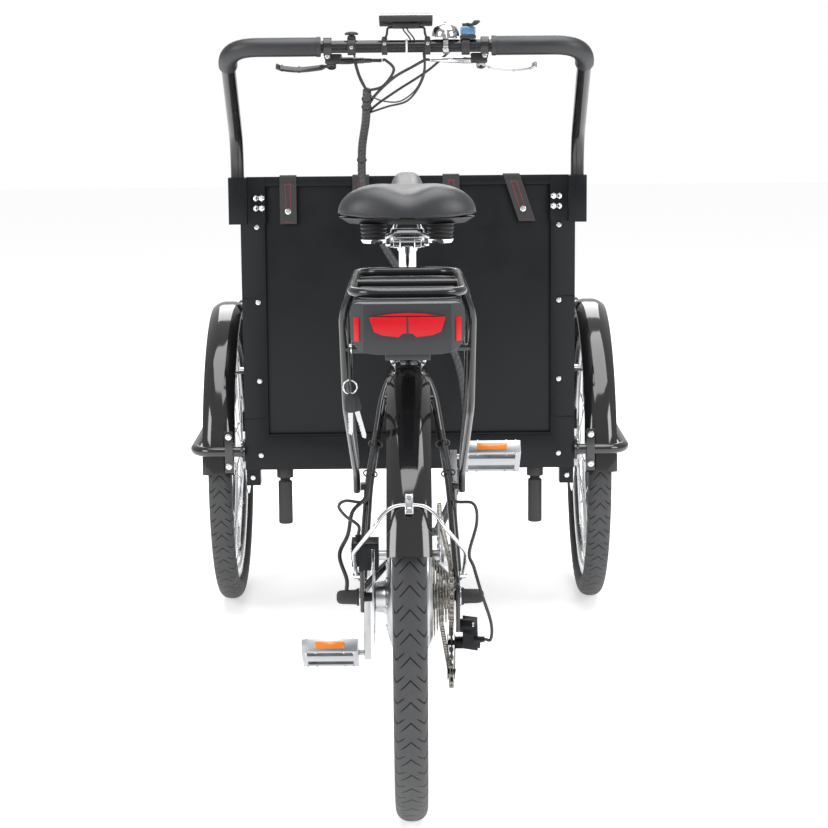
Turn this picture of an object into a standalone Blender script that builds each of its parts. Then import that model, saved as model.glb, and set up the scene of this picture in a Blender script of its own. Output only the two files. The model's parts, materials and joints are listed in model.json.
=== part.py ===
"""Electric cargo tricycle: one driven rear wheel, and a steered front module with a box between two wheels.

Metres, +Z up, the front towards +Y, the rider's right at +X, the ground at Z 0. The pieces are built with the
rear axle at Y 0; the last step moves them all so that the middle of the length lies at Y 0.
"""

from math import asin, atan2, cos, hypot, pi, radians, sin, sqrt

import bmesh
import bpy
from mathutils import Matrix, Quaternion, Vector

# Fits
FIT = 0.0003
RUNNING_FIT = 0.0005
POCKET_FIT = 0.0006

# Wheels
REAR_RADIUS = 0.327
FRONT_RADIUS = 0.300
TYRE_WIDTH = 0.047
TYRE_HEIGHT = 0.0425
RIM_DEPTH = 0.022
SPOKE_RADIUS = 0.0011
SPOKE_COUNT = 24
REAR_SPOKE_COUNT = 36
WHEEL_SEGMENTS = 32
HUB_SEGMENTS = 20
WHEELBASE = 1.316
WHEEL_GAP = 0.055
DISC_RADIUS = 0.080
DISC_THICKNESS = 0.002

# Rear frame
BB_Y = 0.451
BB_Z = 0.284
BB_HALF_WIDTH = 0.034
BB_RADIUS = 0.0215
SEAT_SLOPE = 0.4245
SEAT_TUBE_RADIUS = 0.017
SEAT_TUBE_TOP = 0.715
COLLAR_WALL = 0.0045
SEAT_POST_RADIUS = 0.0136
SEAT_POST_BOTTOM = 0.530
POST_SHOWN = 0.134
BEAM_RADIUS = 0.025
STEP_TUBE_RADIUS = 0.019
STAY_RADIUS = 0.007
STAY_TOP_Z = 0.640
DROPOUT_INNER = 0.0675
DROPOUT_THICKNESS = 0.006
AXLE_RADIUS = 0.007
AXLE_CAP_RADIUS = 0.011

# Steering pivot under the box
PIVOT_Y = 1.296
PIVOT_PIN_RADIUS = 0.015
PIVOT_SLEEVE_RADIUS = 0.030
PIVOT_BOTTOM = 0.232
STOP_INSET = 0.075
STOP_Y = 1.010
STOP_RADIUS = 0.013

# Box
BOX_HALF_WIDTH = 0.320
BOX_REAR = 0.985
BOX_LENGTH_BOTTOM = 0.770
BOX_LENGTH_TOP = 0.870
BOX_BOTTOM = 0.332
BOX_TOP_REAR = 0.900
BOX_TOP_FRONT = 0.800
BOX_WALL = 0.004
POST_WIDTH = 0.046
LOW_RAIL_TOP = 0.398
TOP_RAIL_HEIGHT = 0.018
BOARD = 0.009
CROSSMEMBER_HEIGHT = 0.040
BENCH_TOP = 0.612
BENCH_DEPTH = 0.282
BENCH_BOARD = 0.012
STRAP_WIDTH = 0.032
STRAP_THICKNESS = 0.0022
STRAP_INSET = 0.092
TRACK = 2 * (BOX_HALF_WIDTH + WHEEL_GAP)
STOP_X = BOX_HALF_WIDTH - STOP_INSET
STRAP_X = BOX_HALF_WIDTH - STRAP_INSET

# Handlebar
BAR_Y = 0.687
BAR_Z = 1.139
POLE_LEAN = 0.008
BAR_RADIUS = 0.0111
POLE_RADIUS = 0.0125
POLE_OUTSET = 0.002
POLE_Y = 0.966
POLE_BOTTOM = 0.826
POLE_X = BOX_HALF_WIDTH + POLE_OUTSET
BAR_HALF_WIDTH = POLE_X - POLE_LEAN
SOCKET_HALF = 0.017
SOCKET_BOTTOM = 0.812
GRIP_RADIUS = 0.0170
GRIP_START = 0.148

# Transmission
LINK_PITCH = 0.0127
RING_TEETH = 42
COG_TEETH = (28, 24, 22, 20, 18, 16, 14)
PULLEY_TEETH = 11
COG_SPACING = 0.00425
RING_X = 0.050
SMALL_COG_X = 0.061
TOOTH_WIDTH = 0.002
PLATE_HEIGHT = 0.0082
PLATE_THICKNESS = 0.0010
RUN_POINTS = 6
CRANK_LENGTH = 0.170
CRANK_X = 0.074
PEDAL_X = 0.138
PEDAL_WIDTH = 0.096
PEDAL_TILT = 35.0
UPPER_PULLEY = (0.022, 0.250)
LOWER_PULLEY = (0.048, 0.198)

# Guards and fenders
REAR_FENDER_RADIUS = 0.348
REAR_FENDER_WIDTH = 0.061
FRONT_FENDER_RADIUS = 0.325
FRONT_FENDER_WIDTH = 0.062
FENDER_THICKNESS = 0.0020
FENDER_CROWN = 0.010
GUARD_RADIUS = 0.010
GUARD_OUTSET = 0.046
GUARD_X = TRACK / 2 + GUARD_OUTSET
GUARD_Z = 0.368
GUARD_FRONT = 1.660

# Rack and battery
RACK_Z = 0.802
RACK_HALF_WIDTH = 0.075
RACK_RADIUS = 0.0065
RACK_REAR = -0.230
RACK_FRONT = 0.080
LEG_X = 0.089
BATTERY_HALF_WIDTH = 0.075
BATTERY_BOTTOM = 0.727
BATTERY_TOP = 0.7945
BATTERY_REAR = -0.290
BATTERY_FRONT = 0.100

# Saddle
SADDLE_HALF_WIDTH = 0.104
SADDLE_REAR = 0.078
SADDLE_LENGTH = 0.280
SADDLE_RISE = 0.0305
SADDLE_RAIL_Z = SEAT_TUBE_TOP + POST_SHOWN
SADDLE_UNDER = SADDLE_RAIL_Z + SADDLE_RISE

for old in list(bpy.data.objects):
    bpy.data.objects.remove(old, do_unlink=True)

SHELF = bpy.data.collections.new("electric_cargo_tricycle")
bpy.context.scene.collection.children.link(SHELF)
PIECES = []


def keep(bm):
    """A mesh object for this geometry, with clean corners and its faces outward."""
    bmesh.ops.remove_doubles(bm, verts=bm.verts, dist=1e-6)
    bmesh.ops.dissolve_degenerate(bm, edges=bm.edges, dist=1e-7)
    bmesh.ops.delete(bm, geom=[e for e in bm.edges if not e.link_faces], context="EDGES")
    bmesh.ops.delete(bm, geom=[v for v in bm.verts if not v.link_faces], context="VERTS")
    bmesh.ops.recalc_face_normals(bm, faces=bm.faces)
    mesh = bpy.data.meshes.new("piece")
    bm.to_mesh(mesh)
    bm.free()
    ob = bpy.data.objects.new("piece", mesh)
    SHELF.objects.link(ob)
    return ob


def skin(rings, loop=False):
    """A closed solid through equal rings of points, with flat ends unless the last ring meets the first."""
    bm = bmesh.new()
    rows = [[bm.verts.new(point) for point in ring] for ring in rings]
    pairs = list(zip(rows, rows[1:]))
    if loop:
        pairs.append((rows[-1], rows[0]))
    for low, high in pairs:
        for i in range(len(low)):
            j = (i + 1) % len(low)
            bm.faces.new((low[i], low[j], high[j], high[i]))
    if not loop:
        bm.faces.new(rows[0])
        bm.faces.new(list(reversed(rows[-1])))
    return keep(bm)


def box(low, high):
    """A block between two opposite corners."""
    low, high = Vector(low), Vector(high)
    bm = bmesh.new()
    place = Matrix.Translation((low + high) / 2) @ Matrix.Diagonal((*(high - low), 1.0))
    bmesh.ops.create_cube(bm, size=1.0, matrix=place)
    return keep(bm)


def side_box(side, inner, outer, y0, y1, z0, z1):
    """A block on one side of the middle plane, from inner to outer distance."""
    xs = sorted((side * inner, side * outer))
    return box((xs[0], y0, z0), (xs[1], y1, z1))


def rod(start, end, radius, sides=12, end_radius=None):
    """A straight round bar, or a cone when end_radius differs."""
    start, end = Vector(start), Vector(end)
    way = end - start
    bm = bmesh.new()
    place = Matrix.Translation((start + end) / 2) @ way.to_track_quat("Z", "Y").to_matrix().to_4x4()
    bmesh.ops.create_cone(
        bm,
        cap_ends=True,
        segments=sides,
        radius1=radius,
        radius2=radius if end_radius is None else end_radius,
        depth=way.length,
        matrix=place,
    )
    return keep(bm)


def ball(centre, radius, sides=8, rings=6):
    """A round knob."""
    bm = bmesh.new()
    bmesh.ops.create_uvsphere(
        bm, u_segments=sides, v_segments=rings, radius=radius, matrix=Matrix.Translation(Vector(centre))
    )
    return keep(bm)


def meshed(data, place=None):
    """The clean mesh piece of a curve, or of a mesh object with its modifiers, moved into place."""
    ob = data
    if isinstance(data, bpy.types.Curve):
        ob = bpy.data.objects.new("path", data)
    if not ob.users_collection:
        SHELF.objects.link(ob)
    bpy.context.view_layer.update()
    mesh = bpy.data.meshes.new_from_object(ob.evaluated_get(bpy.context.evaluated_depsgraph_get()))
    bm = bmesh.new()
    bm.from_mesh(mesh)
    bpy.data.objects.remove(ob, do_unlink=True)
    if place is not None:
        bmesh.ops.transform(bm, matrix=place, verts=bm.verts)
    return keep(bm)


def polyline(curve, points, loop):
    """A line of straight stretches in a curve."""
    line = curve.splines.new("POLY")
    line.points.add(len(points) - 1)
    line.use_cyclic_u = loop
    for point, place in zip(line.points, points):
        point.co = (*place, 1.0)
    return line


def prism(outline, axis, low, high):
    """A flat outline pushed along X, Y or Z; the outline holds the two other coordinates in their order."""
    curve = bpy.data.curves.new("outline", "CURVE")
    curve.dimensions = "2D"
    curve.fill_mode = "BOTH"
    curve.extrude = (high - low) / 2
    polyline(curve, [(a, b, 0) for a, b in outline], True)
    across, up, along = {
        "X": ((0, 1, 0), (0, 0, 1), (1, 0, 0)),
        "Y": ((1, 0, 0), (0, 0, 1), (0, -1, 0)),
        "Z": ((1, 0, 0), (0, 1, 0), (0, 0, 1)),
    }[axis]
    turn = Matrix((across, up, along)).transposed().to_4x4()
    middle = Vector([abs(c) * (low + high) / 2 for c in along])
    return meshed(curve, Matrix.Translation(middle) @ turn)


def turned(profile, centre, axis="X", segments=24, phase=0.0):
    """A solid of revolution about an axis; its closed profile holds (distance along, radius)."""
    bm = bmesh.new()
    points = []
    for along, radius in profile:
        a, b = radius * cos(phase), radius * sin(phase)
        points.append(bm.verts.new({"X": (along, a, b), "Y": (a, along, b), "Z": (a, b, along)}[axis]))
    for point, other in zip(points, points[1:] + points[:1]):
        bm.edges.new((point, other))
    mesh = bpy.data.meshes.new("profile")
    bm.to_mesh(mesh)
    bm.free()
    ob = bpy.data.objects.new("profile", mesh)
    turn = ob.modifiers.new("turn", "SCREW")
    turn.axis = axis
    turn.steps = turn.render_steps = segments
    turn.use_merge_vertices = True
    turn.merge_threshold = 1e-6
    return meshed(ob, Matrix.Translation(Vector(centre)))


def rounded(points, radius, steps=5, loop=False):
    """The path with each corner replaced by an arc-like curve that starts radius away from it."""
    points = [Vector(p) for p in points]
    count = len(points)
    out = []
    for i, corner in enumerate(points):
        if not loop and i in (0, count - 1):
            out.append(corner)
            continue
        before = points[i - 1] - corner
        after = points[(i + 1) % count] - corner
        reach = min(radius, before.length * 0.49, after.length * 0.49)
        a = corner + before.normalized() * reach
        b = corner + after.normalized() * reach
        for k in range(steps + 1):
            t = k / steps
            out.append(a * (1 - t) ** 2 + corner * 2 * t * (1 - t) + b * t * t)
    return out


def flowing(points, steps=4):
    """A smooth path through all the points."""
    points = [Vector(p) for p in points]
    ends = [points[0] * 2 - points[1], *points, points[-1] * 2 - points[-2]]
    out = []
    for a, b, c, d in zip(ends, ends[1:], ends[2:], ends[3:]):
        bend = a * 2 - b * 5 + c * 4 - d
        twist = b * 3 - a - c * 3 + d
        for k in range(steps):
            t = k / steps
            out.append((b * 2 + (c - a) * t + bend * t * t + twist * t**3) * 0.5)
    out.append(points[-1])
    return out


def led(points, steps=2):
    """A smooth path whose first and last stretches are straight, so that its ends sit square."""
    return [Vector(points[0]), *flowing(points[1:-1], steps), Vector(points[-1])]


def directions(path, loop):
    """The unit direction of the path at each point."""
    count = len(path)
    out = []
    for i, point in enumerate(path):
        ahead = path[(i + 1) % count] - point if loop or i < count - 1 else None
        behind = point - path[i - 1] if loop or i > 0 else None
        total = Vector()
        for step in (ahead, behind):
            if step is not None:
                total += step.normalized()
        out.append(total.normalized())
    return out


def sweep(path, radius, sides=10, up=(0, 0, 1), loop=False, anchor=0, flat=1.0, swell=None):
    """A tube along a path: a bevelled curve with filled ends, turned so that a flat faces up at the anchor."""
    path = [Vector(p) for p in path]
    ways = directions(path, loop)
    facing = Vector(up) - ways[anchor] * ways[anchor].dot(Vector(up))
    for i in range(anchor, 0, -1):
        facing = ways[i].rotation_difference(ways[i - 1]) @ facing
    first = ways[0].to_track_quat("-Z", "Y") @ Vector((1, 0, 0))
    tilt = -atan2(first.dot(ways[0].cross(facing.normalized())), first.dot(facing.normalized()))
    curve = bpy.data.curves.new("path", "CURVE")
    curve.dimensions = "3D"
    curve.twist_mode = "MINIMUM"
    curve.use_fill_caps = not loop
    section = None
    if flat == 1.0:
        curve.bevel_depth = radius
        curve.bevel_resolution = sides // 2 - 2
        tilt += pi / sides
    else:
        outline = bpy.data.curves.new("section", "CURVE")
        outline.dimensions = "2D"
        turns = [2 * pi * (k + 0.5) / sides for k in range(sides)]
        polyline(outline, [(cos(a) * radius * flat, sin(a) * radius, 0) for a in turns], True)
        section = bpy.data.objects.new("section", outline)
        SHELF.objects.link(section)
        curve.bevel_mode = "OBJECT"
        curve.bevel_object = section
    for i, point in enumerate(polyline(curve, path, loop).points):
        point.tilt = tilt
        point.radius = swell[i] if swell else 1.0
    tube = meshed(curve)
    if section:
        bpy.data.objects.remove(section, do_unlink=True)
    return tube


def combine(base, tool, how):
    """Applies one exact Boolean and removes the tool."""
    change = base.modifiers.new("change", "BOOLEAN")
    change.operation = how
    change.object = tool
    result = bpy.data.meshes.new_from_object(base.evaluated_get(bpy.context.evaluated_depsgraph_get()))
    base.modifiers.clear()
    base.data = result
    bpy.data.objects.remove(tool, do_unlink=True)
    return base


def gather(pieces):
    """One mesh object that holds several loose shells, none of which touch."""
    bm = bmesh.new()
    for piece in pieces:
        bm.from_mesh(piece.data)
        bpy.data.objects.remove(piece, do_unlink=True)
    return keep(bm)


def fuse(base, *others):
    """Joins pieces that overlap into one solid."""
    for other in others:
        combine(base, other, "UNION")
    return base


def cut(base, *tools):
    """Takes the tools out of the piece."""
    for tool in tools:
        combine(base, tool, "DIFFERENCE")
    return base


def finish(ob, name, colour, roughness, metallic=0.0, pivot=(0, 0, 0)):
    """Names the piece, gives it its own material and puts its origin on the joint axis."""
    bm = bmesh.new()
    bm.from_mesh(ob.data)
    bmesh.ops.remove_doubles(bm, verts=bm.verts, dist=2e-6)
    bmesh.ops.dissolve_limit(bm, angle_limit=radians(0.05), verts=bm.verts, edges=bm.edges)
    bmesh.ops.translate(bm, verts=bm.verts, vec=-Vector(pivot))
    bm.to_mesh(ob.data)
    bm.free()
    ob.location = pivot
    ob.name = name
    ob.data.name = name
    look = bpy.data.materials.new(name)
    look.use_nodes = True
    shader = look.node_tree.nodes["Principled BSDF"]
    shader.inputs["Base Color"].default_value = (*colour, 1.0)
    shader.inputs["Roughness"].default_value = roughness
    shader.inputs["Metallic"].default_value = metallic
    ob.data.materials.clear()
    ob.data.materials.append(look)
    PIECES.append(ob)
    return ob


BLACK_GLOSS = (0.012, 0.012, 0.014)
BLACK_SATIN = (0.020, 0.021, 0.024)
BLACK_RUBBER = (0.025, 0.025, 0.026)
SILVER = (0.72, 0.73, 0.75)
CHROME = (0.85, 0.86, 0.88)
RED = (0.55, 0.01, 0.01)

REAR_AXLE = Vector((0, 0, REAR_RADIUS))
BB = Vector((0, BB_Y, BB_Z))


def seat_line(z):
    """The point of the seat tube's axis at this height."""
    return Vector((0, BB_Y - SEAT_SLOPE * (z - BB_Z), z))


def about_rear(x, distance, angle):
    """A point at a distance from the rear axle, its angle measured up from straight ahead."""
    return Vector((x, distance * cos(angle), REAR_RADIUS + distance * sin(angle)))


# Tyres, rims and spokes


def tyre(radius, centre):
    """A closed tyre ring that sits on the rim's outer edge."""
    half = TYRE_WIDTH / 2
    seat = radius - TYRE_HEIGHT + FIT
    profile = [
        (-half * 0.50, seat),
        (-half * 0.96, seat + TYRE_HEIGHT * 0.38),
        (-half * 0.90, seat + TYRE_HEIGHT * 0.74),
        (-half * 0.34, radius),
    ]
    profile += [(-along, r) for along, r in reversed(profile)]
    return turned(profile, centre, "X", WHEEL_SEGMENTS, pi / 2)


def rim(radius, centre):
    """A deep rim whose outer edge carries the tyre."""
    outer = radius - TYRE_HEIGHT
    inner = outer - RIM_DEPTH
    profile = [
        (-0.0130, outer),
        (-0.0138, outer - RIM_DEPTH * 0.45),
        (-0.0060, inner),
        (0.0060, inner),
        (0.0138, outer - RIM_DEPTH * 0.45),
        (0.0130, outer),
    ]
    return turned(profile, centre, "X", WHEEL_SEGMENTS, pi / 2)


def spokes(radius, centre, hub_radius, flange_x, count, lean):
    """Crossed spokes from both hub flanges to the rim, as loose square wires."""
    rim_radius = radius - TYRE_HEIGHT - RIM_DEPTH * 0.6
    wires = []
    for k in range(count):
        side = 1 if k % 2 else -1
        turn = 1 if (k // 2) % 2 else -1
        outer = 2 * pi * (k + 0.5) / count
        inner = outer + turn * lean
        lift = 0.0016 if turn > 0 else -0.0016
        start = Vector((side * flange_x + lift, hub_radius * cos(inner), hub_radius * sin(inner)))
        end = Vector((side * 0.0035, rim_radius * cos(outer), rim_radius * sin(outer)))
        wires.append(rod(centre + start, centre + end, SPOKE_RADIUS, 3))
    return gather(wires)


HUB_FLANGE = 0.074
HUB_SPOKE_X = 0.024
rear_wires = spokes(REAR_RADIUS, REAR_AXLE, HUB_FLANGE - 0.004, HUB_SPOKE_X, REAR_SPOKE_COUNT, radians(22))
rear_rim = fuse(rim(REAR_RADIUS, REAR_AXLE), rear_wires)
hub_room = [(-0.05, 0.0), (-0.05, HUB_FLANGE + FIT), (0.05, HUB_FLANGE + FIT), (0.05, 0.0)]
cut(rear_rim, turned(hub_room, REAR_AXLE, "X", HUB_SEGMENTS))
finish(rear_rim, "rear_rim", SILVER, 0.25, 1.0, REAR_AXLE)
finish(tyre(REAR_RADIUS, REAR_AXLE), "rear_tyre", BLACK_RUBBER, 0.75, 0.0, REAR_AXLE)

hub_profile = [
    (-0.0525, AXLE_RADIUS + FIT),
    (-0.0525, 0.022),
    (-0.0340, 0.026),
    (-0.0320, 0.060),
    (-0.0275, HUB_FLANGE),
    (-0.0205, HUB_FLANGE),
    (-0.0200, 0.069),
    (0.0200, 0.069),
    (0.0205, HUB_FLANGE),
    (0.0275, HUB_FLANGE),
    (0.0330, 0.062),
    (0.0330, AXLE_RADIUS + FIT),
]
hub = turned(hub_profile, REAR_AXLE, "X", HUB_SEGMENTS)
finish(hub, "hub_motor", (0.62, 0.63, 0.65), 0.35, 1.0, REAR_AXLE)


def disc(x, centre, hub_hole, segments=20):
    """A brake disc: a rim on five arms around a centre ring."""
    low, high = x - DISC_THICKNESS / 2, x + DISC_THICKNESS / 2
    track = turned(
        [(low, DISC_RADIUS - 0.016), (low, DISC_RADIUS), (high, DISC_RADIUS), (high, DISC_RADIUS - 0.016)],
        centre,
        "X",
        segments,
    )
    middle = turned([(low, hub_hole), (low, 0.024), (high, 0.024), (high, hub_hole)], centre, "X", 10)
    arms = []
    for k in range(5):
        angle = 2 * pi * k / 5
        turn = Quaternion((1, 0, 0), angle)
        tip = DISC_RADIUS - 0.010
        corners = [(-0.004, 0.020), (0.004, 0.020), (0.009, tip), (0.001, tip)]
        rings = [
            [Vector(centre) + turn @ Vector((level, y, z)) for y, z in corners]
            for level in (low + 0.0001, high - 0.0001)
        ]
        arms.append(skin(rings))
    return fuse(track, middle, *arms)


REAR_DISC_X = -0.0525 - FIT - DISC_THICKNESS / 2
finish(disc(REAR_DISC_X, REAR_AXLE, AXLE_RADIUS + 0.004), "rear_disc", SILVER, 0.3, 1.0, REAR_AXLE)


def front_wheel(side):
    """Rim, spokes, hub and brake disc of one front wheel."""
    centre = Vector((side * TRACK / 2, WHEELBASE, FRONT_RADIUS))
    bore = 0.006 + RUNNING_FIT * 1.5
    hub = turned(
        [
            (-side * 0.0350, bore),
            (-side * 0.0350, 0.021),
            (-side * 0.0235, 0.029),
            (-side * 0.0190, 0.029),
            (-side * 0.0150, 0.015),
            (side * 0.0150, 0.015),
            (side * 0.0190, 0.029),
            (side * 0.0235, 0.029),
            (side * 0.0350, 0.012),
            (side * 0.0350, bore),
        ],
        centre,
        "X",
        16,
    )
    wires = spokes(FRONT_RADIUS, centre, 0.0265, 0.0215, SPOKE_COUNT, radians(62))
    wheel = fuse(rim(FRONT_RADIUS, centre), wires, hub, disc(-side * 0.0340, centre, 0.010, 18))
    return wheel, centre


for side, hand in ((-1, "left"), (1, "right")):
    wheel, centre = front_wheel(side)
    finish(wheel, f"front_wheel_{hand}", SILVER, 0.25, 1.0, centre)
    finish(tyre(FRONT_RADIUS, centre), f"front_tyre_{hand}", BLACK_RUBBER, 0.75, 0.0, centre)

# Rear frame

bore_top = seat_line(SEAT_TUBE_TOP + 0.03)
shell = rod((-BB_HALF_WIDTH, *BB.yz), (BB_HALF_WIDTH, *BB.yz), BB_RADIUS, 20)
seat_tube = rod(seat_line(BB_Z - 0.010), seat_line(SEAT_TUBE_TOP), SEAT_TUBE_RADIUS, 14)
collar_radius = SEAT_TUBE_RADIUS + COLLAR_WALL
collar = rod(seat_line(SEAT_TUBE_TOP - 0.020), seat_line(SEAT_TUBE_TOP + 0.0005), collar_radius, 14)
beam = rod((0, BB_Y + 0.004, BB_Z), (0, PIVOT_Y - 0.022, 0.272), BEAM_RADIUS, 14)
step_path = rounded([seat_line(0.500), (0, 0.560, 0.388), (0, 0.860, 0.284)], 0.10, 4)
step_tube = sweep(step_path, STEP_TUBE_RADIUS, 10, (1, 0, 0))
sleeve_top = BOX_BOTTOM + 0.001 - FIT
sleeve = rod((0, PIVOT_Y, PIVOT_BOTTOM), (0, PIVOT_Y, sleeve_top), PIVOT_SLEEVE_RADIUS, 20)
frame = fuse(shell, seat_tube, collar, beam, step_tube, sleeve)

STAY_AIM = seat_line(STAY_TOP_Z) - REAR_AXLE
SEAT_STAY_ANGLE = atan2(STAY_AIM.z, STAY_AIM.y)
CHAIN_STAY_ANGLE = atan2(BB_Z - REAR_RADIUS, BB_Y)
STAY_OUT = DROPOUT_INNER + DROPOUT_THICKNESS * 0.83
BRIDGE_REACH = REAR_FENDER_RADIUS + FIT + STAY_RADIUS


def seat_stay_x(distance):
    """How far out the seat stay lies at this distance from the axle."""
    wide = STAY_OUT - 0.052 * distance
    if distance <= BRIDGE_REACH:
        return wide - max(0.0, distance - 0.20) * 0.09
    return 0.0405 - (distance - BRIDGE_REACH) * 0.34


for side in (-1, 1):
    reach = STAY_AIM.length
    stops = [0.030, 0.110, 0.200, 0.290]
    path = [about_rear(side * seat_stay_x(d), d, SEAT_STAY_ANGLE) for d in stops]
    path.append(about_rear(side * 0.0410, BRIDGE_REACH, SEAT_STAY_ANGLE))
    path.append(about_rear(side * 0.0330, BRIDGE_REACH + 0.030, SEAT_STAY_ANGLE))
    path.append(about_rear(side * 0.0100, reach, SEAT_STAY_ANGLE))
    seat_stay = sweep(path, STAY_RADIUS, 8, (1, 0, 0))
    low_reach = hypot(BB_Y, BB_Z - REAR_RADIUS)
    path = [
        about_rear(side * STAY_OUT, 0.030, CHAIN_STAY_ANGLE),
        about_rear(side * 0.0660, 0.120, CHAIN_STAY_ANGLE),
        about_rear(side * 0.0500, 0.260, CHAIN_STAY_ANGLE),
        about_rear(side * 0.0385, BRIDGE_REACH, CHAIN_STAY_ANGLE),
        about_rear(side * 0.0240, low_reach, CHAIN_STAY_ANGLE),
    ]
    chain_stay = sweep(path, STAY_RADIUS, 8, (1, 0, 0))
    top = REAR_RADIUS + 0.0507
    outline = [
        (-0.020, REAR_RADIUS - 0.020),
        (0.020, REAR_RADIUS - 0.022),
        (0.040, REAR_RADIUS - 0.010),
        (0.040, REAR_RADIUS + 0.038),
        (-0.004, top),
        (-0.034, top),
    ]
    if side > 0:
        outline = [
            (-0.022, REAR_RADIUS - 0.015),
            (-0.002, REAR_RADIUS - 0.056),
            (0.018, REAR_RADIUS - 0.056),
            (0.040, REAR_RADIUS - 0.012),
            (0.040, REAR_RADIUS + 0.038),
            (-0.020, REAR_RADIUS + 0.022),
        ]
    xs = sorted((side * DROPOUT_INNER, side * (DROPOUT_INNER + DROPOUT_THICKNESS)))
    dropout = prism(outline, "X", *xs)
    boss_at = about_rear(0, 0.194, SEAT_STAY_ANGLE)
    boss_x = seat_stay_x(0.194)
    boss = rod((side * boss_x, *boss_at.yz), (side * 0.0747, *boss_at.yz), 0.0065, 8)
    fuse(frame, seat_stay, chain_stay, dropout, boss)
for angle, half in ((SEAT_STAY_ANGLE, 0.0405), (CHAIN_STAY_ANGLE, 0.0385)):
    start, end = about_rear(-half, BRIDGE_REACH, angle), about_rear(half, BRIDGE_REACH, angle)
    fuse(frame, rod(start, end, STAY_RADIUS, 8))
cut(
    frame,
    rod((-0.1, 0, REAR_RADIUS), (0.1, 0, REAR_RADIUS), AXLE_RADIUS + FIT, 16),
    rod((-0.05, *BB.yz), (0.05, *BB.yz), 0.0085 + FIT, 20),
    rod(seat_line(SEAT_POST_BOTTOM - 0.02), bore_top, SEAT_POST_RADIUS + FIT, 14),
    rod((0, PIVOT_Y, 0.20), (0, PIVOT_Y, 0.36), PIVOT_PIN_RADIUS + FIT * 2, 20),
)
finish(frame, "main_frame", BLACK_GLOSS, 0.12)

nut_face = DROPOUT_INNER + DROPOUT_THICKNESS + FIT
spacer_left = abs(REAR_DISC_X) + DISC_THICKNESS / 2 + FIT
spacer_right = 0.0652 + FIT
half_profile = [
    (DROPOUT_INNER - FIT, 0.010),
    (DROPOUT_INNER - FIT, AXLE_RADIUS),
    (nut_face, AXLE_RADIUS),
    (nut_face, 0.0130),
    (nut_face + 0.0055, 0.0130),
    (nut_face + 0.0065, AXLE_CAP_RADIUS),
    (0.1030, AXLE_CAP_RADIUS),
    (0.1090, 0.0050),
    (0.1090, 0.0),
]
axle_profile = [(-x, r) for x, r in reversed(half_profile)]
axle_profile += [(-spacer_left, 0.010), (-spacer_left, AXLE_RADIUS)]
axle_profile += [(spacer_right, AXLE_RADIUS), (spacer_right, 0.010), *half_profile]
axle = turned(axle_profile, REAR_AXLE, "X", 12)
finish(axle, "rear_axle", BLACK_RUBBER, 0.6)

# Rear fender, its wire stay, and the rear brake


def crowned(radius, width, thickness, crown):
    """A fender's cross section as (across, radius): a crowned shell with turned-down lips."""
    half = width / 2
    outer = [(half * t, radius - crown * max(0.0, (abs(t) - 0.4) / 0.6) ** 2) for t in (-1.0, -0.4, 0.4, 1.0)]
    lip = radius - crown - 0.009
    inner = [(across * (1 - thickness / half), r - thickness) for across, r in reversed(outer)]
    edge = half - thickness
    return [*outer, (half, lip), (edge, lip), *inner, (-edge, lip), (-half, lip)]


def fender(centre, radius, width, thickness, crown, angles):
    """The cross section spun round the wheel's axle through the given angles, with its two ends filled."""
    bm = bmesh.new()
    section = []
    for along, reach in crowned(radius, width, thickness, crown):
        spot = Vector((along, reach * cos(angles[0]), reach * sin(angles[0])))
        section.append(bm.verts.new(Vector(centre) + spot))
    ring = [bm.edges.new(pair) for pair in zip(section, section[1:] + section[:1])]
    bmesh.ops.contextual_create(bm, geom=ring)
    for low, high in zip(angles, angles[1:]):
        spun = bmesh.ops.spin(bm, geom=ring, cent=centre, axis=(1, 0, 0), angle=high - low, steps=1)
        ring = [piece for piece in spun["geom_last"] if isinstance(piece, bmesh.types.BMEdge)]
    bmesh.ops.contextual_create(bm, geom=ring)
    return keep(bm)


def spread(stops, steps):
    """Angles evenly spaced between stops, each stop included."""
    out = [stops[0]]
    for low, high, count in zip(stops, stops[1:], steps):
        out += [low + (high - low) * (k + 1) / count for k in range(count)]
    return out


angles = spread([radians(-13), CHAIN_STAY_ANGLE, SEAT_STAY_ANGLE, radians(157)], (1, 5, 11))
rear_fender = fender(
    REAR_AXLE, REAR_FENDER_RADIUS, REAR_FENDER_WIDTH, FENDER_THICKNESS, FENDER_CROWN, angles
)
finish(rear_fender, "rear_fender", BLACK_GLOSS, 0.08)

WIRE = 0.0028
HOLD = REAR_FENDER_RADIUS + WIRE + FIT
half_wire = [
    Vector((0.0790, -0.004, 0.3605)),
    Vector((0.0795, -0.130, 0.424)),
    about_rear(0.0470, HOLD - 0.004, radians(150.5)),
    about_rear(0.0350, HOLD, radians(147.5)),
    about_rear(0.0180, HOLD, radians(145.5)),
]
wire_path = [Vector((-p.x, p.y, p.z)) for p in half_wire] + list(reversed(half_wire))
wire = sweep(rounded(wire_path, 0.02, 2), WIRE, 6, (1, 0, 0))
hold_angle = radians(145.5)
hold = about_rear(0, HOLD + WIRE + 0.0002, hold_angle)
turn = Matrix.Rotation(hold_angle - pi / 2, 4, "X")
bm = bmesh.new()
bmesh.ops.create_cube(
    bm, size=1.0, matrix=Matrix.Translation(hold) @ turn @ Matrix.Diagonal((0.011, 0.029, 0.003, 1.0))
)
plate = keep(bm)
fuse(wire, plate)
for side in (-1, 1):
    x = side * (DROPOUT_INNER + DROPOUT_THICKNESS + FIT)
    fuse(wire, rod((x, -0.004, 0.3605), (x + side * 0.0080, -0.004, 0.3605), 0.0055, 10))
finish(wire, "rear_fender_stay", SILVER, 0.25, 1.0)

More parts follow.
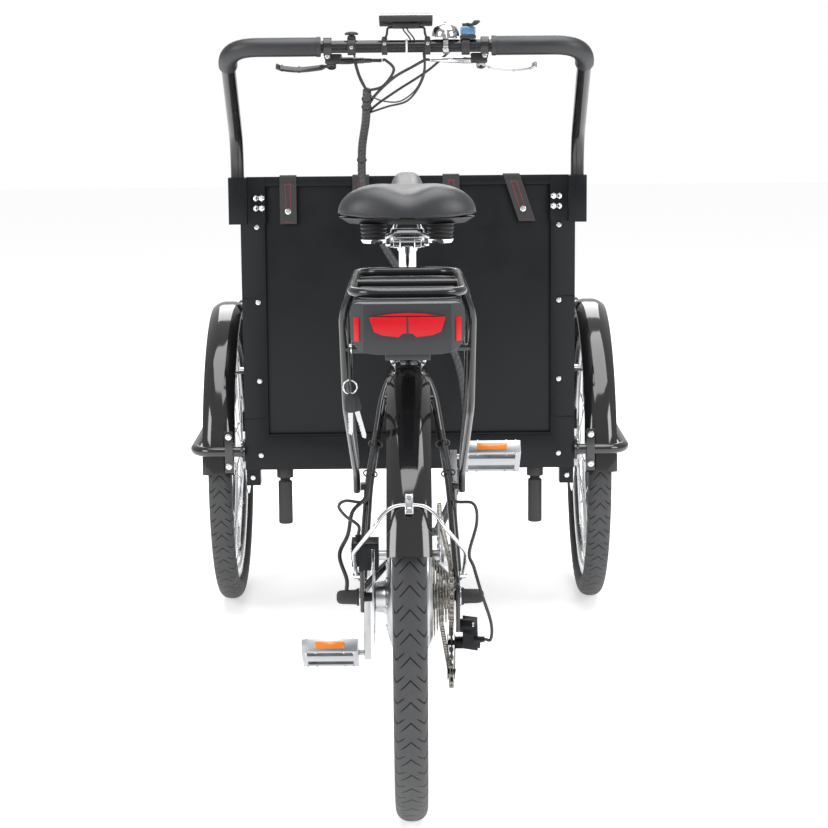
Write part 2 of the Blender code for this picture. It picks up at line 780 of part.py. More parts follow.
caliper = box((-0.0850, -0.046, 0.3780), (-0.0455, 0.000, 0.4180))
disc_slot = 0.0015
cut(
    caliper,
    box((REAR_DISC_X - disc_slot - 0.001, -0.08, 0.36), (REAR_DISC_X + disc_slot + 0.001, 0.05, 0.4095)),
    box((-0.100, -0.060, 0.370), (-0.0740, -0.022, 0.394)),
)
port = rod((-0.075, -0.022, 0.4170), (-0.075, -0.022, 0.4260), 0.005, 10)
finish(fuse(caliper, port), "rear_caliper", BLACK_SATIN, 0.4)

# Chain, sprockets, pulleys and derailleur


def pitch_radius(teeth):
    """The radius on which the pins of a chain lie round a sprocket."""
    return LINK_PITCH / (2 * sin(pi / teeth))


def sprocket(teeth, x, centre, hole):
    """A flat toothed wheel with a round hole."""
    middle = pitch_radius(teeth)
    outline = []
    for k in range(teeth * 2):
        angle = pi * k / teeth
        r = middle + (0.0028 if k % 2 else -0.0030)
        outline.append((centre[0] + r * cos(angle), centre[1] + r * sin(angle)))
    plate = prism(outline, "X", x - TOOTH_WIDTH / 2, x + TOOTH_WIDTH / 2)
    if hole is None:
        return plate
    return cut(plate, rod((x - 0.01, *centre), (x + 0.01, *centre), hole, 16))


axle_at = (0.0, REAR_RADIUS)
drum = rod((0.0330 + FIT, *axle_at), (0.0652, *axle_at), 0.0190, 10)
for k, teeth in enumerate(reversed(COG_TEETH)):
    fuse(drum, sprocket(teeth, SMALL_COG_X - k * COG_SPACING, axle_at, None))
cut(drum, rod((0.02, *axle_at), (0.08, *axle_at), AXLE_RADIUS + FIT * 1.5, 12))
finish(drum, "cassette", (0.30, 0.29, 0.27), 0.35, 1.0, REAR_AXLE)

for name, place in (("pulley_upper", UPPER_PULLEY), ("pulley_lower", LOWER_PULLEY)):
    wheel = sprocket(PULLEY_TEETH, SMALL_COG_X, place, 0.0040 + FIT)
    finish(wheel, name, BLACK_SATIN, 0.5, 0.0, (SMALL_COG_X, *place))


def chain_line(offset):
    """The closed line at a height above the pins, round the chainring, both pulleys and the smallest cog."""
    stops = [
        (Vector((BB_Y, BB_Z)), pitch_radius(RING_TEETH), 1, 14),
        (Vector(LOWER_PULLEY), pitch_radius(PULLEY_TEETH), 1, 6),
        (Vector(UPPER_PULLEY), pitch_radius(PULLEY_TEETH), -1, 5),
        (Vector(axle_at), pitch_radius(COG_TEETH[-1]), 1, 7),
    ]
    joins = []
    for i, (here, r, way, _) in enumerate(stops):
        there, next_r, next_way, _ = stops[(i + 1) % len(stops)]
        gap = there - here
        swing = (next_way * next_r - way * r) / gap.length
        heading = atan2(gap.y, gap.x) + asin(swing)
        side = Vector((-sin(heading), cos(heading)))
        joins.append((here + side * way * r, there + side * next_way * next_r))
    line = []
    for i, (centre, r, way, steps) in enumerate(stops):
        enter = joins[i - 1][1] - centre
        leave = joins[i][0] - centre
        first = atan2(enter.y, enter.x)
        last = atan2(leave.y, leave.x)
        if way > 0:
            while last > first:
                last -= 2 * pi
        else:
            while last < first:
                last += 2 * pi
        size = r + offset * way
        for k in range(steps + 1):
            angle = first + (last - first) * k / steps
            line.append(centre + Vector((cos(angle), sin(angle))) * size)
        run = joins[i][1] - joins[i][0]
        lift = (joins[i][0] - centre).normalized() * offset * way
        for k in range(1, RUN_POINTS if run.length > CRANK_LENGTH else 1):
            line.append(joins[i][0] + run * (k / RUN_POINTS) + lift)
    return line


def chain_x(y):
    """The chain runs across from the chainring's plane to the smallest cog's plane."""
    start, stop = LOWER_PULLEY[0] + 0.040, BB_Y - 0.100
    share = min(1.0, max(0.0, (y - start) / (stop - start)))
    return SMALL_COG_X + (RING_X - SMALL_COG_X) * share


def chain_plate(side):
    """One of the chain's two side plates as a closed band."""
    near = side * (TOOTH_WIDTH / 2 + FIT)
    far = near + side * PLATE_THICKNESS
    outer, inner = chain_line(PLATE_HEIGHT / 2), chain_line(-PLATE_HEIGHT / 2)
    rings = []
    for a, b in zip(outer, inner):
        x = chain_x((a.x + b.x) / 2)
        rings.append([(x + near, *a), (x + far, *a), (x + far, *b), (x + near, *b)])
    return skin(rings, loop=True)


chain = chain_plate(1)
middle_line = chain_line(0.0)
runs = [
    (middle_line[14], middle_line[14 + RUN_POINTS]),
    (middle_line[-RUN_POINTS], middle_line[0]),
]
pins = []
for start, end in runs:
    span = (end - start).length
    count = int(span / (LINK_PITCH * 4))
    for k in range(count):
        at = start + (end - start) * ((k + 0.5) / count)
        x = chain_x(at.x)
        if abs(x - SMALL_COG_X) > 1e-6 and abs(x - RING_X) > 1e-6:
            width = TOOTH_WIDTH / 2 + FIT + PLATE_THICKNESS * 0.5
            pins.append(rod((x - width, *at), (x + width, *at), 0.0030, 5))
bridged = fuse(gather([chain, chain_plate(-1)]), gather(pins))
finish(bridged, "chain", (0.25, 0.24, 0.23), 0.4, 1.0)

cage_x = TOOTH_WIDTH / 2 + 0.0035
cage = None
upper, lower = Vector((0, *UPPER_PULLEY)), Vector((0, *LOWER_PULLEY))
along = (lower - upper).normalized()
across = Vector((0, -along.z, along.y))
for side in (-1, 1):
    low = SMALL_COG_X + side * cage_x
    high = low + side * 0.0015
    rings = []
    for level in (low, high):
        ring = []
        for point, reach, width in ((upper, -0.010, 0.008), (lower, 0.010, 0.008)):
            corners = [-1, 1] if reach < 0 else [1, -1]
            for c in corners:
                ring.append(Vector((level, 0, 0)) + point + along * reach + across * width * c)
        rings.append(ring)
    plate = skin(rings)
    cage = plate if cage is None else gather([cage, plate])
for point in (upper, lower):
    start = Vector((SMALL_COG_X - cage_x - 0.0010, *point.yz))
    end = Vector((SMALL_COG_X + cage_x + 0.0010, *point.yz))
    cage = fuse(cage, rod(start, end, 0.0040, 12))
body_x = DROPOUT_INNER + DROPOUT_THICKNESS + FIT
mount = rod((body_x, 0.008, 0.280), (body_x + 0.018, 0.008, 0.280), 0.0105, 12)
knuckle_inner = ((-0.004, 0.272), (0.022, 0.292), (0.026, 0.262), (0.010, 0.244))
knuckle_outer = ((-0.008, 0.270), (0.018, 0.290), (0.024, 0.260), (0.004, 0.242))
knuckle = skin(
    [
        [(body_x + 0.004, y, z) for y, z in knuckle_inner],
        [(body_x + 0.026, y, z) for y, z in knuckle_outer],
    ]
)
arm_start = SMALL_COG_X + cage_x + 0.0005
arm = rod((arm_start, *UPPER_PULLEY), (body_x + 0.030, *UPPER_PULLEY), 0.0095, 12)
entry = rod((body_x + 0.020, -0.004, 0.262), (body_x + 0.036, -0.004, 0.262), 0.0045, 8)
finish(fuse(cage, arm, mount, knuckle, entry), "derailleur", BLACK_SATIN, 0.4)

# Cranks and pedals


def crank_arm(side, up):
    """A tapering arm from the spindle to the pedal, its inner face flat."""
    x0, x1 = side * (CRANK_X - 0.006), side * (CRANK_X + 0.006)
    end = BB + Vector((0, 0, up * CRANK_LENGTH))
    rings = []
    for x in (x0, x1):
        rings.append(
            [
                (x, BB.y - 0.014, BB.z),
                (x, BB.y + 0.014, BB.z),
                (x, end.y + 0.010, end.z - up * 0.002),
                (x, end.y + 0.006, end.z + up * 0.011),
                (x, end.y - 0.006, end.z + up * 0.011),
                (x, end.y - 0.010, end.z - up * 0.002),
            ]
        )
    boss = rod((side * 0.060, *BB.yz), (x1, *BB.yz), 0.018, 20)
    axle_in = side * (CRANK_X + 0.004)
    axle_out = side * (PEDAL_X + PEDAL_WIDTH / 2 - 0.003)
    pedal_axle = rod((axle_in, *end.yz), (axle_out, *end.yz), 0.0045, 12)
    return fuse(skin(rings), boss, pedal_axle)


right = crank_arm(1, 1)
spindle = rod((-0.0790, *BB.yz), (0.0640, *BB.yz), 0.0085, 20)
ring = sprocket(RING_TEETH, RING_X, (BB_Y, BB_Z), 0.0740)
spider = []
for k in range(5):
    turn = Quaternion((1, 0, 0), 2 * pi * k / 5 + 0.3)
    corners = [(-0.008, 0.008), (0.008, 0.008), (0.005, 0.0765), (-0.005, 0.0765)]
    spider.append(skin([[BB + turn @ Vector((x, y, z)) for y, z in corners] for x in (0.0508, 0.0560)]))
spider.append(rod((0.0500, *BB.yz), (0.0640, *BB.yz), 0.020, 20))
finish(fuse(right, spindle, *spider, ring), "crank_right", SILVER, 0.3, 1.0, BB)
left = crank_arm(-1, -1)
cut(left, rod((-0.09, *BB.yz), (-0.05, *BB.yz), 0.0085 + FIT, 20))
finish(left, "crank_left", SILVER, 0.3, 1.0, BB)

for side, hand, up in ((-1, "left", -1), (1, "right", 1)):
    centre = Vector((side * PEDAL_X, BB.y, BB.z + up * CRANK_LENGTH))
    half = PEDAL_WIDTH / 2
    depth, thick = 0.039, 0.0115
    body = box((-half, -depth, -thick), (half, depth, thick))
    for y in (-1, 1):
        low, high = sorted((y * 0.0125, y * (depth - 0.008)))
        cut(body, box((-half + 0.009, low, -0.03), (half - 0.009, high, 0.03)))
    cut(body, rod((-0.06, 0, 0), (0.06, 0, 0), 0.0045 + FIT, 12))
    bm = bmesh.new()
    bm.from_mesh(body.data)
    place = Matrix.Translation(centre) @ Matrix.Rotation(radians(-PEDAL_TILT), 4, "X")
    bmesh.ops.transform(bm, matrix=place, verts=bm.verts)
    bpy.data.objects.remove(body, do_unlink=True)
    finish(keep(bm), f"pedal_{hand}", (0.45, 0.46, 0.48), 0.4, 1.0, centre)

# Rear rack, battery and key


def along_leg(path, z):
    """The point of a leg's path at this height."""
    for low, high in zip(path, path[1:]):
        if min(low.z, high.z) <= z <= max(low.z, high.z):
            return low + (high - low) * ((z - low.z) / (high.z - low.z))
    return path[-1]


corners = [
    (-RACK_HALF_WIDTH, RACK_REAR, RACK_Z),
    (RACK_HALF_WIDTH, RACK_REAR, RACK_Z),
    (RACK_HALF_WIDTH, RACK_FRONT, RACK_Z),
    (-RACK_HALF_WIDTH, RACK_FRONT, RACK_Z),
]
rack = sweep(rounded(corners, 0.045, 4, loop=True), RACK_RADIUS, 8, (0, 0, 1), loop=True)
fuse(rack, rod((-RACK_HALF_WIDTH, -0.090, RACK_Z), (RACK_HALF_WIDTH, -0.090, RACK_Z), 0.005, 8))
boss_at = about_rear(0, 0.194, SEAT_STAY_ANGLE)
TRAY_TOP = BATTERY_BOTTOM - FIT
TRAY_BOTTOM = TRAY_TOP - 0.0127
tray = box((-0.030, RACK_REAR - 0.02, TRAY_BOTTOM), (0.030, BATTERY_FRONT + 0.045, TRAY_TOP))
fuse(rack, tray)
for side in (-1, 1):
    foot_x = 0.0747 + FIT + 0.0055
    rear_leg = [
        Vector((side * RACK_HALF_WIDTH, -0.170, RACK_Z)),
        Vector((side * LEG_X, -0.168, RACK_Z - 0.034)),
        Vector((side * LEG_X, -0.060, 0.620)),
        Vector((side * foot_x, boss_at.y - 0.010, boss_at.z + 0.020)),
        Vector((side * foot_x, boss_at.y, boss_at.z - 0.008)),
    ]
    front_leg = [
        Vector((side * RACK_HALF_WIDTH, 0.050, RACK_Z)),
        Vector((side * LEG_X, 0.052, RACK_Z - 0.034)),
        Vector((side * LEG_X, 0.096, 0.620)),
        Vector((side * foot_x, boss_at.y + 0.002, boss_at.z + 0.028)),
    ]
    fuse(rack, sweep(rear_leg, 0.0055, 6, (1, 0, 0)), sweep(front_leg, 0.0055, 6, (1, 0, 0)))
for y in (along_leg(rear_leg, TRAY_BOTTOM + 0.002).y, along_leg(front_leg, TRAY_BOTTOM + 0.002).y):
    z = TRAY_BOTTOM + 0.002
    fuse(rack, rod((-LEG_X, y, z), (LEG_X, y, z), 0.005, 8))
front_block = box(
    (-0.055, BATTERY_FRONT + FIT, TRAY_BOTTOM - 0.014), (0.055, BATTERY_FRONT + 0.045, BATTERY_TOP - 0.004)
)
STRUT_RADIUS = 0.006
strut_z = SEAT_TUBE_TOP - STRUT_RADIUS - 0.0015
strut_top = seat_line(strut_z + STRUT_RADIUS)
strut_y = strut_top.y - (SEAT_TUBE_RADIUS + COLLAR_WALL) * hypot(1, SEAT_SLOPE) - FIT
strut = rod((0, BATTERY_FRONT + 0.040, strut_z), (0, strut_y, strut_z), STRUT_RADIUS, 8)
lock_y = -0.165
lock = rod((-0.025, lock_y, TRAY_TOP - 0.0075), (-0.0795, lock_y, TRAY_TOP - 0.0075), 0.006, 10)
EYE_RADIUS = 0.0028
key_eye_z = 0.677
eye = box((-0.0812, lock_y - 0.009, key_eye_z - 0.007), (-0.0788, lock_y + 0.009, TRAY_TOP - 0.004))
cut(eye, rod((-0.10, lock_y, key_eye_z), (-0.07, lock_y, key_eye_z), EYE_RADIUS, 8))
fuse(rack, front_block, strut, lock, eye)
finish(rack, "rear_rack", BLACK_SATIN, 0.3)


def battery_ring(y, scale):
    """The battery's cross section, with its curved lower edges."""
    half = BATTERY_HALF_WIDTH
    shape = [(0.60, 0.0), (0.88, 0.08), (1.0, 0.27), (1.0, 0.88), (0.90, 1.0)]
    shape += [(-a, b) for a, b in reversed(shape)]
    height = BATTERY_TOP - BATTERY_BOTTOM
    return [
        (half * a * scale, y, BATTERY_BOTTOM + height * (0.5 + (b - 0.5) * (scale if b > 0 else 1.0)))
        for a, b in shape
    ]


case = skin(
    [
        battery_ring(BATTERY_REAR, 0.93),
        battery_ring(BATTERY_REAR + 0.006, 1.0),
        battery_ring(BATTERY_FRONT - 0.004, 1.0),
        battery_ring(BATTERY_FRONT, 0.96),
    ]
)
finish(case, "battery_case", (0.045, 0.046, 0.050), 0.45)
lens_z = BATTERY_BOTTOM + (BATTERY_TOP - BATTERY_BOTTOM) * 0.56
lens_outline = [
    (0.050, lens_z + 0.013),
    (0.050, lens_z - 0.006),
    (0.040, lens_z - 0.014),
    (0.012, lens_z - 0.014),
    (0.007, lens_z - 0.009),
    (-0.007, lens_z - 0.009),
    (-0.012, lens_z - 0.014),
    (-0.040, lens_z - 0.014),
    (-0.050, lens_z - 0.006),
    (-0.050, lens_z + 0.013),
]
lens = prism(lens_outline, "Y", BATTERY_REAR - 0.0065, BATTERY_REAR - FIT)
finish(lens, "tail_light_lens", RED, 0.12)

KEY_RING_RADIUS = 0.0095
KEY_WIRE = 0.0011
ring_seat = key_eye_z - EYE_RADIUS * cos(pi / 8) + KEY_WIRE + FIT
ring_centre = Vector((-0.080, lock_y, ring_seat - KEY_RING_RADIUS))
ring_path = []
for k in range(14):
    angle = 2 * pi * k / 14 + pi / 2
    ring_path.append(ring_centre + Vector((cos(angle), 0, sin(angle))) * KEY_RING_RADIUS)
key_ring = sweep(ring_path, KEY_WIRE, 6, (0, 1, 0), loop=True)
for lean, reach in ((0.0, 0.058), (radians(15), 0.066)):
    way = Vector((sin(lean), 0, -cos(lean)))
    grip = ring_centre + way * KEY_RING_RADIUS
    head = [grip - way * 0.0012, grip + way * 0.006, grip + way * 0.026]
    blade = [grip + way * 0.022, grip + way * reach]
    fuse(key_ring, sweep(head, 0.0080, 4, (0, 1, 0), flat=0.20))
    fuse(key_ring, sweep(blade, 0.0042, 4, (0, 1, 0), flat=0.26))
finish(key_ring, "key_ring", SILVER, 0.3, 1.0, (-0.080, lock_y, ring_seat))

# Seat post and saddle

post_top = seat_line(SADDLE_RAIL_Z - 0.018)
post = rod(seat_line(SEAT_POST_BOTTOM), post_top, SEAT_POST_RADIUS, 14)
head_at = seat_line(SADDLE_RAIL_Z - 0.010)
RAIL_RADIUS = 0.0036
head_top = SADDLE_RAIL_Z - RAIL_RADIUS - FIT
head = box((-0.024, head_at.y - 0.020, SADDLE_RAIL_Z - 0.022), (0.024, head_at.y + 0.020, head_top))
finish(fuse(post, head), "seatpost", CHROME, 0.1, 1.0, seat_line(SEAT_TUBE_TOP))

SPRING_X, SPRING_Y = 0.050, SADDLE_REAR + 0.037
base = None
PAN_BOTTOM = SADDLE_UNDER - FIT - 0.0075
PAN_TOP = SADDLE_UNDER - FIT
for side in (-1, 1):
    rail = rounded(
        [
            (side * SPRING_X, SPRING_Y, SADDLE_RAIL_Z - 0.004),
            (side * 0.022, head_at.y - 0.030, SADDLE_RAIL_Z),
            (side * 0.022, head_at.y + 0.030, SADDLE_RAIL_Z),
            (side * 0.010, SADDLE_REAR + SADDLE_LENGTH - 0.050, SADDLE_UNDER - 0.0005),
        ],
        0.02,
        3,
    )
    rail = sweep(rail, RAIL_RADIUS, 8, (0, 0, 1))
    foot_z = SADDLE_RAIL_Z - 0.009
    profile = [(foot_z, 0.002), (foot_z, 0.0165), (foot_z + 0.006, 0.0185)]
    folds = 3
    low = SADDLE_RAIL_Z - 0.002
    step = (PAN_BOTTOM + 0.001 - low) / folds
    for k in range(folds):
        profile.append((low + step * k, 0.0150))
        profile.append((low + step * (k + 0.5), 0.0180))
    profile.append((PAN_BOTTOM + 0.001, 0.0150))
    profile.append((PAN_BOTTOM + 0.001, 0.002))
    bellows = turned(profile, (side * SPRING_X, SPRING_Y, 0), "Z", 10)
    core = rod(
        (side * SPRING_X, SPRING_Y, SADDLE_RAIL_Z - 0.0085),
        (side * SPRING_X, SPRING_Y, PAN_BOTTOM + 0.0005),
        0.006,
        8,
    )
    fuse(bellows, core, rail)
    base = bellows if base is None else gather([base, bellows])
pan_outline = [
    (0.082, SADDLE_REAR + 0.020),
    (0.090, SADDLE_REAR + 0.060),
    (0.070, SADDLE_REAR + 0.110),
    (0.030, SADDLE_REAR + 0.165),
    (0.014, SADDLE_REAR + SADDLE_LENGTH - 0.045),
]
pan_outline += [(-x, y) for x, y in reversed(pan_outline)]
pan = prism(pan_outline, "Z", PAN_BOTTOM, PAN_TOP)
clamp = box((-0.026, head_at.y - 0.016, head_top + FIT), (0.026, head_at.y + 0.016, SADDLE_RAIL_Z + 0.007))
finish(fuse(pan, base, clamp), "saddle_base", (0.03, 0.03, 0.032), 0.4, 0.0, seat_line(SEAT_TUBE_TOP))


def saddle_ring(share):
    """One cross section of the cushion, share running from the rear edge to the nose."""
    y = SADDLE_REAR + SADDLE_LENGTH * share
    rear_round = sqrt(max(0.0, 1 - (1 - min(1.0, share / 0.16)) ** 2))
    nose_round = sqrt(max(0.0, 1 - (1 - min(1.0, (1 - share) / 0.10)) ** 2))
    ease = min(1.0, max(0.0, (share - 0.22) / 0.45))
    ease = ease * ease * (3 - 2 * ease)
    half = (SADDLE_HALF_WIDTH * (1 - ease) + 0.027 * ease) * max(0.30, rear_round) * max(0.35, nose_round)
    crown = 0.0455 * max(0.45, rear_round) * max(0.5, nose_round) * (1 - 0.10 * ease)
    under = SADDLE_UNDER + 0.020 * max(0.0, share - 0.70) / 0.30
    if share > 0.70:
        crown += 0.008 * (share - 0.70) / 0.30
    lobes = 0.0075 * (1 - ease)
    ring = []
    count = 22
    for k in range(count):
        angle = 2 * pi * k / count - pi / 2
        c, s = cos(angle), sin(angle)
        across = (1 if c > 0 else -1) * abs(c) ** 0.72
        rise = (1 if s > 0 else -1) * abs(s) ** 0.80
        x = half * across
        z = under + crown * 0.34 + crown * (0.66 * rise if rise > 0 else 0.34 * rise)
        if rise > 0:
            z += lobes * (cos(across * pi * 1.9 + pi) * 0.5 - 0.3) * rise
        if rise < -0.55:
            z = under
        ring.append((x, y, z))
    return ring


shares = [0.0, 0.02, 0.06, 0.12, 0.20, 0.28, 0.36, 0.44, 0.52, 0.60, 0.68, 0.76, 0.84, 0.91, 0.96, 0.985, 1.0]
cushion = skin([saddle_ring(s) for s in shares])
finish(cushion, "saddle_cushion", (0.035, 0.036, 0.040), 0.55, 0.0, seat_line(SEAT_TUBE_TOP))

# Box frame with its underframe, wheel mounts, stops and pole sockets

FRONT_LEAN = (BOX_LENGTH_TOP - BOX_LENGTH_BOTTOM) / (BOX_TOP_FRONT - BOX_BOTTOM)
TOP_FALL = (BOX_TOP_REAR - BOX_TOP_FRONT) / BOX_LENGTH_TOP


def front_y(z, depth=0.0):
    """Where the slanted front plane lies at a height, moved inward by depth."""
    return BOX_REAR + BOX_LENGTH_BOTTOM + (z - BOX_BOTTOM) * FRONT_LEAN - depth * hypot(1, FRONT_LEAN)


def top_z(y, depth=0.0):
    """Where the sloping top edge lies at a place along the box, moved down by depth."""
    return BOX_TOP_REAR - (y - BOX_REAR) * TOP_FALL - depth


def box_outline(rear, front_depth, low, top_depth):
    """The box's side outline with its edges moved inward."""
    front_top = front_y(BOX_TOP_FRONT, front_depth)
    z = top_z(front_top, top_depth)
    return [
        (rear, low),
        (front_y(low, front_depth), low),
        (front_y(z, front_depth), z),
        (rear, top_z(rear, top_depth)),
    ]


outer = prism(box_outline(BOX_REAR, 0.0, BOX_BOTTOM, 0.0), "X", -BOX_HALF_WIDTH, BOX_HALF_WIDTH)
inside = BOX_HALF_WIDTH - BOX_WALL
hollow = prism(
    [
        (BOX_REAR + BOX_WALL, BOX_BOTTOM - 0.05),
        (front_y(BOX_BOTTOM - 0.05, BOX_WALL), BOX_BOTTOM - 0.05),
        (front_y(BOX_TOP_REAR + 0.05, BOX_WALL), BOX_TOP_REAR + 0.05),
        (BOX_REAR + BOX_WALL, BOX_TOP_REAR + 0.05),
    ],
    "X",
    -inside,
    inside,
)
window = BOX_HALF_WIDTH - POST_WIDTH
rear_rail = BOX_TOP_REAR - TOP_RAIL_HEIGHT
rear_window = box((-window, BOX_REAR - 0.01, LOW_RAIL_TOP), (window, BOX_REAR + 0.02, rear_rail))
side_window = prism(
    box_outline(BOX_REAR + POST_WIDTH, POST_WIDTH, LOW_RAIL_TOP, TOP_RAIL_HEIGHT),
    "X",
    -BOX_HALF_WIDTH - 0.02,
    BOX_HALF_WIDTH + 0.02,
)
front_top = BOX_TOP_FRONT - TOP_RAIL_HEIGHT
front_window = prism(
    [
        (front_y(LOW_RAIL_TOP, 0.015), LOW_RAIL_TOP),
        (front_y(LOW_RAIL_TOP, -0.015), LOW_RAIL_TOP),
        (front_y(front_top, -0.015), front_top),
        (front_y(front_top, 0.015), front_top),
    ],
    "X",
    -window,
    window,
)
body = cut(outer, hollow, rear_window, side_window, front_window)

cross_low = BOX_BOTTOM + 0.001
cross_high = cross_low + CROSSMEMBER_HEIGHT
reach = BOX_HALF_WIDTH - BOX_WALL * 0.4
for y0, y1 in (
    (BOX_REAR + 0.002, BOX_REAR + 0.045),
    (PIVOT_Y - 0.040, PIVOT_Y + 0.050),
    (BOX_REAR + BOX_LENGTH_BOTTOM - 0.065, BOX_REAR + BOX_LENGTH_BOTTOM - 0.025),
):
    fuse(body, box((-reach, y0, cross_low), (reach, y1, cross_high)))
pin = rod((0, PIVOT_Y, PIVOT_BOTTOM - 0.005), (0, PIVOT_Y, cross_low + 0.015), PIVOT_PIN_RADIUS, 20)
pin_head = rod((0, PIVOT_Y, PIVOT_BOTTOM - 0.009), (0, PIVOT_Y, PIVOT_BOTTOM - FIT), 0.025, 14)
fuse(body, pin, pin_head)
for side in (-1, 1):
    post = rod((side * STOP_X, STOP_Y, 0.300), (side * STOP_X, STOP_Y, cross_low + 0.010), 0.010, 8)
    sleeve = rod((side * STOP_X, STOP_Y, 0.221), (side * STOP_X, STOP_Y, 0.305), STOP_RADIUS, 12)
    foot_in, foot_out = BOX_HALF_WIDTH - 0.028, BOX_HALF_WIDTH - 0.001
    foot = side_box(side, foot_in, foot_out, BOX_REAR + 0.006, BOX_REAR + 0.038, 0.300, 0.335)
    mount_x = BOX_HALF_WIDTH + 0.0065
    outline = [
        (WHEELBASE - 0.045, LOW_RAIL_TOP + 0.002),
        (WHEELBASE + 0.045, LOW_RAIL_TOP + 0.002),
        (WHEELBASE + 0.018, FRONT_RADIUS - 0.016),
        (WHEELBASE - 0.018, FRONT_RADIUS - 0.016),
    ]
    mount = prism(outline, "X", *sorted((side * (BOX_HALF_WIDTH - 0.001), side * mount_x)))
    axle_in = Vector((side * (BOX_HALF_WIDTH + 0.002), WHEELBASE, FRONT_RADIUS))
    axle_out = Vector((side * (GUARD_X + 0.0095), WHEELBASE, FRONT_RADIUS))
    shoulder_out = Vector((side * (TRACK / 2 - 0.035 - FIT), WHEELBASE, FRONT_RADIUS))
    stub = rod(axle_in, axle_out, 0.006, 10)
    shoulder = rod(axle_in, shoulder_out, 0.010, 10)
    disc_x = TRACK / 2 - 0.0340
    y0, y1 = WHEELBASE - 0.022, WHEELBASE + 0.022
    clamp = side_box(side, BOX_HALF_WIDTH + 0.004, disc_x + 0.009, y0, y1, 0.355, 0.396)
    slot = side_box(side, disc_x - 0.002, disc_x + 0.002, y0 - 0.03, y1 + 0.03, 0.34, 0.384)
    cut(clamp, slot)
    socket = side_box(
        side,
        POLE_X - SOCKET_HALF,
        POLE_X + SOCKET_HALF,
        POLE_Y - SOCKET_HALF,
        POLE_Y + SOCKET_HALF + 0.004,
        SOCKET_BOTTOM,
        BOX_TOP_REAR,
    )
    ear_out = POLE_X + SOCKET_HALF - 0.002
    ear = side_box(side, BOX_HALF_WIDTH - 0.048, ear_out, BOX_REAR - 0.005, BOX_REAR + 0.001, SOCKET_BOTTOM, BOX_TOP_REAR)
    cheek = side_box(
        side,
        BOX_HALF_WIDTH - 0.001,
        BOX_HALF_WIDTH + 0.004,
        BOX_REAR - 0.004,
        BOX_REAR + 0.060,
        SOCKET_BOTTOM,
        BOX_TOP_REAR - 0.008,
    )
    fuse(body, post, sleeve, foot, mount, stub, shoulder, clamp, socket, ear, cheek)
    pocket_low = Vector((side * POLE_X, POLE_Y, POLE_BOTTOM - FIT))
    pocket_high = Vector((side * POLE_X, POLE_Y, BOX_TOP_REAR + 0.05))
    cut(body, rod(pocket_low, pocket_high, POLE_RADIUS + POCKET_FIT, 12))
finish(body, "box_frame", BLACK_SATIN, 0.35, 0.0, (0, PIVOT_Y, BOX_BOTTOM))

# Boards of the box, the bench and the straps

FLOOR_LOW = cross_high + FIT
FLOOR_HIGH = FLOOR_LOW + BOARD
side_out = inside - FIT
side_in = side_out - BOARD
rear_out = BOX_REAR + BOX_WALL + FIT
rear_in = rear_out + BOARD
front_out = BOX_WALL + FIT
front_in = front_out + BOARD
PIVOT = (0, PIVOT_Y, BOX_BOTTOM)
BOARD_COLOUR = (0.016, 0.017, 0.021)

bench_half = side_in - FIT
bench_rear, bench_front = rear_in + FIT, rear_in + FIT + BENCH_DEPTH
floor_outline = [
    (bench_front + FIT, FLOOR_LOW),
    (front_y(FLOOR_LOW, front_in + FIT), FLOOR_LOW),
    (front_y(FLOOR_HIGH, front_in + FIT), FLOOR_HIGH),
    (bench_front + FIT, FLOOR_HIGH),
]
finish(prism(floor_outline, "X", -bench_half, bench_half), "box_floor", BOARD_COLOUR, 0.5, 0.0, PIVOT)
panel = box((-side_out, rear_out, FLOOR_LOW), (side_out, rear_in, BOX_TOP_REAR - 0.0025))
finish(panel, "panel_rear", BOARD_COLOUR, 0.4, 0.0, PIVOT)
high = BOX_TOP_FRONT - 0.001
panel = prism(
    [
        (front_y(FLOOR_LOW, front_out), FLOOR_LOW),
        (front_y(high, front_out), high),
        (front_y(high, front_in), high),
        (front_y(FLOOR_LOW, front_in), FLOOR_LOW),
    ],
    "X",
    -side_out,
    side_out,
)
finish(panel, "panel_front", BOARD_COLOUR, 0.4, 0.0, PIVOT)
for side, hand in ((-1, "left"), (1, "right")):
    start, depth = rear_in + FIT, front_in + FIT
    tip = front_y(BOX_TOP_FRONT, depth)
    outline = [
        (start, FLOOR_LOW),
        (front_y(FLOOR_LOW, depth), FLOOR_LOW),
        (front_y(top_z(tip, 0.001), depth), top_z(tip, 0.001)),
        (start, top_z(start, 0.001)),
    ]
    panel = prism(outline, "X", *sorted((side * side_in, side * side_out)))
    finish(panel, f"panel_{hand}", BOARD_COLOUR, 0.4, 0.0, PIVOT)
bench = box((-bench_half, bench_rear, BENCH_TOP - BENCH_BOARD), (bench_half, bench_front, BENCH_TOP))
riser = box((-bench_half, bench_front - BENCH_BOARD, FLOOR_LOW), (bench_half, bench_front, BENCH_TOP - 0.001))
locker = box((-bench_half, bench_rear, FLOOR_LOW), (bench_half, bench_front - 0.001, FLOOR_HIGH))
finish(fuse(bench, riser, locker), "bench", BOARD_COLOUR, 0.5, 0.0, PIVOT)


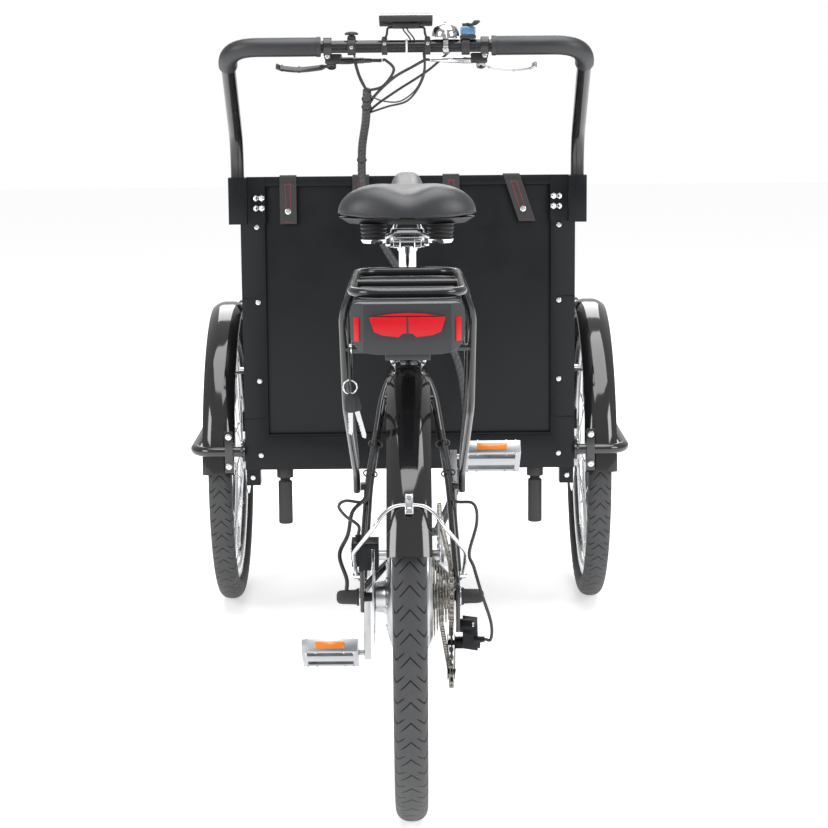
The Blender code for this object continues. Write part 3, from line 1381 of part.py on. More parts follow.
def strap(x_top, x_end, drop, inner_drop):
    """A webbing strap laid over the rear top rail: its outer leg may slant from x_top to x_end."""
    half = STRAP_WIDTH / 2
    y_out = BOX_REAR - FIT
    y_in = rear_in + FIT
    top = BOX_TOP_REAR + FIT
    z_end = BOX_TOP_REAR - drop
    outer = prism(
        [(x_top - half, top), (x_top + half, top), (x_end + half, z_end), (x_end - half, z_end)],
        "Y",
        y_out - STRAP_THICKNESS,
        y_out,
    )
    x0, x1 = x_top - half, x_top + half
    rear, front = y_out - STRAP_THICKNESS, y_in + STRAP_THICKNESS
    over = box((x0, rear, top - 0.0001), (x1, front, top + STRAP_THICKNESS))
    inner = box((x0, y_in, BOX_TOP_REAR - inner_drop), (x1, front, top + 0.0005))
    return fuse(over, outer, inner)


for name, spot in (
    ("strap_left", (-STRAP_X, -STRAP_X, 0.090, 0.160)),
    ("strap_right", (STRAP_X - 0.030, STRAP_X, 0.088, 0.160)),
):
    finish(strap(*spot), name, (0.018, 0.017, 0.018), 0.8, 0.0, PIVOT)

# Front fenders and wheel guards

for side, hand in ((-1, "left"), (1, "right")):
    centre = Vector((side * TRACK / 2, WHEELBASE, FRONT_RADIUS))
    guard_path = rounded(
        [
            (side * (BOX_HALF_WIDTH + FIT), BOX_REAR, GUARD_Z),
            (side * GUARD_X, BOX_REAR, GUARD_Z),
            (side * GUARD_X, GUARD_FRONT, GUARD_Z),
            (side * (BOX_HALF_WIDTH + FIT), GUARD_FRONT, GUARD_Z),
        ],
        0.045,
        4,
    )
    guard = sweep(guard_path, GUARD_RADIUS, 8, (0, 0, 1))
    flange_in, flange_out = BOX_HALF_WIDTH + FIT, BOX_HALF_WIDTH + 0.008
    low, high = GUARD_Z - 0.02, GUARD_Z + 0.02
    rear_flange = side_box(side, flange_in, flange_out, BOX_REAR, BOX_REAR + 0.030, low, high)
    front_flange = side_box(
        side, flange_in, flange_out, GUARD_FRONT - 0.050, GUARD_FRONT + 0.012, low, high
    )
    vee = prism(
        [
            (WHEELBASE - 0.100, GUARD_Z + 0.004),
            (WHEELBASE - 0.082, GUARD_Z + 0.004),
            (WHEELBASE, FRONT_RADIUS + 0.022),
            (WHEELBASE + 0.082, GUARD_Z + 0.004),
            (WHEELBASE + 0.100, GUARD_Z + 0.004),
            (WHEELBASE + 0.015, FRONT_RADIUS - 0.016),
            (WHEELBASE - 0.015, FRONT_RADIUS - 0.016),
        ],
        "X",
        *sorted((side * (GUARD_X - 0.003), side * (GUARD_X + 0.003))),
    )
    fuse(guard, rear_flange, front_flange, vee)
    hole_in, hole_out = (Vector((side * (GUARD_X + past), *centre.yz)) for past in (-0.02, 0.02))
    cut(guard, rod(hole_in, hole_out, 0.006 + FIT, 16))
    finish(guard, f"wheel_guard_{hand}", BLACK_GLOSS, 0.12, 0.0, PIVOT)

    angles = spread([radians(28), radians(176.5)], (15,))
    shell = fender(centre, FRONT_FENDER_RADIUS, FRONT_FENDER_WIDTH, FENDER_THICKNESS, FENDER_CROWN, angles)
    tab_radius = FRONT_FENDER_RADIUS - FENDER_CROWN - 0.005
    inner_edge = TRACK / 2 - FRONT_FENDER_WIDTH / 2
    for angle in (radians(42.5), radians(137.5)):
        y = WHEELBASE + tab_radius * cos(angle)
        z = FRONT_RADIUS + tab_radius * sin(angle)
        tab = side_box(side, flange_in, inner_edge + 0.0015, y - 0.009, y + 0.009, z - 0.0015, z + 0.0015)
        fuse(shell, tab)
    grip_x = TRACK / 2 - 0.024
    back = BOX_REAR - GUARD_RADIUS - FIT
    fuse(shell, side_box(side, grip_x - 0.008, grip_x + 0.008, back - 0.003, back, 0.328, 0.410))
    for z in (0.342, 0.400):
        across = WHEELBASE - sqrt((FRONT_FENDER_RADIUS - 0.006) ** 2 - (z - FRONT_RADIUS) ** 2)
        fuse(shell, rod((side * grip_x, back - 0.001, z), (side * grip_x, across, z), 0.003, 6))
    finish(shell, f"front_fender_{hand}", BLACK_GLOSS, 0.08, 0.0, PIVOT)

# Handlebar, grips and what is clamped on it

bar_points = [
    Vector((-POLE_X, POLE_Y, POLE_BOTTOM)),
    Vector((-POLE_X, POLE_Y, BOX_TOP_REAR + 0.062)),
    Vector((-BAR_HALF_WIDTH, BAR_Y, BAR_Z)),
    Vector((-GRIP_START - 0.004, BAR_Y, BAR_Z)),
    Vector((-GRIP_START + 0.002, BAR_Y, BAR_Z)),
]
half_path = rounded(bar_points[:4], 0.055, 4)
half_path.append(bar_points[4])
full_path = half_path + [Vector((-p.x, p.y, p.z)) for p in reversed(half_path)]
narrow = BAR_RADIUS / POLE_RADIUS
swell = [1.0] * (len(half_path) - 1) + [narrow, narrow] + [1.0] * (len(half_path) - 1)
pole_way = (bar_points[1] - bar_points[2]).normalized()
BEND_UP = Vector((1, 0, 0)).cross(pole_way).normalized()
middle = len(half_path) - 1
bar = sweep(full_path, POLE_RADIUS, 12, BEND_UP, anchor=middle, swell=swell)
finish(bar, "handlebar", BLACK_SATIN, 0.35, 0.0, PIVOT)

grip_path = [p for p in half_path if p.z > 1.10]
lowest = grip_path[0]
grip_path = [lowest + pole_way * 0.004, *grip_path]
for side, hand in ((-1, "left"), (1, "right")):
    path = [Vector((-side * p.x, p.y, p.z)) for p in grip_path[:-1]]
    path.reverse()
    path[0].x = side * (GRIP_START + 0.001)
    outer = sweep(path, GRIP_RADIUS, 12, BEND_UP)
    past_end = path[-1] + (path[-1] - path[-2]).normalized() * 0.01
    long_path = [path[0] + Vector((-side * 0.01, 0, 0)), *path[1:-1], past_end]
    hole = sweep(long_path, POLE_RADIUS + FIT, 12, BEND_UP)
    finish(cut(outer, hole), f"grip_{hand}", BLACK_RUBBER, 0.7, 0.0, PIVOT)


def clamp_ring(x, width, outer, segments=10):
    """A ring around the thin middle of the bar."""
    inner = BAR_RADIUS / cos(pi / segments) + 0.0001
    return turned(
        [(-width / 2, inner), (-width / 2, outer), (width / 2, outer), (width / 2, inner)],
        (x, BAR_Y, BAR_Z),
        "X",
        segments,
    )


LEVER_AXIS = Vector((0, 0.578, 0.816))
lever_pivots = {}
for side, hand in ((-1, "left"), (1, "right")):
    pivot = Vector((side * 0.132, BAR_Y + 0.042, BAR_Z - 0.032))
    lever_pivots[hand] = pivot
    ring = clamp_ring(side * 0.137, 0.014, 0.0165)
    arm = side_box(side, 0.113, 0.142, BAR_Y + 0.004, BAR_Y + 0.0315, BAR_Z - 0.030, BAR_Z - 0.0122)
    brow = side_box(side, 0.122, 0.142, BAR_Y + 0.028, BAR_Y + 0.049, BAR_Z - 0.0230, BAR_Z - 0.0130)
    post = rod(pivot + LEVER_AXIS * 0.0043, pivot + LEVER_AXIS * 0.0165, 0.009, 10)
    pin = rod(pivot - LEVER_AXIS * 0.0055, pivot + LEVER_AXIS * 0.006, 0.0028, 8)
    cable_at = (BAR_Y + 0.024, BAR_Z - 0.024)
    adjuster = rod((side * 0.116, *cable_at), (side * 0.062, *cable_at), 0.0055, 8)
    ferrule = rod((side * 0.064, *cable_at), (side * 0.042, *cable_at), 0.0035, 8)
    fuse(ring, arm, brow, post, pin, adjuster, ferrule)
    finish(ring, f"lever_bracket_{hand}", BLACK_SATIN, 0.35, 0.0, PIVOT)
    boss = rod(pivot - LEVER_AXIS * 0.0040, pivot + LEVER_AXIS * 0.0040, 0.0085, 12)
    blade = [
        pivot + Vector((0, 0, 0)),
        pivot + Vector((side * 0.024, 0.006, -0.0042)),
        pivot + Vector((side * 0.058, 0.010, -0.0071)),
        pivot + Vector((side * 0.088, 0.006, -0.0042)),
        pivot + Vector((side * 0.097, 0.002, -0.0014)),
    ]
    lever = sweep(blade, 0.0048, 6, LEVER_AXIS, swell=[0.8, 1.0, 1.05, 1.1, 0.8])
    fuse(boss, lever)
    cut(boss, rod(pivot - LEVER_AXIS * 0.02, pivot + LEVER_AXIS * 0.02, 0.0028 + FIT, 8))
    finish(boss, f"brake_lever_{hand}", SILVER if side > 0 else BLACK_SATIN, 0.3, float(side > 0), pivot)

DISPLAY_X = 0.0375
display = box((-0.047, -0.021, -0.007), (0.047, 0.021, 0.007))
bm = bmesh.new()
bm.from_mesh(display.data)
bmesh.ops.transform(
    bm, verts=bm.verts, matrix=Matrix.Translation((0, BAR_Y, 1.184)) @ Matrix.Rotation(radians(-12), 4, "X")
)
bpy.data.objects.remove(display, do_unlink=True)
display = keep(bm)
fuse(
    display,
    box((-0.021, BAR_Y - 0.012, 1.1570), (0.021, BAR_Y + 0.012, 1.1800)),
    box((-DISPLAY_X - 0.006, BAR_Y - 0.008, 1.1530), (DISPLAY_X + 0.006, BAR_Y + 0.008, 1.1585)),
    clamp_ring(-DISPLAY_X, 0.010, 0.0152),
    clamp_ring(DISPLAY_X, 0.010, 0.0152),
)
finish(display, "display", (0.02, 0.02, 0.022), 0.3, 0.0, PIVOT)

BELL_X = 0.069
bell_low = BAR_Z + 0.0155
dome = turned(
    [
        (0.0040, 0.0225),
        (0.0040, 0.0240),
        (0.0125, 0.0222),
        (0.0200, 0.0155),
        (0.0238, 0.0010),
        (0.0224, 0.0010),
        (0.0188, 0.0145),
        (0.0120, 0.0205),
    ],
    (BELL_X, BAR_Y, bell_low),
    "Z",
    12,
)
bell_base = rod((BELL_X, BAR_Y, bell_low), (BELL_X, BAR_Y, bell_low + 0.0025), 0.0195, 12)
bell_post = rod((BELL_X, BAR_Y, bell_low + 0.001), (BELL_X, BAR_Y, bell_low + 0.0232), 0.0028, 8)
bell_foot = box(
    (BELL_X - 0.005, BAR_Y - 0.006, BAR_Z + 0.0125), (BELL_X + 0.005, BAR_Y + 0.006, bell_low + 0.001)
)
striker_at = Vector((BELL_X + 0.0165, BAR_Y, 0))
bell_pin = rod((striker_at.x, BAR_Y, bell_low - 0.0030), (striker_at.x, BAR_Y, bell_low + 0.001), 0.0018, 8)
bell = fuse(clamp_ring(BELL_X, 0.010, 0.0142), bell_foot, bell_base, bell_post, dome, bell_pin)
finish(bell, "bell", CHROME, 0.08, 1.0, PIVOT)
arm_z = bell_low - FIT - 0.0011
knob = Vector((BELL_X, BAR_Y - 0.0285, bell_low + 0.0065))
striker = rod((striker_at.x, BAR_Y, arm_z - 0.0011), (striker_at.x, BAR_Y, arm_z + 0.0011), 0.0040, 10)
arm_end = (knob.x + 0.002, knob.y + 0.001, arm_z)
arm = sweep([(striker_at.x, BAR_Y, arm_z), arm_end], 0.0022, 4, (0, 0, 1), flat=0.45)
stem = rod((knob.x + 0.0015, knob.y, arm_z), knob, 0.0014, 6)
fuse(striker, arm, stem, ball(knob, 0.0031, 8, 6))
hole_low, hole_high = (striker_at.x, BAR_Y, arm_z - 0.01), (striker_at.x, BAR_Y, arm_z + 0.01)
cut(striker, rod(hole_low, hole_high, 0.0018 + FIT, 8))
finish(striker, "bell_striker", CHROME, 0.2, 1.0, (striker_at.x, BAR_Y, arm_z))

SHIFTER_X = 0.108
shifter_top = BAR_Z + 0.0330
shifter = fuse(
    clamp_ring(SHIFTER_X - 0.004, 0.014, 0.0160),
    box((SHIFTER_X - 0.014, BAR_Y - 0.016, BAR_Z + 0.0125), (SHIFTER_X + 0.014, BAR_Y + 0.016, shifter_top)),
)
shift_pin = rod((SHIFTER_X, BAR_Y, shifter_top - 0.002), (SHIFTER_X, BAR_Y, shifter_top + 0.006), 0.003, 8)
finish(fuse(shifter, shift_pin), "shifter_body", (0.03, 0.05, 0.09), 0.3, 0.0, PIVOT)
paddle = rod((SHIFTER_X, BAR_Y, shifter_top + FIT), (SHIFTER_X, BAR_Y, shifter_top + 0.0052), 0.010, 12)
paddle_arm = sweep(
    [
        (SHIFTER_X + 0.002, BAR_Y - 0.004, shifter_top + 0.0028),
        (SHIFTER_X + 0.010, BAR_Y - 0.022, shifter_top + 0.0035),
        (SHIFTER_X + 0.015, BAR_Y - 0.034, shifter_top + 0.0080),
    ],
    0.0055,
    6,
    (0, 0, 1),
    flat=0.40,
)
fuse(paddle, paddle_arm)
hole_low, hole_high = (SHIFTER_X, BAR_Y, shifter_top - 0.01), (SHIFTER_X, BAR_Y, shifter_top + 0.02)
cut(paddle, rod(hole_low, hole_high, 0.003 + FIT, 8))
finish(paddle, "shifter_lever", BLACK_SATIN, 0.4, 0.0, (SHIFTER_X, BAR_Y, shifter_top))

SWITCH_X = -0.095
switch_low, switch_top = BAR_Z + 0.0125, BAR_Z + 0.0185
switch = fuse(
    clamp_ring(SWITCH_X, 0.014, 0.0152),
    rod((SWITCH_X, BAR_Y, switch_low), (SWITCH_X, BAR_Y, switch_top), 0.0100, 12),
)
well_low, well_high = (SWITCH_X, BAR_Y, switch_top - 0.0045), (SWITCH_X, BAR_Y, switch_top + 0.01)
cut(switch, rod(well_low, well_high, 0.0050 / cos(pi / 8) + FIT, 8))
finish(switch, "switch_body", BLACK_SATIN, 0.45, 0.0, PIVOT)
travel = 0.0010
cap = turned(
    [
        (switch_top + travel + FIT, 0.0020),
        (switch_top + travel + FIT, 0.0115),
        (switch_top + travel + 0.0035, 0.0120),
        (switch_top + travel + 0.0060, 0.0075),
        (switch_top + travel + 0.0065, 0.0010),
    ],
    (SWITCH_X, BAR_Y, 0),
    "Z",
    10,
)
plug_low, plug_high = switch_top - 0.0030, switch_top + travel + 0.0063
plug = rod((SWITCH_X, BAR_Y, plug_low), (SWITCH_X, BAR_Y, plug_high), 0.0050, 8)
finish(fuse(plug, cap), "switch_button", BLACK_RUBBER, 0.6, 0.0, (SWITCH_X, BAR_Y, switch_top))

# Harness and cables

beam_at = BB_Z + (0.272 - BB_Z) * (0.645 - BB_Y) / (PIVOT_Y - 0.022 - BB_Y)
GATHER = Vector((-0.070, 0.735, 1.062))
main_run = [
    GATHER,
    Vector((-0.074, 0.800, 1.010)),
    Vector((-0.084, 0.885, 0.945)),
    Vector((-0.080, 0.940, 0.860)),
    Vector((-0.040, 0.950, 0.760)),
    Vector((0.030, 0.940, 0.660)),
    Vector((0.088, 0.915, 0.565)),
    Vector((0.106, 0.870, 0.470)),
    Vector((0.100, 0.800, 0.385)),
    Vector((0.074, 0.725, 0.318)),
    Vector((0.048, 0.645, beam_at)),
]
harness = sweep(flowing(main_run, 2), 0.0075, 8, (1, 0, 0))
harness_end = Vector((BEAM_RADIUS + FIT, 0.645, beam_at))
fuse(harness, rod(main_run[-1] + Vector((0.002, 0, 0)), harness_end, 0.0075, 8))
for route, size in (
    (
        [
            (-0.0417, BAR_Y + 0.024, BAR_Z - 0.024),
            (-0.0360, BAR_Y + 0.024, BAR_Z - 0.024),
            (-0.022, 0.722, 1.098),
            (-0.042, 0.735, 1.070),
            GATHER,
            GATHER + Vector((-0.001, 0.010, -0.008)),
        ],
        0.0025,
    ),
    (
        [
            (0.0417, BAR_Y + 0.024, BAR_Z - 0.024),
            (0.0330, BAR_Y + 0.024, BAR_Z - 0.024),
            (0.012, 0.719, 1.104),
            (-0.022, 0.728, 1.085),
            (-0.055, 0.745, 1.055),
            (-0.072, 0.775, 1.030),
        ],
        0.0025,
    ),
    (
        [
            (0.033, BAR_Y + 0.0155, 1.1285),
            (0.030, 0.724, 1.085),
            (0.004, 0.735, 1.046),
            (-0.034, 0.745, 1.034),
            (-0.070, 0.785, 1.022),
        ],
        0.0018,
    ),
    (
        [
            (SWITCH_X, BAR_Y + 0.0156, 1.1440),
            (SWITCH_X, BAR_Y + 0.0220, 1.1440),
            (-0.092, 0.732, 1.126),
            (-0.084, 0.741, 1.092),
            GATHER,
            GATHER + Vector((-0.001, 0.010, -0.008)),
        ],
        0.0018,
    ),
    (
        [
            (SHIFTER_X - 0.005, BAR_Y + 0.0164, 1.1500),
            (0.088, 0.738, 1.140),
            (0.040, 0.752, 1.098),
            (-0.020, 0.762, 1.060),
            (-0.062, 0.780, 1.030),
            (-0.076, 0.810, 1.004),
        ],
        0.0022,
    ),
):
    fuse(harness, sweep(led(route), size, 6, (0, 0, 1)))
finish(harness, "cable_harness", BLACK_RUBBER, 0.55, 0.0, PIVOT)

stay_gap = STAY_RADIUS + 0.0024 + FIT
stay_side = Vector((0, -sin(SEAT_STAY_ANGLE), cos(SEAT_STAY_ANGLE)))


def beside_stay(side, distance, lift=0.0):
    """A point on a cable that lies along the seat stay's upper rear side."""
    spot = about_rear(side * seat_stay_x(distance), distance, SEAT_STAY_ANGLE)
    return spot + stay_side * (stay_gap + lift)


brake_hose = sweep(
    led(
        [
            beside_stay(-1, 0.290),
            beside_stay(-1, 0.240),
            beside_stay(-1, 0.195, 0.0012),
            beside_stay(-1, 0.160, 0.0020) + Vector((-0.003, 0, 0)),
            Vector((-0.096, 0.070, 0.458)),
            Vector((-0.105, 0.030, 0.458)),
            Vector((-0.094, -0.010, 0.452)),
            Vector((-0.075, -0.022, 0.4400)),
            Vector((-0.075, -0.022, 0.4260 + FIT)),
        ],
        2,
    ),
    0.0024,
    6,
    (1, 0, 0),
)
motor_lead = sweep(
    led(
        [
            beside_stay(-1, 0.285, 0.0014),
            beside_stay(-1, 0.240, 0.0014),
            beside_stay(-1, 0.195, 0.0014),
            beside_stay(-1, 0.165, 0.0034) + Vector((-0.003, 0, 0)),
            Vector((-0.086, 0.075, 0.440)),
            Vector((-0.092, 0.030, 0.415)),
            Vector((-0.104, 0.004, 0.390)),
            Vector((-0.094, 0.000, 0.355)),
            Vector((-0.094, 0.000, REAR_RADIUS + AXLE_CAP_RADIUS + FIT)),
        ],
        2,
    ),
    0.0030,
    6,
    (1, 0, 0),
)
finish(fuse(brake_hose, motor_lead), "rear_cables_left", BLACK_RUBBER, 0.5)

shift_cable = sweep(
    led(
        [
            beside_stay(1, 0.290),
            beside_stay(1, 0.240),
            beside_stay(1, 0.195, 0.0012),
            beside_stay(1, 0.160, 0.0020) + Vector((0.003, 0, 0)),
            Vector((0.096, 0.070, 0.452)),
            Vector((0.100, 0.036, 0.430)),
            Vector((0.088, 0.012, 0.390)),
            Vector((0.094, -0.014, 0.374)),
            Vector((0.105, -0.020, 0.336)),
            Vector((0.119, -0.014, 0.290)),
            Vector((0.119, -0.004, 0.262)),
            Vector((body_x + 0.036 + FIT, -0.004, 0.262)),
        ],
        2,
    ),
    0.0024,
    6,
    (1, 0, 0),
)
finish(shift_cable, "shift_cable", BLACK_RUBBER, 0.5)

# The middle of the length goes to Y 0

bpy.context.view_layer.update()
ys = [(ob.matrix_world @ v.co).y for ob in PIECES for v in ob.data.vertices]
shift = (min(ys) + max(ys)) / 2
for ob in PIECES:
    ob.location.y -= shift
bpy.context.view_layer.update()
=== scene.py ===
import json
from math import asin, atan2, cos, hypot, pi, radians, sin, sqrt

import bmesh
import bpy
from mathutils import Matrix, Vector

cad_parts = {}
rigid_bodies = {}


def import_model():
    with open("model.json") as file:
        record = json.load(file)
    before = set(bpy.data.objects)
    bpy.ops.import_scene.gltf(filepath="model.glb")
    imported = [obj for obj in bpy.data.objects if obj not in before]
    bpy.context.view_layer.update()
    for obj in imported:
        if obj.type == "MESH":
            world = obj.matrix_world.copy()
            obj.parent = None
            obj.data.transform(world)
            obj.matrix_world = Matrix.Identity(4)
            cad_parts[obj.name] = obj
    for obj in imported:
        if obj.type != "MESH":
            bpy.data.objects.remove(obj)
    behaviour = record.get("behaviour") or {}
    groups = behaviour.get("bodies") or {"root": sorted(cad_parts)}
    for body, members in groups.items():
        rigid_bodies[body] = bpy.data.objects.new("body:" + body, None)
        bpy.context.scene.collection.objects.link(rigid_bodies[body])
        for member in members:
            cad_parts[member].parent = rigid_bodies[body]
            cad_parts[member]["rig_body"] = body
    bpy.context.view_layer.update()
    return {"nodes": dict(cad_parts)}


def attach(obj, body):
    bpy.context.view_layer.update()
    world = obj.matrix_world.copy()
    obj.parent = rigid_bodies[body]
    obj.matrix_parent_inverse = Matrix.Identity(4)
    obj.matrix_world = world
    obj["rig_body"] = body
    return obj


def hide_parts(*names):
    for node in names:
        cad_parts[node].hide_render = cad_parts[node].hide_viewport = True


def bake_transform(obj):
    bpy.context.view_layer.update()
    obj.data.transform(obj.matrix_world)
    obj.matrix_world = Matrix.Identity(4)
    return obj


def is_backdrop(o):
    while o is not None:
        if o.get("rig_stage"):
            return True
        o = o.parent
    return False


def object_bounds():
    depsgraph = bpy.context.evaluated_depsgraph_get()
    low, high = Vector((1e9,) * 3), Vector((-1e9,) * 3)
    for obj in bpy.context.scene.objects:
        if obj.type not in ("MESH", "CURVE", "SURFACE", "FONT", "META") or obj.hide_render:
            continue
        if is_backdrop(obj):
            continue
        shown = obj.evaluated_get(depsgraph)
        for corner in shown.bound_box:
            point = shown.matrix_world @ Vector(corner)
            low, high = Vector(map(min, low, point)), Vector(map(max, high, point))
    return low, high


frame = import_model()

# The view. A long lens looks along the tricycle from behind, a little down on it, on a pale studio floor
# with one broad light from above and behind the camera, and a softer one from each side.

camera = bpy.data.objects.new("camera", bpy.data.cameras.new("camera"))
bpy.context.scene.collection.objects.link(camera)
camera.data.lens = 90.12
camera.data.sensor_width = 36.0
camera.data.clip_end = 60.0
CAMERA_PITCH = radians(9.293)
CAMERA_ROLL = radians(0.4805)
CAMERA_TURN = radians(-0.055)
camera.location = (0.00496, -3.7497, 1.0894)
aim = Matrix.Rotation(CAMERA_TURN, 4, "Z") @ Matrix.Rotation(pi / 2 - CAMERA_PITCH, 4, "X")
camera.rotation_euler = (aim @ Matrix.Rotation(-CAMERA_ROLL, 4, "Z")).to_euler()
bpy.context.scene.camera = camera

sky = bpy.data.worlds.new("studio")
bpy.context.scene.world = sky
sky.use_nodes = True
nodes, link = sky.node_tree.nodes, sky.node_tree.links.new
nodes["Background"].inputs["Color"].default_value = (1.0, 1.0, 1.0, 1.0)
nodes["Background"].inputs["Strength"].default_value = 0.50
backdrop = nodes.new("ShaderNodeBackground")
backdrop.inputs["Color"].default_value = (1.0, 1.0, 1.0, 1.0)
backdrop.inputs["Strength"].default_value = 1.0
rays, choice = nodes.new("ShaderNodeLightPath"), nodes.new("ShaderNodeMixShader")
link(rays.outputs["Is Camera Ray"], choice.inputs["Fac"])
link(nodes["Background"].outputs["Background"], choice.inputs[1])
link(backdrop.outputs["Background"], choice.inputs[2])
link(choice.outputs["Shader"], nodes["World Output"].inputs["Surface"])
bpy.context.scene.view_settings.view_transform = "Standard"


def softbox(name, place, target, size, power):
    """A square lamp at a place, turned to its target."""
    lamp = bpy.data.lights.new(name, "AREA")
    lamp.shape = "SQUARE"
    lamp.size = size
    lamp.energy = power
    ob = bpy.data.objects.new(name, lamp)
    ob.location = place
    ob.rotation_euler = (Vector(target) - Vector(place)).to_track_quat("-Z", "Y").to_euler()
    bpy.context.scene.collection.objects.link(ob)


softbox("lamp_above", (0.3, -0.4, 3.8), (0.0, 0.1, 0.4), 3.2, 130.0)
softbox("lamp_left", (-3.0, -2.4, 2.2), (0.0, -0.3, 0.6), 1.6, 55.0)
softbox("lamp_right", (3.0, -2.4, 2.2), (0.0, -0.3, 0.6), 1.6, 55.0)
softbox("lamp_behind", (0.0, 4.6, 3.4), (0.0, 1.2, 0.0), 3.0, 90.0)

bpy.ops.object.select_all(action="DESELECT")
bpy.ops.mesh.primitive_plane_add(size=1.0, location=(0, 2.0, -0.0006))
floor = bpy.context.object
floor.name = "studio_floor"
floor.scale = (30.0, 30.0, 1.0)
bpy.ops.object.transform_apply(location=True, rotation=True, scale=True)
paper = bpy.data.materials.new("floor_paper")
paper.use_nodes = True
paper.node_tree.nodes["Principled BSDF"].inputs["Base Color"].default_value = (0.93, 0.93, 0.93, 1.0)
paper.node_tree.nodes["Principled BSDF"].inputs["Roughness"].default_value = 0.8
paper.node_tree.nodes["Principled BSDF"].inputs["Emission Color"].default_value = (1.0, 1.0, 1.0, 1.0)
paper.node_tree.nodes["Principled BSDF"].inputs["Emission Strength"].default_value = 0.50
floor.data.materials.append(paper)
floor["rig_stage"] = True

# Tyres. A rubber casing with an almost smooth tread: arrow-shaped grooves run round the middle, and short
# slanted ones cut the shoulders between them. The section is moulded, so every groove is in the mesh.

REAR = -0.764
REAR_RADIUS = 0.327
FRONT_RADIUS = 0.300
FRONT_WHEEL_Y = 1.316
FRONT_HALF_TRACK = 0.375
REAR_AXLE = Vector((0.0, REAR, REAR_RADIUS))
FRONT_AXLES = {
    "left": Vector((-FRONT_HALF_TRACK, FRONT_WHEEL_Y + REAR, FRONT_RADIUS)),
    "right": Vector((FRONT_HALF_TRACK, FRONT_WHEEL_Y + REAR, FRONT_RADIUS)),
}
TYRE_HALF_WIDTH = 0.0235
TYRE_HEIGHT = 0.0425
GROOVE_PITCH = 0.032
GROOVE_DEPTH = 0.0022
GROOVE_HALF = 0.0016
TREAD_COLUMNS = 44


def uneven_group():
    """The node group for patches, changing gloss and fine grain."""
    group = bpy.data.node_groups.new("uneven_surface", "ShaderNodeTree")
    for name, kind, value in (
        ("Colour", "NodeSocketColor", (0.5, 0.5, 0.5, 1.0)),
        ("Shade", "NodeSocketFloat", 0.1),
        ("Patch scale", "NodeSocketFloat", 14.0),
        ("Roughness", "NodeSocketFloat", 0.4),
        ("Gloss change", "NodeSocketFloat", 0.1),
        ("Grain scale", "NodeSocketFloat", 900.0),
        ("Grain depth", "NodeSocketFloat", 0.00005),
    ):
        socket = group.interface.new_socket(name, in_out="INPUT", socket_type=kind)
        socket.default_value = value
    for name, kind in (("Colour", "Color"), ("Roughness", "Float"), ("Normal", "Vector")):
        group.interface.new_socket(name, in_out="OUTPUT", socket_type="NodeSocket" + kind)
    nodes, link = group.nodes, group.links.new
    given, made = nodes.new("NodeGroupInput"), nodes.new("NodeGroupOutput")
    place = nodes.new("ShaderNodeTexCoord")
    patches = nodes.new("ShaderNodeTexNoise")
    patches.inputs["Detail"].default_value = 5.0
    patches.inputs["Roughness"].default_value = 0.6
    link(place.outputs["Object"], patches.inputs["Vector"])
    link(given.outputs["Patch scale"], patches.inputs["Scale"])
    swing = nodes.new("ShaderNodeMapRange")
    swing.inputs["From Min"].default_value = 0.3
    swing.inputs["From Max"].default_value = 0.7
    swing.inputs["To Min"].default_value = -1.0
    link(patches.outputs["Fac"], swing.inputs["Value"])
    share = nodes.new("ShaderNodeMath")
    share.operation = "MULTIPLY_ADD"
    share.inputs[2].default_value = 1.0
    link(swing.outputs["Result"], share.inputs[0])
    link(given.outputs["Shade"], share.inputs[1])
    tone = nodes.new("ShaderNodeVectorMath")
    tone.operation = "SCALE"
    link(given.outputs["Colour"], tone.inputs[0])
    link(share.outputs["Value"], tone.inputs["Scale"])
    link(tone.outputs["Vector"], made.inputs["Colour"])
    gloss = nodes.new("ShaderNodeMath")
    gloss.operation = "MULTIPLY_ADD"
    gloss.use_clamp = True
    link(swing.outputs["Result"], gloss.inputs[0])
    link(given.outputs["Gloss change"], gloss.inputs[1])
    link(given.outputs["Roughness"], gloss.inputs[2])
    link(gloss.outputs["Value"], made.inputs["Roughness"])
    grain = nodes.new("ShaderNodeTexNoise")
    grain.inputs["Detail"].default_value = 2.0
    link(place.outputs["Object"], grain.inputs["Vector"])
    link(given.outputs["Grain scale"], grain.inputs["Scale"])
    bump = nodes.new("ShaderNodeBump")
    bump.inputs["Strength"].default_value = 1.0
    link(given.outputs["Grain depth"], bump.inputs["Distance"])
    link(grain.outputs["Fac"], bump.inputs["Height"])
    link(bump.outputs["Normal"], made.inputs["Normal"])
    return group


UNEVEN = uneven_group()


def finish(
    name, colour, roughness, metallic=0.0, shade=0.10, patch=14.0, change=0.05, grain=(900.0, 0.00004), **more
):
    """A material whose colour, gloss and grain vary; more holds other sockets of the shader by name."""
    look = bpy.data.materials.new(name)
    look.use_nodes = True
    shader = look.node_tree.nodes["Principled BSDF"]
    group = look.node_tree.nodes.new("ShaderNodeGroup")
    group.name = "uneven"
    group.node_tree = UNEVEN
    group.inputs["Colour"].default_value = (*colour, 1.0)
    group.inputs["Shade"].default_value = shade
    group.inputs["Patch scale"].default_value = patch
    group.inputs["Roughness"].default_value = roughness
    group.inputs["Gloss change"].default_value = change
    group.inputs["Grain scale"].default_value = grain[0]
    group.inputs["Grain depth"].default_value = grain[1]
    look.node_tree.links.new(group.outputs["Colour"], shader.inputs["Base Color"])
    look.node_tree.links.new(group.outputs["Roughness"], shader.inputs["Roughness"])
    look.node_tree.links.new(group.outputs["Normal"], shader.inputs["Normal"])
    shader.inputs["Metallic"].default_value = metallic
    for socket, value in more.items():
        shader.inputs[socket.replace("_", " ")].default_value = value
    return look


def pick(ob):
    """Makes this the only selected object."""
    bpy.ops.object.select_all(action="DESELECT")
    ob.select_set(True)
    bpy.context.view_layer.objects.active = ob


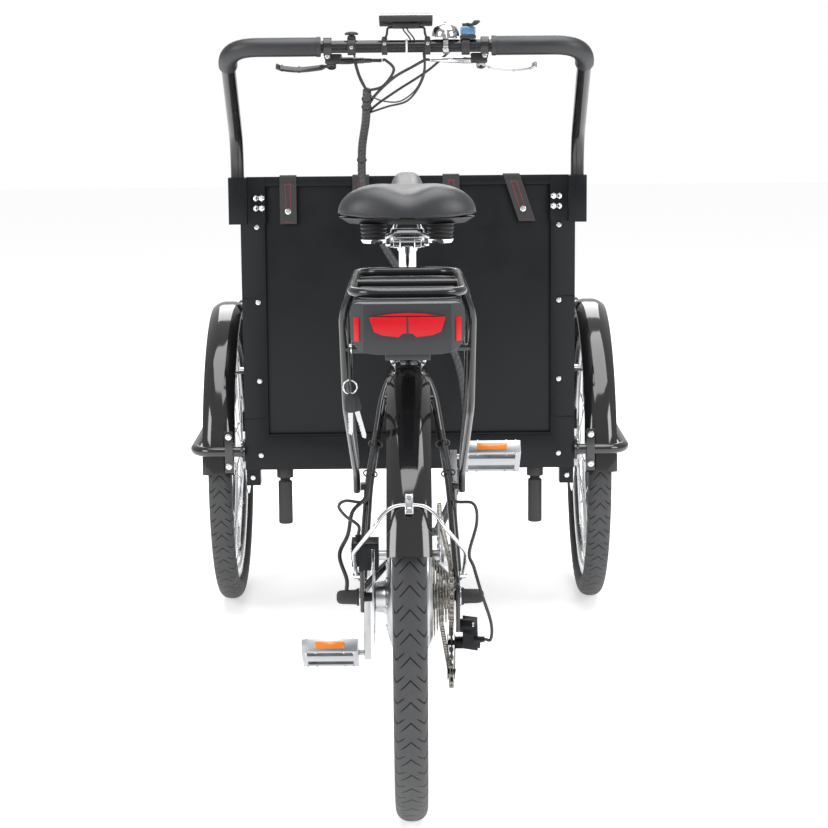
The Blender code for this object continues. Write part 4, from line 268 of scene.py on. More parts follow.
def dress(ob, look):
    """The piece has this one finish."""
    ob.data.materials.clear()
    ob.data.materials.append(look)
    return ob


def smooth(ob, angle=38.0):
    """Round faces shade as one; the piece's object sits at the origin."""
    pick(ob)
    bpy.ops.object.transform_apply(location=True, rotation=True, scale=True)
    bpy.ops.object.shade_smooth_by_angle(angle=radians(angle))
    return ob


def carry(ob, *nodes):
    """The piece stands for these nodes: it rides on the first one's body, and the nodes are hidden."""
    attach(ob, frame["nodes"][nodes[0]]["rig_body"])
    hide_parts(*nodes)
    return ob


def replace_node(ob, look, node, angle=38.0):
    """The smooth piece in its finish stands for the node."""
    return carry(smooth(dress(ob, look), angle), node)


def mended(ob, reach=0.000001):
    """Points that meet are merged, and all faces look outwards."""
    pick(ob)
    bpy.ops.object.mode_set(mode="EDIT")
    bpy.ops.mesh.select_all(action="SELECT")
    bpy.ops.mesh.remove_doubles(threshold=reach)
    bpy.ops.mesh.normals_make_consistent(inside=False)
    bpy.ops.object.mode_set(mode="OBJECT")
    return ob


def tyre_look(name, centre, radius):
    """Rubber that is paler where the tread meets the ground: partly dust, partly painted light in the
    rubber's colour.
    """
    look = finish(
        name, (0.030, 0.031, 0.033), 0.62, shade=0.14, patch=26.0, change=0.08, grain=(900.0, 0.00014)
    )
    nodes, link = look.node_tree.nodes, look.node_tree.links.new
    shader, group = nodes["Principled BSDF"], nodes["uneven"]
    place, split = nodes.new("ShaderNodeTexCoord"), nodes.new("ShaderNodeSeparateXYZ")
    link(place.outputs["Object"], split.inputs["Vector"])
    reach = nodes.new("ShaderNodeVectorMath")
    reach.operation = "DISTANCE"
    reach.inputs[1].default_value = centre
    link(place.outputs["Object"], reach.inputs[0])
    crown = nodes.new("ShaderNodeMapRange")
    crown.inputs["From Min"].default_value = radius - 0.020
    crown.inputs["From Max"].default_value = radius - 0.001
    crown.inputs["To Max"].default_value = 1.0
    link(reach.outputs["Value"], crown.inputs["Value"])
    # The tread's crown is painted paler: partly dust, partly painted light that stands in for the light on
    # the lower tyre.
    crown_dust_and_painted_light = nodes.new("ShaderNodeMix")
    crown_dust_and_painted_light.data_type = "RGBA"
    crown_dust_and_painted_light.inputs["B"].default_value = (0.043, 0.044, 0.046, 1.0)
    link(crown.outputs["Result"], crown_dust_and_painted_light.inputs["Factor"])
    link(group.outputs["Colour"], crown_dust_and_painted_light.inputs["A"])
    link(crown_dust_and_painted_light.outputs["Result"], shader.inputs["Base Color"])
    return look


def tyre(node, centre, radius):
    """The casing: a grid rolled into a ring of the tyre's section, its grooves pressed in."""
    pitches = round(2 * pi * radius / GROOVE_PITCH)
    pitch = 2 * pi * radius / pitches
    stops = [-GROOVE_HALF, 0.0, GROOVE_HALF, pitch * 0.26]
    stops += [pitch * 0.5 - GROOVE_HALF, pitch * 0.5, pitch * 0.5 + GROOVE_HALF, pitch * 0.76]
    rows = pitches * len(stops)
    bpy.ops.mesh.primitive_grid_add(x_subdivisions=TREAD_COLUMNS, y_subdivisions=rows, size=0.1)
    ob = bpy.context.object
    ob.name = node + "_treaded"
    middle = radius - TYRE_HEIGHT * 0.50
    for v in ob.data.vertices:
        row, column = divmod(v.index, TREAD_COLUMNS + 1)
        row, column = row % rows, column % TREAD_COLUMNS
        turn = 2 * pi * column / TREAD_COLUMNS
        c, s = cos(turn), sin(turn)
        width = TYRE_HALF_WIDTH * (1.0 if c > 0 else 1.0 - 0.30 * (-c) ** 1.5)
        x = width * (1 if s > 0 else -1) * abs(s) ** 0.86
        rise = TYRE_HEIGHT * 0.5 * (c**0.92 if c > 0 else -((-c) ** 0.80) * 0.985)
        away = abs(x)
        which = row % len(stops)
        tread = max(0.0, c)
        if which == 1 and c > 0:
            rise -= GROOVE_DEPTH * min(1.0, max(0.0, (0.0150 - away) / 0.003))
        if which == 5 and c > -0.1:
            rise -= GROOVE_DEPTH * 1.3 * min(1.0, max(0.0, (away - 0.0085) / 0.003))
            x *= 1.0 - 0.06 * min(1.0, max(0.0, (away - 0.019) / 0.003))
        along = pitch * (row // len(stops)) + stops[which]
        along += 1.15 * min(away, 0.021) * min(1.0, tread * 1.6)
        angle = along / radius
        out = middle + rise
        v.co = centre + Vector((x, out * cos(angle), out * sin(angle)))
    return replace_node(mended(ob), tyre_look(node + "_rubber", centre, radius), node, 32)


tyre("rear_tyre", REAR_AXLE, REAR_RADIUS)
for hand, centre in FRONT_AXLES.items():
    tyre("front_tyre_" + hand, centre, FRONT_RADIUS)

# Rims and spokes. A box-section rim is rolled from bright alloy, with hooked edges that hold the tyre. Steel
# spokes cross from both flanges of the hub and end in brass nipples, which are pulled through the rim.

SPOKE_RADIUS = 0.0010
alloy = finish(
    "satin_alloy", (0.74, 0.75, 0.77), 0.27, 1.0, shade=0.06, change=0.07, grain=(1600.0, 0.00002)
)
bright_steel = finish("bright_steel", (0.70, 0.71, 0.73), 0.20, 1.0, shade=0.08, change=0.06)
brass = finish("nickelled_brass", (0.72, 0.69, 0.60), 0.25, 1.0, shade=0.08)


def aboard(ob, node):
    """An added piece rides on the node's body."""
    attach(ob, frame["nodes"][node]["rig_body"])
    return ob


def add_piece(ob, look, node, angle=38.0):
    """The smooth piece in its finish is added beside the node."""
    return aboard(smooth(dress(ob, look), angle), node)


def as_object(name, bm):
    """A new object that holds the mesh."""
    mesh = bpy.data.meshes.new(name)
    bm.to_mesh(mesh)
    bm.free()
    ob = bpy.data.objects.new(name, mesh)
    bpy.context.scene.collection.objects.link(ob)
    return ob


def outline_of(name, points, fill="NOTHING"):
    """A circle whose points are moved to the given ones."""
    bpy.ops.object.select_all(action="DESELECT")
    bpy.ops.mesh.primitive_circle_add(vertices=len(points), radius=0.01, fill_type=fill)
    ob = bpy.context.object
    ob.name = name
    for v, point in zip(ob.data.vertices, points):
        v.co = point
    return ob


def spun(name, section, centre, steps, axis="X"):
    """A turned piece: an outline of points (along, radius), spun once round its axis."""
    along = {"X": Vector((1, 0, 0)), "Y": Vector((0, 1, 0)), "Z": Vector((0, 0, 1))}[axis]
    out = Vector((1, 0, 0)) if axis == "Z" else Vector((0, 0, 1))
    ob = outline_of(
        name, [Vector(centre) + along * distance + out * radius for distance, radius in section]
    )
    bpy.ops.object.mode_set(mode="EDIT")
    bpy.ops.mesh.select_all(action="SELECT")
    bpy.ops.mesh.spin(steps=steps, angle=2 * pi, center=centre, axis=along)
    bpy.ops.object.mode_set(mode="OBJECT")
    return mended(ob, 0.000005)


def strewn(name, pattern, places):
    """One mesh that holds a copy of the pattern at each place, which is a matrix; the pattern is used up."""
    bm = bmesh.new()
    for place in places:
        start = len(bm.verts)
        bm.from_mesh(pattern.data)
        bm.verts.ensure_lookup_table()
        bmesh.ops.transform(bm, matrix=place, verts=bm.verts[start:])
    bpy.data.objects.remove(pattern, do_unlink=True)
    return as_object(name, bm)


def soften(ob, edge, segments=2):
    """Rounds the piece's sharp edges."""
    change = ob.modifiers.new("soft_edges", "BEVEL")
    change.width = edge
    change.segments = segments
    change.limit_method = "ANGLE"
    change.angle_limit = radians(40)
    pick(ob)
    bpy.ops.object.modifier_apply(modifier=change.name)
    return ob


def bar(name, radius, depth, sides=12, edge=0.0):
    """A round bar along Z about the origin, its ends chamfered."""
    bpy.ops.object.select_all(action="DESELECT")
    bpy.ops.mesh.primitive_cylinder_add(vertices=sides, radius=radius, depth=depth)
    ob = bpy.context.object
    ob.name = name
    if edge:
        soften(ob, edge)
    return ob


def joined(name, *obs):
    """Several meshes as one object; the first keeps its place."""
    bpy.ops.object.select_all(action="DESELECT")
    for ob in obs:
        ob.select_set(True)
    bpy.context.view_layer.objects.active = obs[0]
    if len(obs) > 1:
        bpy.ops.object.join()
    obs[0].name = name
    return obs[0]


def rim(name, centre, radius):
    """The rim's box section, with hooked edges and a drop centre."""
    outer = radius - TYRE_HEIGHT
    half = [
        (0.0130, outer), (0.0139, outer - 0.0020), (0.0136, outer - 0.0120), (0.0122, outer - 0.0165),
        (0.0075, outer - 0.0205), (0.0040, outer - 0.0218),
    ]
    section = half + [(-a, b) for a, b in reversed(half)]
    section += [
        (-0.0100, outer - 0.0012), (-0.0060, outer - 0.0028), (0.0060, outer - 0.0028),
        (0.0100, outer - 0.0012),
    ]
    return smooth(dress(spun(name, section, centre, 144), alloy))


def wires(name, centre, radius, hub_radius, flange, count, lean):
    """The spokes: each runs from its flange to the rim, leaning forward or back, with a nipple at the rim."""
    rim_radius = radius - TYRE_HEIGHT - 0.020
    made = []
    for k in range(count):
        side = 1 if k % 2 else -1
        turn = 1 if (k // 2) % 2 else -1
        outer = 2 * pi * (k + 0.5) / count
        inner = outer + turn * lean
        shift = side * flange + 0.0016 * turn
        start = centre + Vector((shift, hub_radius * cos(inner), hub_radius * sin(inner)))
        end = centre + Vector((side * 0.0035, rim_radius * cos(outer), rim_radius * sin(outer)))
        made.append((start, end))
    places, caps = [], []
    for start, end in made:
        way = end - start
        turned = way.to_track_quat("Z", "Y").to_matrix().to_4x4()
        stretch = Matrix.Diagonal((1, 1, way.length, 1))
        places.append(Matrix.Translation((start + end) / 2) @ turned @ stretch)
        caps.append(Matrix.Translation(end - way.normalized() * 0.006) @ turned)
    spokes = smooth(dress(strewn(name, bar("spoke", SPOKE_RADIUS, 1.0, 8), places), bright_steel))
    nipples = smooth(dress(strewn(name + "_nipples", bar("nipple", 0.0021, 0.012, 8, 0.0005), caps), brass))
    return spokes, nipples


rear_rim = rim("rear_rim_rolled", REAR_AXLE, REAR_RADIUS)
carry(rear_rim, "rear_rim")
spokes, nipples = wires("rear_spokes", REAR_AXLE, REAR_RADIUS, 0.072, 0.024, 36, radians(22))
aboard(spokes, "rear_rim")
aboard(nipples, "rear_rim")

# Hub motor. The shell and its two covers are cast and turned in alloy: a stepped cover with a raised boss on
# the brake's side, a flange at each side for the spokes, and a ring of button-headed screws in the cover.

cast_alloy = finish(
    "cast_alloy", (0.47, 0.48, 0.49), 0.30, 1.0, shade=0.08, change=0.07, grain=(1500.0, 0.00003)
)
motor_section = [
    (-0.0525, 0.0073), (-0.0525, 0.0200), (-0.0505, 0.0218), (-0.0400, 0.0232), (-0.0362, 0.0250),
    (-0.0345, 0.0290), (-0.0338, 0.0420), (-0.0345, 0.0440), (-0.0330, 0.0560), (-0.0318, 0.0600),
    (-0.0290, 0.0700), (-0.0275, 0.0740), (-0.0205, 0.0740), (-0.0200, 0.0692), (0.0200, 0.0692),
    (0.0205, 0.0740), (0.0275, 0.0740), (0.0290, 0.0700), (0.0325, 0.0630), (0.0330, 0.0600),
    (0.0330, 0.0073),
]
motor = smooth(soften(spun("hub_motor_turned", motor_section, REAR_AXLE, 96), 0.0006), 30)
carry(dress(motor, cast_alloy), "hub_motor")


def screws(name, node, places, ways, radius, height):
    """Bright button heads with a round recess; ways is one way for all, or a list with one for each."""
    bpy.ops.object.select_all(action="DESELECT")
    bpy.ops.mesh.primitive_cylinder_add(
        vertices=24, radius=radius, depth=height, location=(0, 0, height / 2)
    )
    head = bpy.context.object
    bpy.ops.object.transform_apply(location=True)
    bpy.ops.object.mode_set(mode="EDIT")
    bpy.ops.mesh.select_all(action="DESELECT")
    bm = bmesh.from_edit_mesh(head.data)
    top = max(bm.faces, key=lambda f: f.calc_center_median().z)
    top.select = True
    bm.select_flush(True)
    bmesh.update_edit_mesh(head.data)
    bpy.ops.mesh.inset(thickness=radius * 0.28)
    bpy.ops.transform.translate(value=(0, 0, radius * 0.12))
    bpy.ops.mesh.inset(thickness=radius * 0.24)
    bpy.ops.mesh.extrude_region_move(TRANSFORM_OT_translate={"value": (0, 0, -height * 0.75)})
    bpy.ops.object.mode_set(mode="OBJECT")
    ways = ways if isinstance(ways, list) else [ways] * len(places)
    matrices = []
    for place, way in zip(places, ways):
        turn = Vector(way).to_track_quat("Z", "Y").to_matrix().to_4x4()
        matrices.append(Matrix.Translation(Vector(place)) @ turn)
    return add_piece(strewn(name, head, matrices), bright_steel, node, 35)


around = [2 * pi * k / 8 for k in range(8)]
spots = [REAR_AXLE + Vector((-0.0338, 0.050 * cos(a), 0.050 * sin(a))) for a in around]
screws("motor_cover_screws", "hub_motor", spots, (-1, 0, 0), 0.0030, 0.0016)

# Brake discs, axles and front hubs. The discs are stamped steel with drilled tracks, ground across; the rear
# axle's ends wear black rubber caps over their nuts; the front hubs are turned alloy with two flanges.

satin_paint = finish("satin_black_paint", (0.0045, 0.0052, 0.0066), 0.40, shade=0.14, change=0.06,
                     grain=(1400.0, 0.00004), Specular_IOR_Level=0.24)

rubber = finish("black_rubber", (0.026, 0.026, 0.027), 0.68, shade=0.16, patch=22.0, change=0.08,
                grain=(700.0, 0.00012))


def plate(name, outline, axis, low, high):
    """A flat plate: the outline's points lie across an axis, and the face is extruded along it."""
    a, b, c = {"X": (1, 2, 0), "Y": (0, 2, 1), "Z": (0, 1, 2)}[axis]
    points, push = [], Vector()
    for u, w in outline:
        spot = Vector()
        spot[a], spot[b], spot[c] = u, w, low
        points.append(spot)
    push[c] = high - low
    ob = outline_of(name, points, "NGON")
    bpy.ops.object.mode_set(mode="EDIT")
    bpy.ops.mesh.select_all(action="SELECT")
    bpy.ops.mesh.extrude_region_move(TRANSFORM_OT_translate={"value": push})
    bpy.ops.mesh.select_all(action="SELECT")
    bpy.ops.mesh.normals_make_consistent(inside=False)
    bpy.ops.object.mode_set(mode="OBJECT")
    return ob


def cut_by(ob, tool):
    """Takes the tool out of the piece."""
    change = ob.modifiers.new("cut", "BOOLEAN")
    change.operation = "DIFFERENCE"
    change.object = tool
    pick(ob)
    bpy.ops.object.modifier_apply(modifier=change.name)
    bpy.data.objects.remove(tool, do_unlink=True)
    return ob


def fair(node, look, edge=0.0, angle=38.0):
    """The node's own shape with merged corners, soft edges and its finish."""
    ob = bpy.data.objects.new(node + "_finished", frame["nodes"][node].data.copy())
    bpy.context.scene.collection.objects.link(ob)
    pick(ob)
    bpy.ops.object.mode_set(mode="EDIT")
    bpy.ops.mesh.select_all(action="SELECT")
    bpy.ops.mesh.remove_doubles(threshold=0.00002)
    bpy.ops.mesh.dissolve_limited(angle_limit=radians(0.6))
    bpy.ops.object.mode_set(mode="OBJECT")
    if edge:
        soften(ob, edge)
    bpy.ops.object.shade_smooth_by_angle(angle=radians(angle))
    dress(ob, look)
    return carry(ob, node)


def brake_disc(name, centre, x, hole):
    """A track with three rings of drilled holes, on five leaning arms round a centre ring."""
    shift = x - centre.x
    track = spun(
        name,
        [
            (shift - 0.0009, 0.0645), (shift - 0.0009, 0.0798), (shift + 0.0009, 0.0798),
            (shift + 0.0009, 0.0645),
        ],
        centre, 72,
    )
    places = []
    for k in range(30):
        reach = (0.0685, 0.0722, 0.0759)[k % 3]
        turn = 2 * pi * k / 30
        spot = Vector((x, centre.y + reach * cos(turn), centre.z + reach * sin(turn)))
        places.append(Matrix.Translation(spot) @ Matrix.Rotation(pi / 2, 4, "Y"))
    cut_by(track, strewn("drill", bar("drill", 0.0021, 0.008, 10), places))
    parts = [track]
    for k in range(5):
        turn = Matrix.Rotation(2 * pi * k / 5, 4, "X")
        outline = [(-0.005, hole + 0.004), (0.004, hole + 0.004), (0.011, 0.0665), (0.001, 0.0665)]
        arm = plate("arm", outline, "X", shift - 0.0008, shift + 0.0008)
        arm.matrix_world = Matrix.Translation(centre) @ turn
        parts.append(arm)
    parts.append(
        spun(
            "middle",
            [
                (shift - 0.0009, hole), (shift - 0.0009, 0.024), (shift + 0.0009, 0.024),
                (shift + 0.0009, hole),
            ],
            centre, 48,
        )
    )
    return smooth(dress(joined(name, *parts), bright_steel), 30)


carry(brake_disc("rear_disc_drilled", REAR_AXLE, -0.0538, 0.011), "rear_disc")
heads = [
    REAR_AXLE + Vector((-0.0549, 0.0190 * cos(a), 0.0190 * sin(a)))
    for a in [2 * pi * k / 6 for k in range(6)]
]
screws("rear_disc_screws", "rear_disc", heads, (-1, 0, 0), 0.0028, 0.0014)

cap = [
    (0.0672, 0.0), (0.0672, 0.0098), (0.0737, 0.0098), (0.0738, 0.0128), (0.0790, 0.0130), (0.0800, 0.0112),
    (0.0860, 0.0109), (0.0980, 0.0106), (0.1040, 0.0100), (0.1075, 0.0080), (0.1090, 0.0048), (0.1090, 0.0),
]
caps = [spun("axle_cap", cap, REAR_AXLE, 40), spun("axle_cap", [(-a, b) for a, b in cap], REAR_AXLE, 40)]
shaft = bar("axle_shaft", 0.0068, 0.15, 24)
shaft.matrix_world = Matrix.Translation(REAR_AXLE) @ Matrix.Rotation(pi / 2, 4, "Y")
replace_node(joined("rear_axle_capped", *caps, shaft), rubber, "rear_axle")
washers = []
for side in (-1, 1):
    section = [
        (side * 0.0738, 0.0075), (side * 0.0738, 0.0150), (side * 0.0752, 0.0150), (side * 0.0752, 0.0075)
    ]
    washers.append(spun("washer", section, REAR_AXLE, 40))
add_piece(joined("axle_washers", *washers), bright_steel, "rear_axle")

fair("rear_caliper", satin_paint, 0.0012)
heads = [Vector((-0.0851, REAR - 0.010, 0.401)), Vector((-0.0851, REAR - 0.036, 0.408))]
screws("caliper_screws", "rear_caliper", heads, (-1, 0, 0), 0.0038, 0.0026)

for side, hand in ((-1, "left"), (1, "right")):
    centre = FRONT_AXLES[hand]
    front_rim = rim("front_rim_" + hand, centre, FRONT_RADIUS)
    carry(front_rim, "front_wheel_" + hand)
    wires_made = wires("front_spokes_" + hand, centre, FRONT_RADIUS, 0.0265, 0.0215, 24, radians(62))
    for wire in wires_made:
        aboard(wire, "front_wheel_" + hand)
    half = [
        (-0.0345, 0.0072), (-0.0345, 0.0200), (-0.0300, 0.0215), (-0.0240, 0.0285), (-0.0230, 0.0292),
        (-0.0200, 0.0292), (-0.0192, 0.0280), (-0.0165, 0.0170), (-0.0120, 0.0148), (0.0120, 0.0148),
        (0.0165, 0.0170), (0.0192, 0.0280), (0.0200, 0.0292), (0.0230, 0.0292), (0.0240, 0.0280),
        (0.0290, 0.0150), (0.0345, 0.0125), (0.0345, 0.0072),
    ]
    hub = spun("front_hub_" + hand, [(side * a, b) for a, b in half], centre, 56)
    add_piece(hub, alloy, "front_wheel_" + hand, 30)
    disc = brake_disc("front_disc_" + hand, centre, centre.x - side * 0.0340, 0.010)
    aboard(disc, "front_wheel_" + hand)

# Transmission. Seven stamped sprockets sit on a splined drum, oiled and brown with use; the roller chain has
# pressed plates on riveted pins; a black derailleur carries it round two toothed plastic pulleys.

PITCH = 0.0127
oiled_steel = finish("oiled_steel", (0.30, 0.285, 0.26), 0.34, 1.0, shade=0.35, patch=60.0, change=0.14)
black_plastic = finish("moulded_black_plastic", (0.022, 0.022, 0.024), 0.46, shade=0.10, change=0.06,
                       grain=(1100.0, 0.00012))


def sprocket(name, teeth, x, centre, hole, thick):
    """A toothed plate: rounded hollows that hold the rollers, between trimmed teeth."""
    middle = PITCH / (2 * sin(pi / teeth))
    outline = []
    for k in range(teeth):
        for share, lift in (
            (0.0, -0.0036), (0.14, -0.0029), (0.27, -0.0010), (0.42, 0.0024), (0.58, 0.0024),
            (0.73, -0.0010), (0.86, -0.0029),
        ):
            turn = 2 * pi * (k + share) / teeth
            outline.append(
                (centre[0] + (middle + lift) * cos(turn), centre[1] + (middle + lift) * sin(turn))
            )
    ob = plate(name, outline, "X", x - thick / 2, x + thick / 2)
    if hole:
        drill = bar("drill", hole, 0.02, 32)
        drill.matrix_world = Matrix.Translation((x, *centre)) @ Matrix.Rotation(pi / 2, 4, "Y")
        cut_by(ob, drill)
    return ob


cogs = []
hub_at = (REAR, REAR_RADIUS)
for k, teeth in enumerate((14, 16, 18, 20, 22, 24, 28)):
    x = 0.061 - k * 0.00425
    cogs.append(sprocket("cog", teeth, x, hub_at, 0.0165, 0.0018))
section = [
    (0.0335, 0.0076), (0.0335, 0.0188), (0.0628, 0.0188), (0.0634, 0.0150), (0.0650, 0.0145),
    (0.0650, 0.0076),
]
cogs.append(spun("drum", section, REAR_AXLE, 48))
replace_node(joined("cassette_stamped", *cogs), oiled_steel, "cassette", 30)
for node, y, z in (("pulley_upper", 0.022, 0.250), ("pulley_lower", 0.048, 0.198)):
    replace_node(
        sprocket(node + "_toothed", 11, 0.061, (y + REAR, z), 0.0044, 0.0019), black_plastic, node, 30
    )

BRACKET_Y, BRACKET_Z = 0.451, 0.284
RUNS = (
    (Vector((BRACKET_Y, BRACKET_Z)), 42, 1), (Vector((0.048, 0.198)), 11, 1),
    (Vector((0.022, 0.250)), 11, -1), (Vector((0.0, REAR_RADIUS)), 14, 1),
)
wraps = [(spot, PITCH / (2 * sin(pi / teeth)), way) for spot, teeth, way in RUNS]
joins = []
for i, (here, r, way) in enumerate(wraps):
    there, next_r, next_way = wraps[(i + 1) % 4]
    gap = there - here
    heading = atan2(gap.y, gap.x) + asin((next_way * next_r - way * r) / gap.length)
    side = Vector((-sin(heading), cos(heading)))
    joins.append((here + side * way * r, there + side * next_way * next_r))
loop = []
for i, (centre, r, way) in enumerate(wraps):
    enter, leave = joins[i - 1][1] - centre, joins[i][0] - centre
    first, last = atan2(enter.y, enter.x), atan2(leave.y, leave.x)
    while way > 0 and last > first:
        last -= 2 * pi
    while way < 0 and last < first:
        last += 2 * pi
    steps = max(2, int(abs(last - first) * r / 0.001))
    for k in range(steps):
        turn = first + (last - first) * k / steps
        loop.append(centre + Vector((cos(turn), sin(turn))) * r)
    run = joins[i][1] - joins[i][0]
    steps = int(run.length / 0.002)
    loop += [joins[i][0] + run * (k / steps) for k in range(steps)]
loop.append(loop[0])
lengths = [0.0]
for a, b in zip(loop, loop[1:]):
    lengths.append(lengths[-1] + (b - a).length)
links = 2 * round(lengths[-1] / PITCH / 2)
pins, step, place = [], lengths[-1] / links, 0
for k in range(links):
    while lengths[place + 1] < k * step:
        place += 1
    share = (k * step - lengths[place]) / (lengths[place + 1] - lengths[place])
    pins.append(loop[place].lerp(loop[place + 1], share))


def chain_x(y):
    """The chain runs across from the chainring's plane to the smallest sprocket's plane."""
    return 0.061 - 0.011 * min(1.0, max(0.0, (y - 0.088) / 0.263))


def link_plates(name, x_near):
    """The two plates of one link, lying along Y from the origin, pinched at the waist."""
    half = []
    for k in range(7):
        turn = pi / 2 + pi * k / 6
        half.append((0.0041 * cos(turn), 0.0041 * sin(turn)))
    outline = half + [(PITCH * 0.5, -0.0029)] + [(PITCH - a, -b) for a, b in half] + [(PITCH * 0.5, 0.0029)]
    return joined(
        name,
        plate("a", outline, "X", x_near, x_near + 0.0009),
        plate("b", outline, "X", -x_near - 0.0009, -x_near),
    )


outer_places, inner_places, pin_places = [], [], []
for k, here in enumerate(pins):
    there = pins[(k + 1) % links]
    start = Vector((chain_x(here.x), here.x + REAR, here.y))
    end = Vector((chain_x(there.x), there.x + REAR, there.y))
    way = (end - start).normalized()
    lift = Vector((1, 0, 0)).cross(way).normalized()
    turn = Matrix((way.cross(lift), way, lift)).transposed().to_4x4()
    (outer_places if k % 2 else inner_places).append(Matrix.Translation(start) @ turn)
    pin_places.append(Matrix.Translation(start) @ turn @ Matrix.Rotation(pi / 2, 4, "Y"))
chain = joined(
    "chain_links",
    strewn("outer_links", link_plates("outer", 0.0024), outer_places),
    strewn("inner_links", link_plates("inner", 0.0013), inner_places),
    strewn("rollers", bar("roller", 0.0038, 0.0025, 10), pin_places),
    strewn("rivets", bar("rivet", 0.0018, 0.0072, 8), pin_places),
)
replace_node(chain, oiled_steel, "chain", 30)

fair("derailleur", satin_paint, 0.0007)
heads = [
    Vector((0.1043, REAR + 0.022, 0.250)),
    Vector((0.0921, REAR + 0.008, 0.280)),
    Vector((0.0662, REAR + 0.048, 0.198)),
]
screws("derailleur_screws", "derailleur", heads, (1, 0, 0), 0.0040, 0.0022)

# Cranks and pedals. Forged alloy arms, satin; the pedals are alloy cages with small grip studs, and each has
# an amber reflector bar on its rear face and a clear one on its front face.

fair("crank_right", cast_alloy, 0.0008)
fair("crank_left", cast_alloy, 0.0014)
amber = finish("amber_reflector", (0.72, 0.20, 0.012), 0.14, shade=0.06, change=0.03, grain=(420.0, 0.0004),
               Coat_Weight=0.8, Coat_Roughness=0.05)
clear = finish("clear_reflector", (0.62, 0.64, 0.66), 0.16, shade=0.05, change=0.03, grain=(420.0, 0.0004),
               Coat_Weight=0.8, Coat_Roughness=0.05)
dark_alloy = finish("brushed_dark_alloy", (0.42, 0.43, 0.45), 0.34, 1.0, shade=0.10, change=0.08)


def block(name, low, high, edge=0.0, segments=3):
    """A block between two opposite corners, its edges rounded."""
    low, high = Vector(low), Vector(high)
    bpy.ops.object.select_all(action="DESELECT")
    bpy.ops.mesh.primitive_cube_add(size=1.0)
    ob = bpy.context.object
    ob.name = name
    ob.scale = high - low
    ob.location = (low + high) / 2
    bpy.ops.object.transform_apply(location=True, rotation=True, scale=True)
    if edge:
        soften(ob, edge, segments)
    return ob


PEDAL_TILT = radians(35)
for side, hand, up in ((-1, "left", -1), (1, "right", 1)):
    fair("pedal_" + hand, dark_alloy, 0.0012)
    centre = Vector((side * 0.138, REAR + BRACKET_Y, BRACKET_Z + up * 0.170))
    place = Matrix.Translation(centre) @ Matrix.Rotation(-PEDAL_TILT, 4, "X")
    for name, look, way in (("pedal_reflectors_", amber, -1), ("pedal_front_reflectors_", clear, 1)):
        middle = way * 0.0398
        lens = block(
            name + hand, (-0.025, middle - 0.0025, -0.00625), (0.025, middle + 0.0025, 0.00625), 0.0012, 2
        )
        lens.matrix_world = place
        add_piece(lens, look, "pedal_" + hand)
    teeth = []
    for x in (-0.040, -0.024, 0.024, 0.040):
        for y in (-0.035, 0.035):
            for z in (-0.0118, 0.0118):
                teeth.append(place @ Matrix.Translation((x, y, z)))
    add_piece(
        strewn("pedal_studs_" + hand, bar("stud", 0.0016, 0.0035, 12, 0.0004), teeth),
        bright_steel,
        "pedal_" + hand,
    )

# Rear frame. Welded steel tubes in thick gloss black: a beam runs forward from the bottom bracket to the
# steering pivot, a bowed tube braces it to the seat tube, and two pairs of stays hold the rear wheel.

SEAT_SLOPE = 0.4245
gloss_paint = finish("gloss_black_paint", (0.011, 0.011, 0.012), 0.10, shade=0.08, change=0.03,
                     grain=(260.0, 0.00002), Coat_Weight=0.6, Coat_Roughness=0.05)


def at(x, y, z):
    """A point given by its distance ahead of the rear axle, in the model's own frame."""
    return Vector((x, y + REAR, z))


def rounded(points, radius, steps=8, loop=False):
    """The path with each corner turned into a curve that starts radius away from it."""
    points = [Vector(p) for p in points]
    count = len(points)
    out = []
    for i, corner in enumerate(points):
        if not loop and i in (0, count - 1):
            out.append(corner)
            continue
        before, after = points[i - 1] - corner, points[(i + 1) % count] - corner
        reach = min(radius, before.length * 0.49, after.length * 0.49)
        a, b = corner + before.normalized() * reach, corner + after.normalized() * reach
        for k in range(steps + 1):
            t = k / steps
            out.append(a * (1 - t) ** 2 + corner * 2 * t * (1 - t) + b * t * t)
    return out


def flowing(points, steps=8):
    """A smooth path through all the points."""
    points = [Vector(p) for p in points]
    ends = [points[0] * 2 - points[1], *points, points[-1] * 2 - points[-2]]
    out = []
    for a, b, c, d in zip(ends, ends[1:], ends[2:], ends[3:]):
        bend, twist = a * 2 - b * 5 + c * 4 - d, b * 3 - a - c * 3 + d
        for k in range(steps):
            t = k / steps
            out.append((b * 2 + (c - a) * t + bend * t * t + twist * t**3) * 0.5)
    out.append(points[-1])
    return out


def tube(name, path, radius, sides=24, loop=False, swell=None):
    """A round tube along a path: a bevelled curve with filled ends, turned into a mesh."""
    curve = bpy.data.curves.new(name, "CURVE")
    curve.dimensions = "3D"
    curve.bevel_depth = radius
    curve.bevel_resolution = sides // 2 - 2
    curve.use_fill_caps = not loop
    line = curve.splines.new("POLY")
    line.points.add(len(path) - 1)
    line.use_cyclic_u = loop
    for i, (point, place) in enumerate(zip(line.points, path)):
        point.co = (*place, 1.0)
        point.radius = swell[i] if swell else 1.0
    ob = bpy.data.objects.new(name, curve)
    bpy.context.scene.collection.objects.link(ob)
    pick(ob)
    bpy.ops.object.convert(target="MESH")
    return mended(bpy.context.object)


def weld(place, way, radius, bead=0.0024):
    """A fillet of weld round a tube where it meets another, a little uneven as it was laid in steps."""
    bpy.ops.object.select_all(action="DESELECT")
    bpy.ops.mesh.primitive_torus_add(
        major_segments=64, minor_segments=8, major_radius=radius, minor_radius=bead
    )
    ob = bpy.context.object
    for v in ob.data.vertices:
        ripple = 1 + 0.10 * sin(atan2(v.co.y, v.co.x) * 16)
        v.co.z *= ripple
    ob.matrix_world = Matrix.Translation(place) @ Vector(way).to_track_quat("Z", "Y").to_matrix().to_4x4()
    return ob


def seat_line(z):
    """The point of the seat tube's axis at this height."""
    return at(0, BRACKET_Y - SEAT_SLOPE * (z - BRACKET_Z), z)


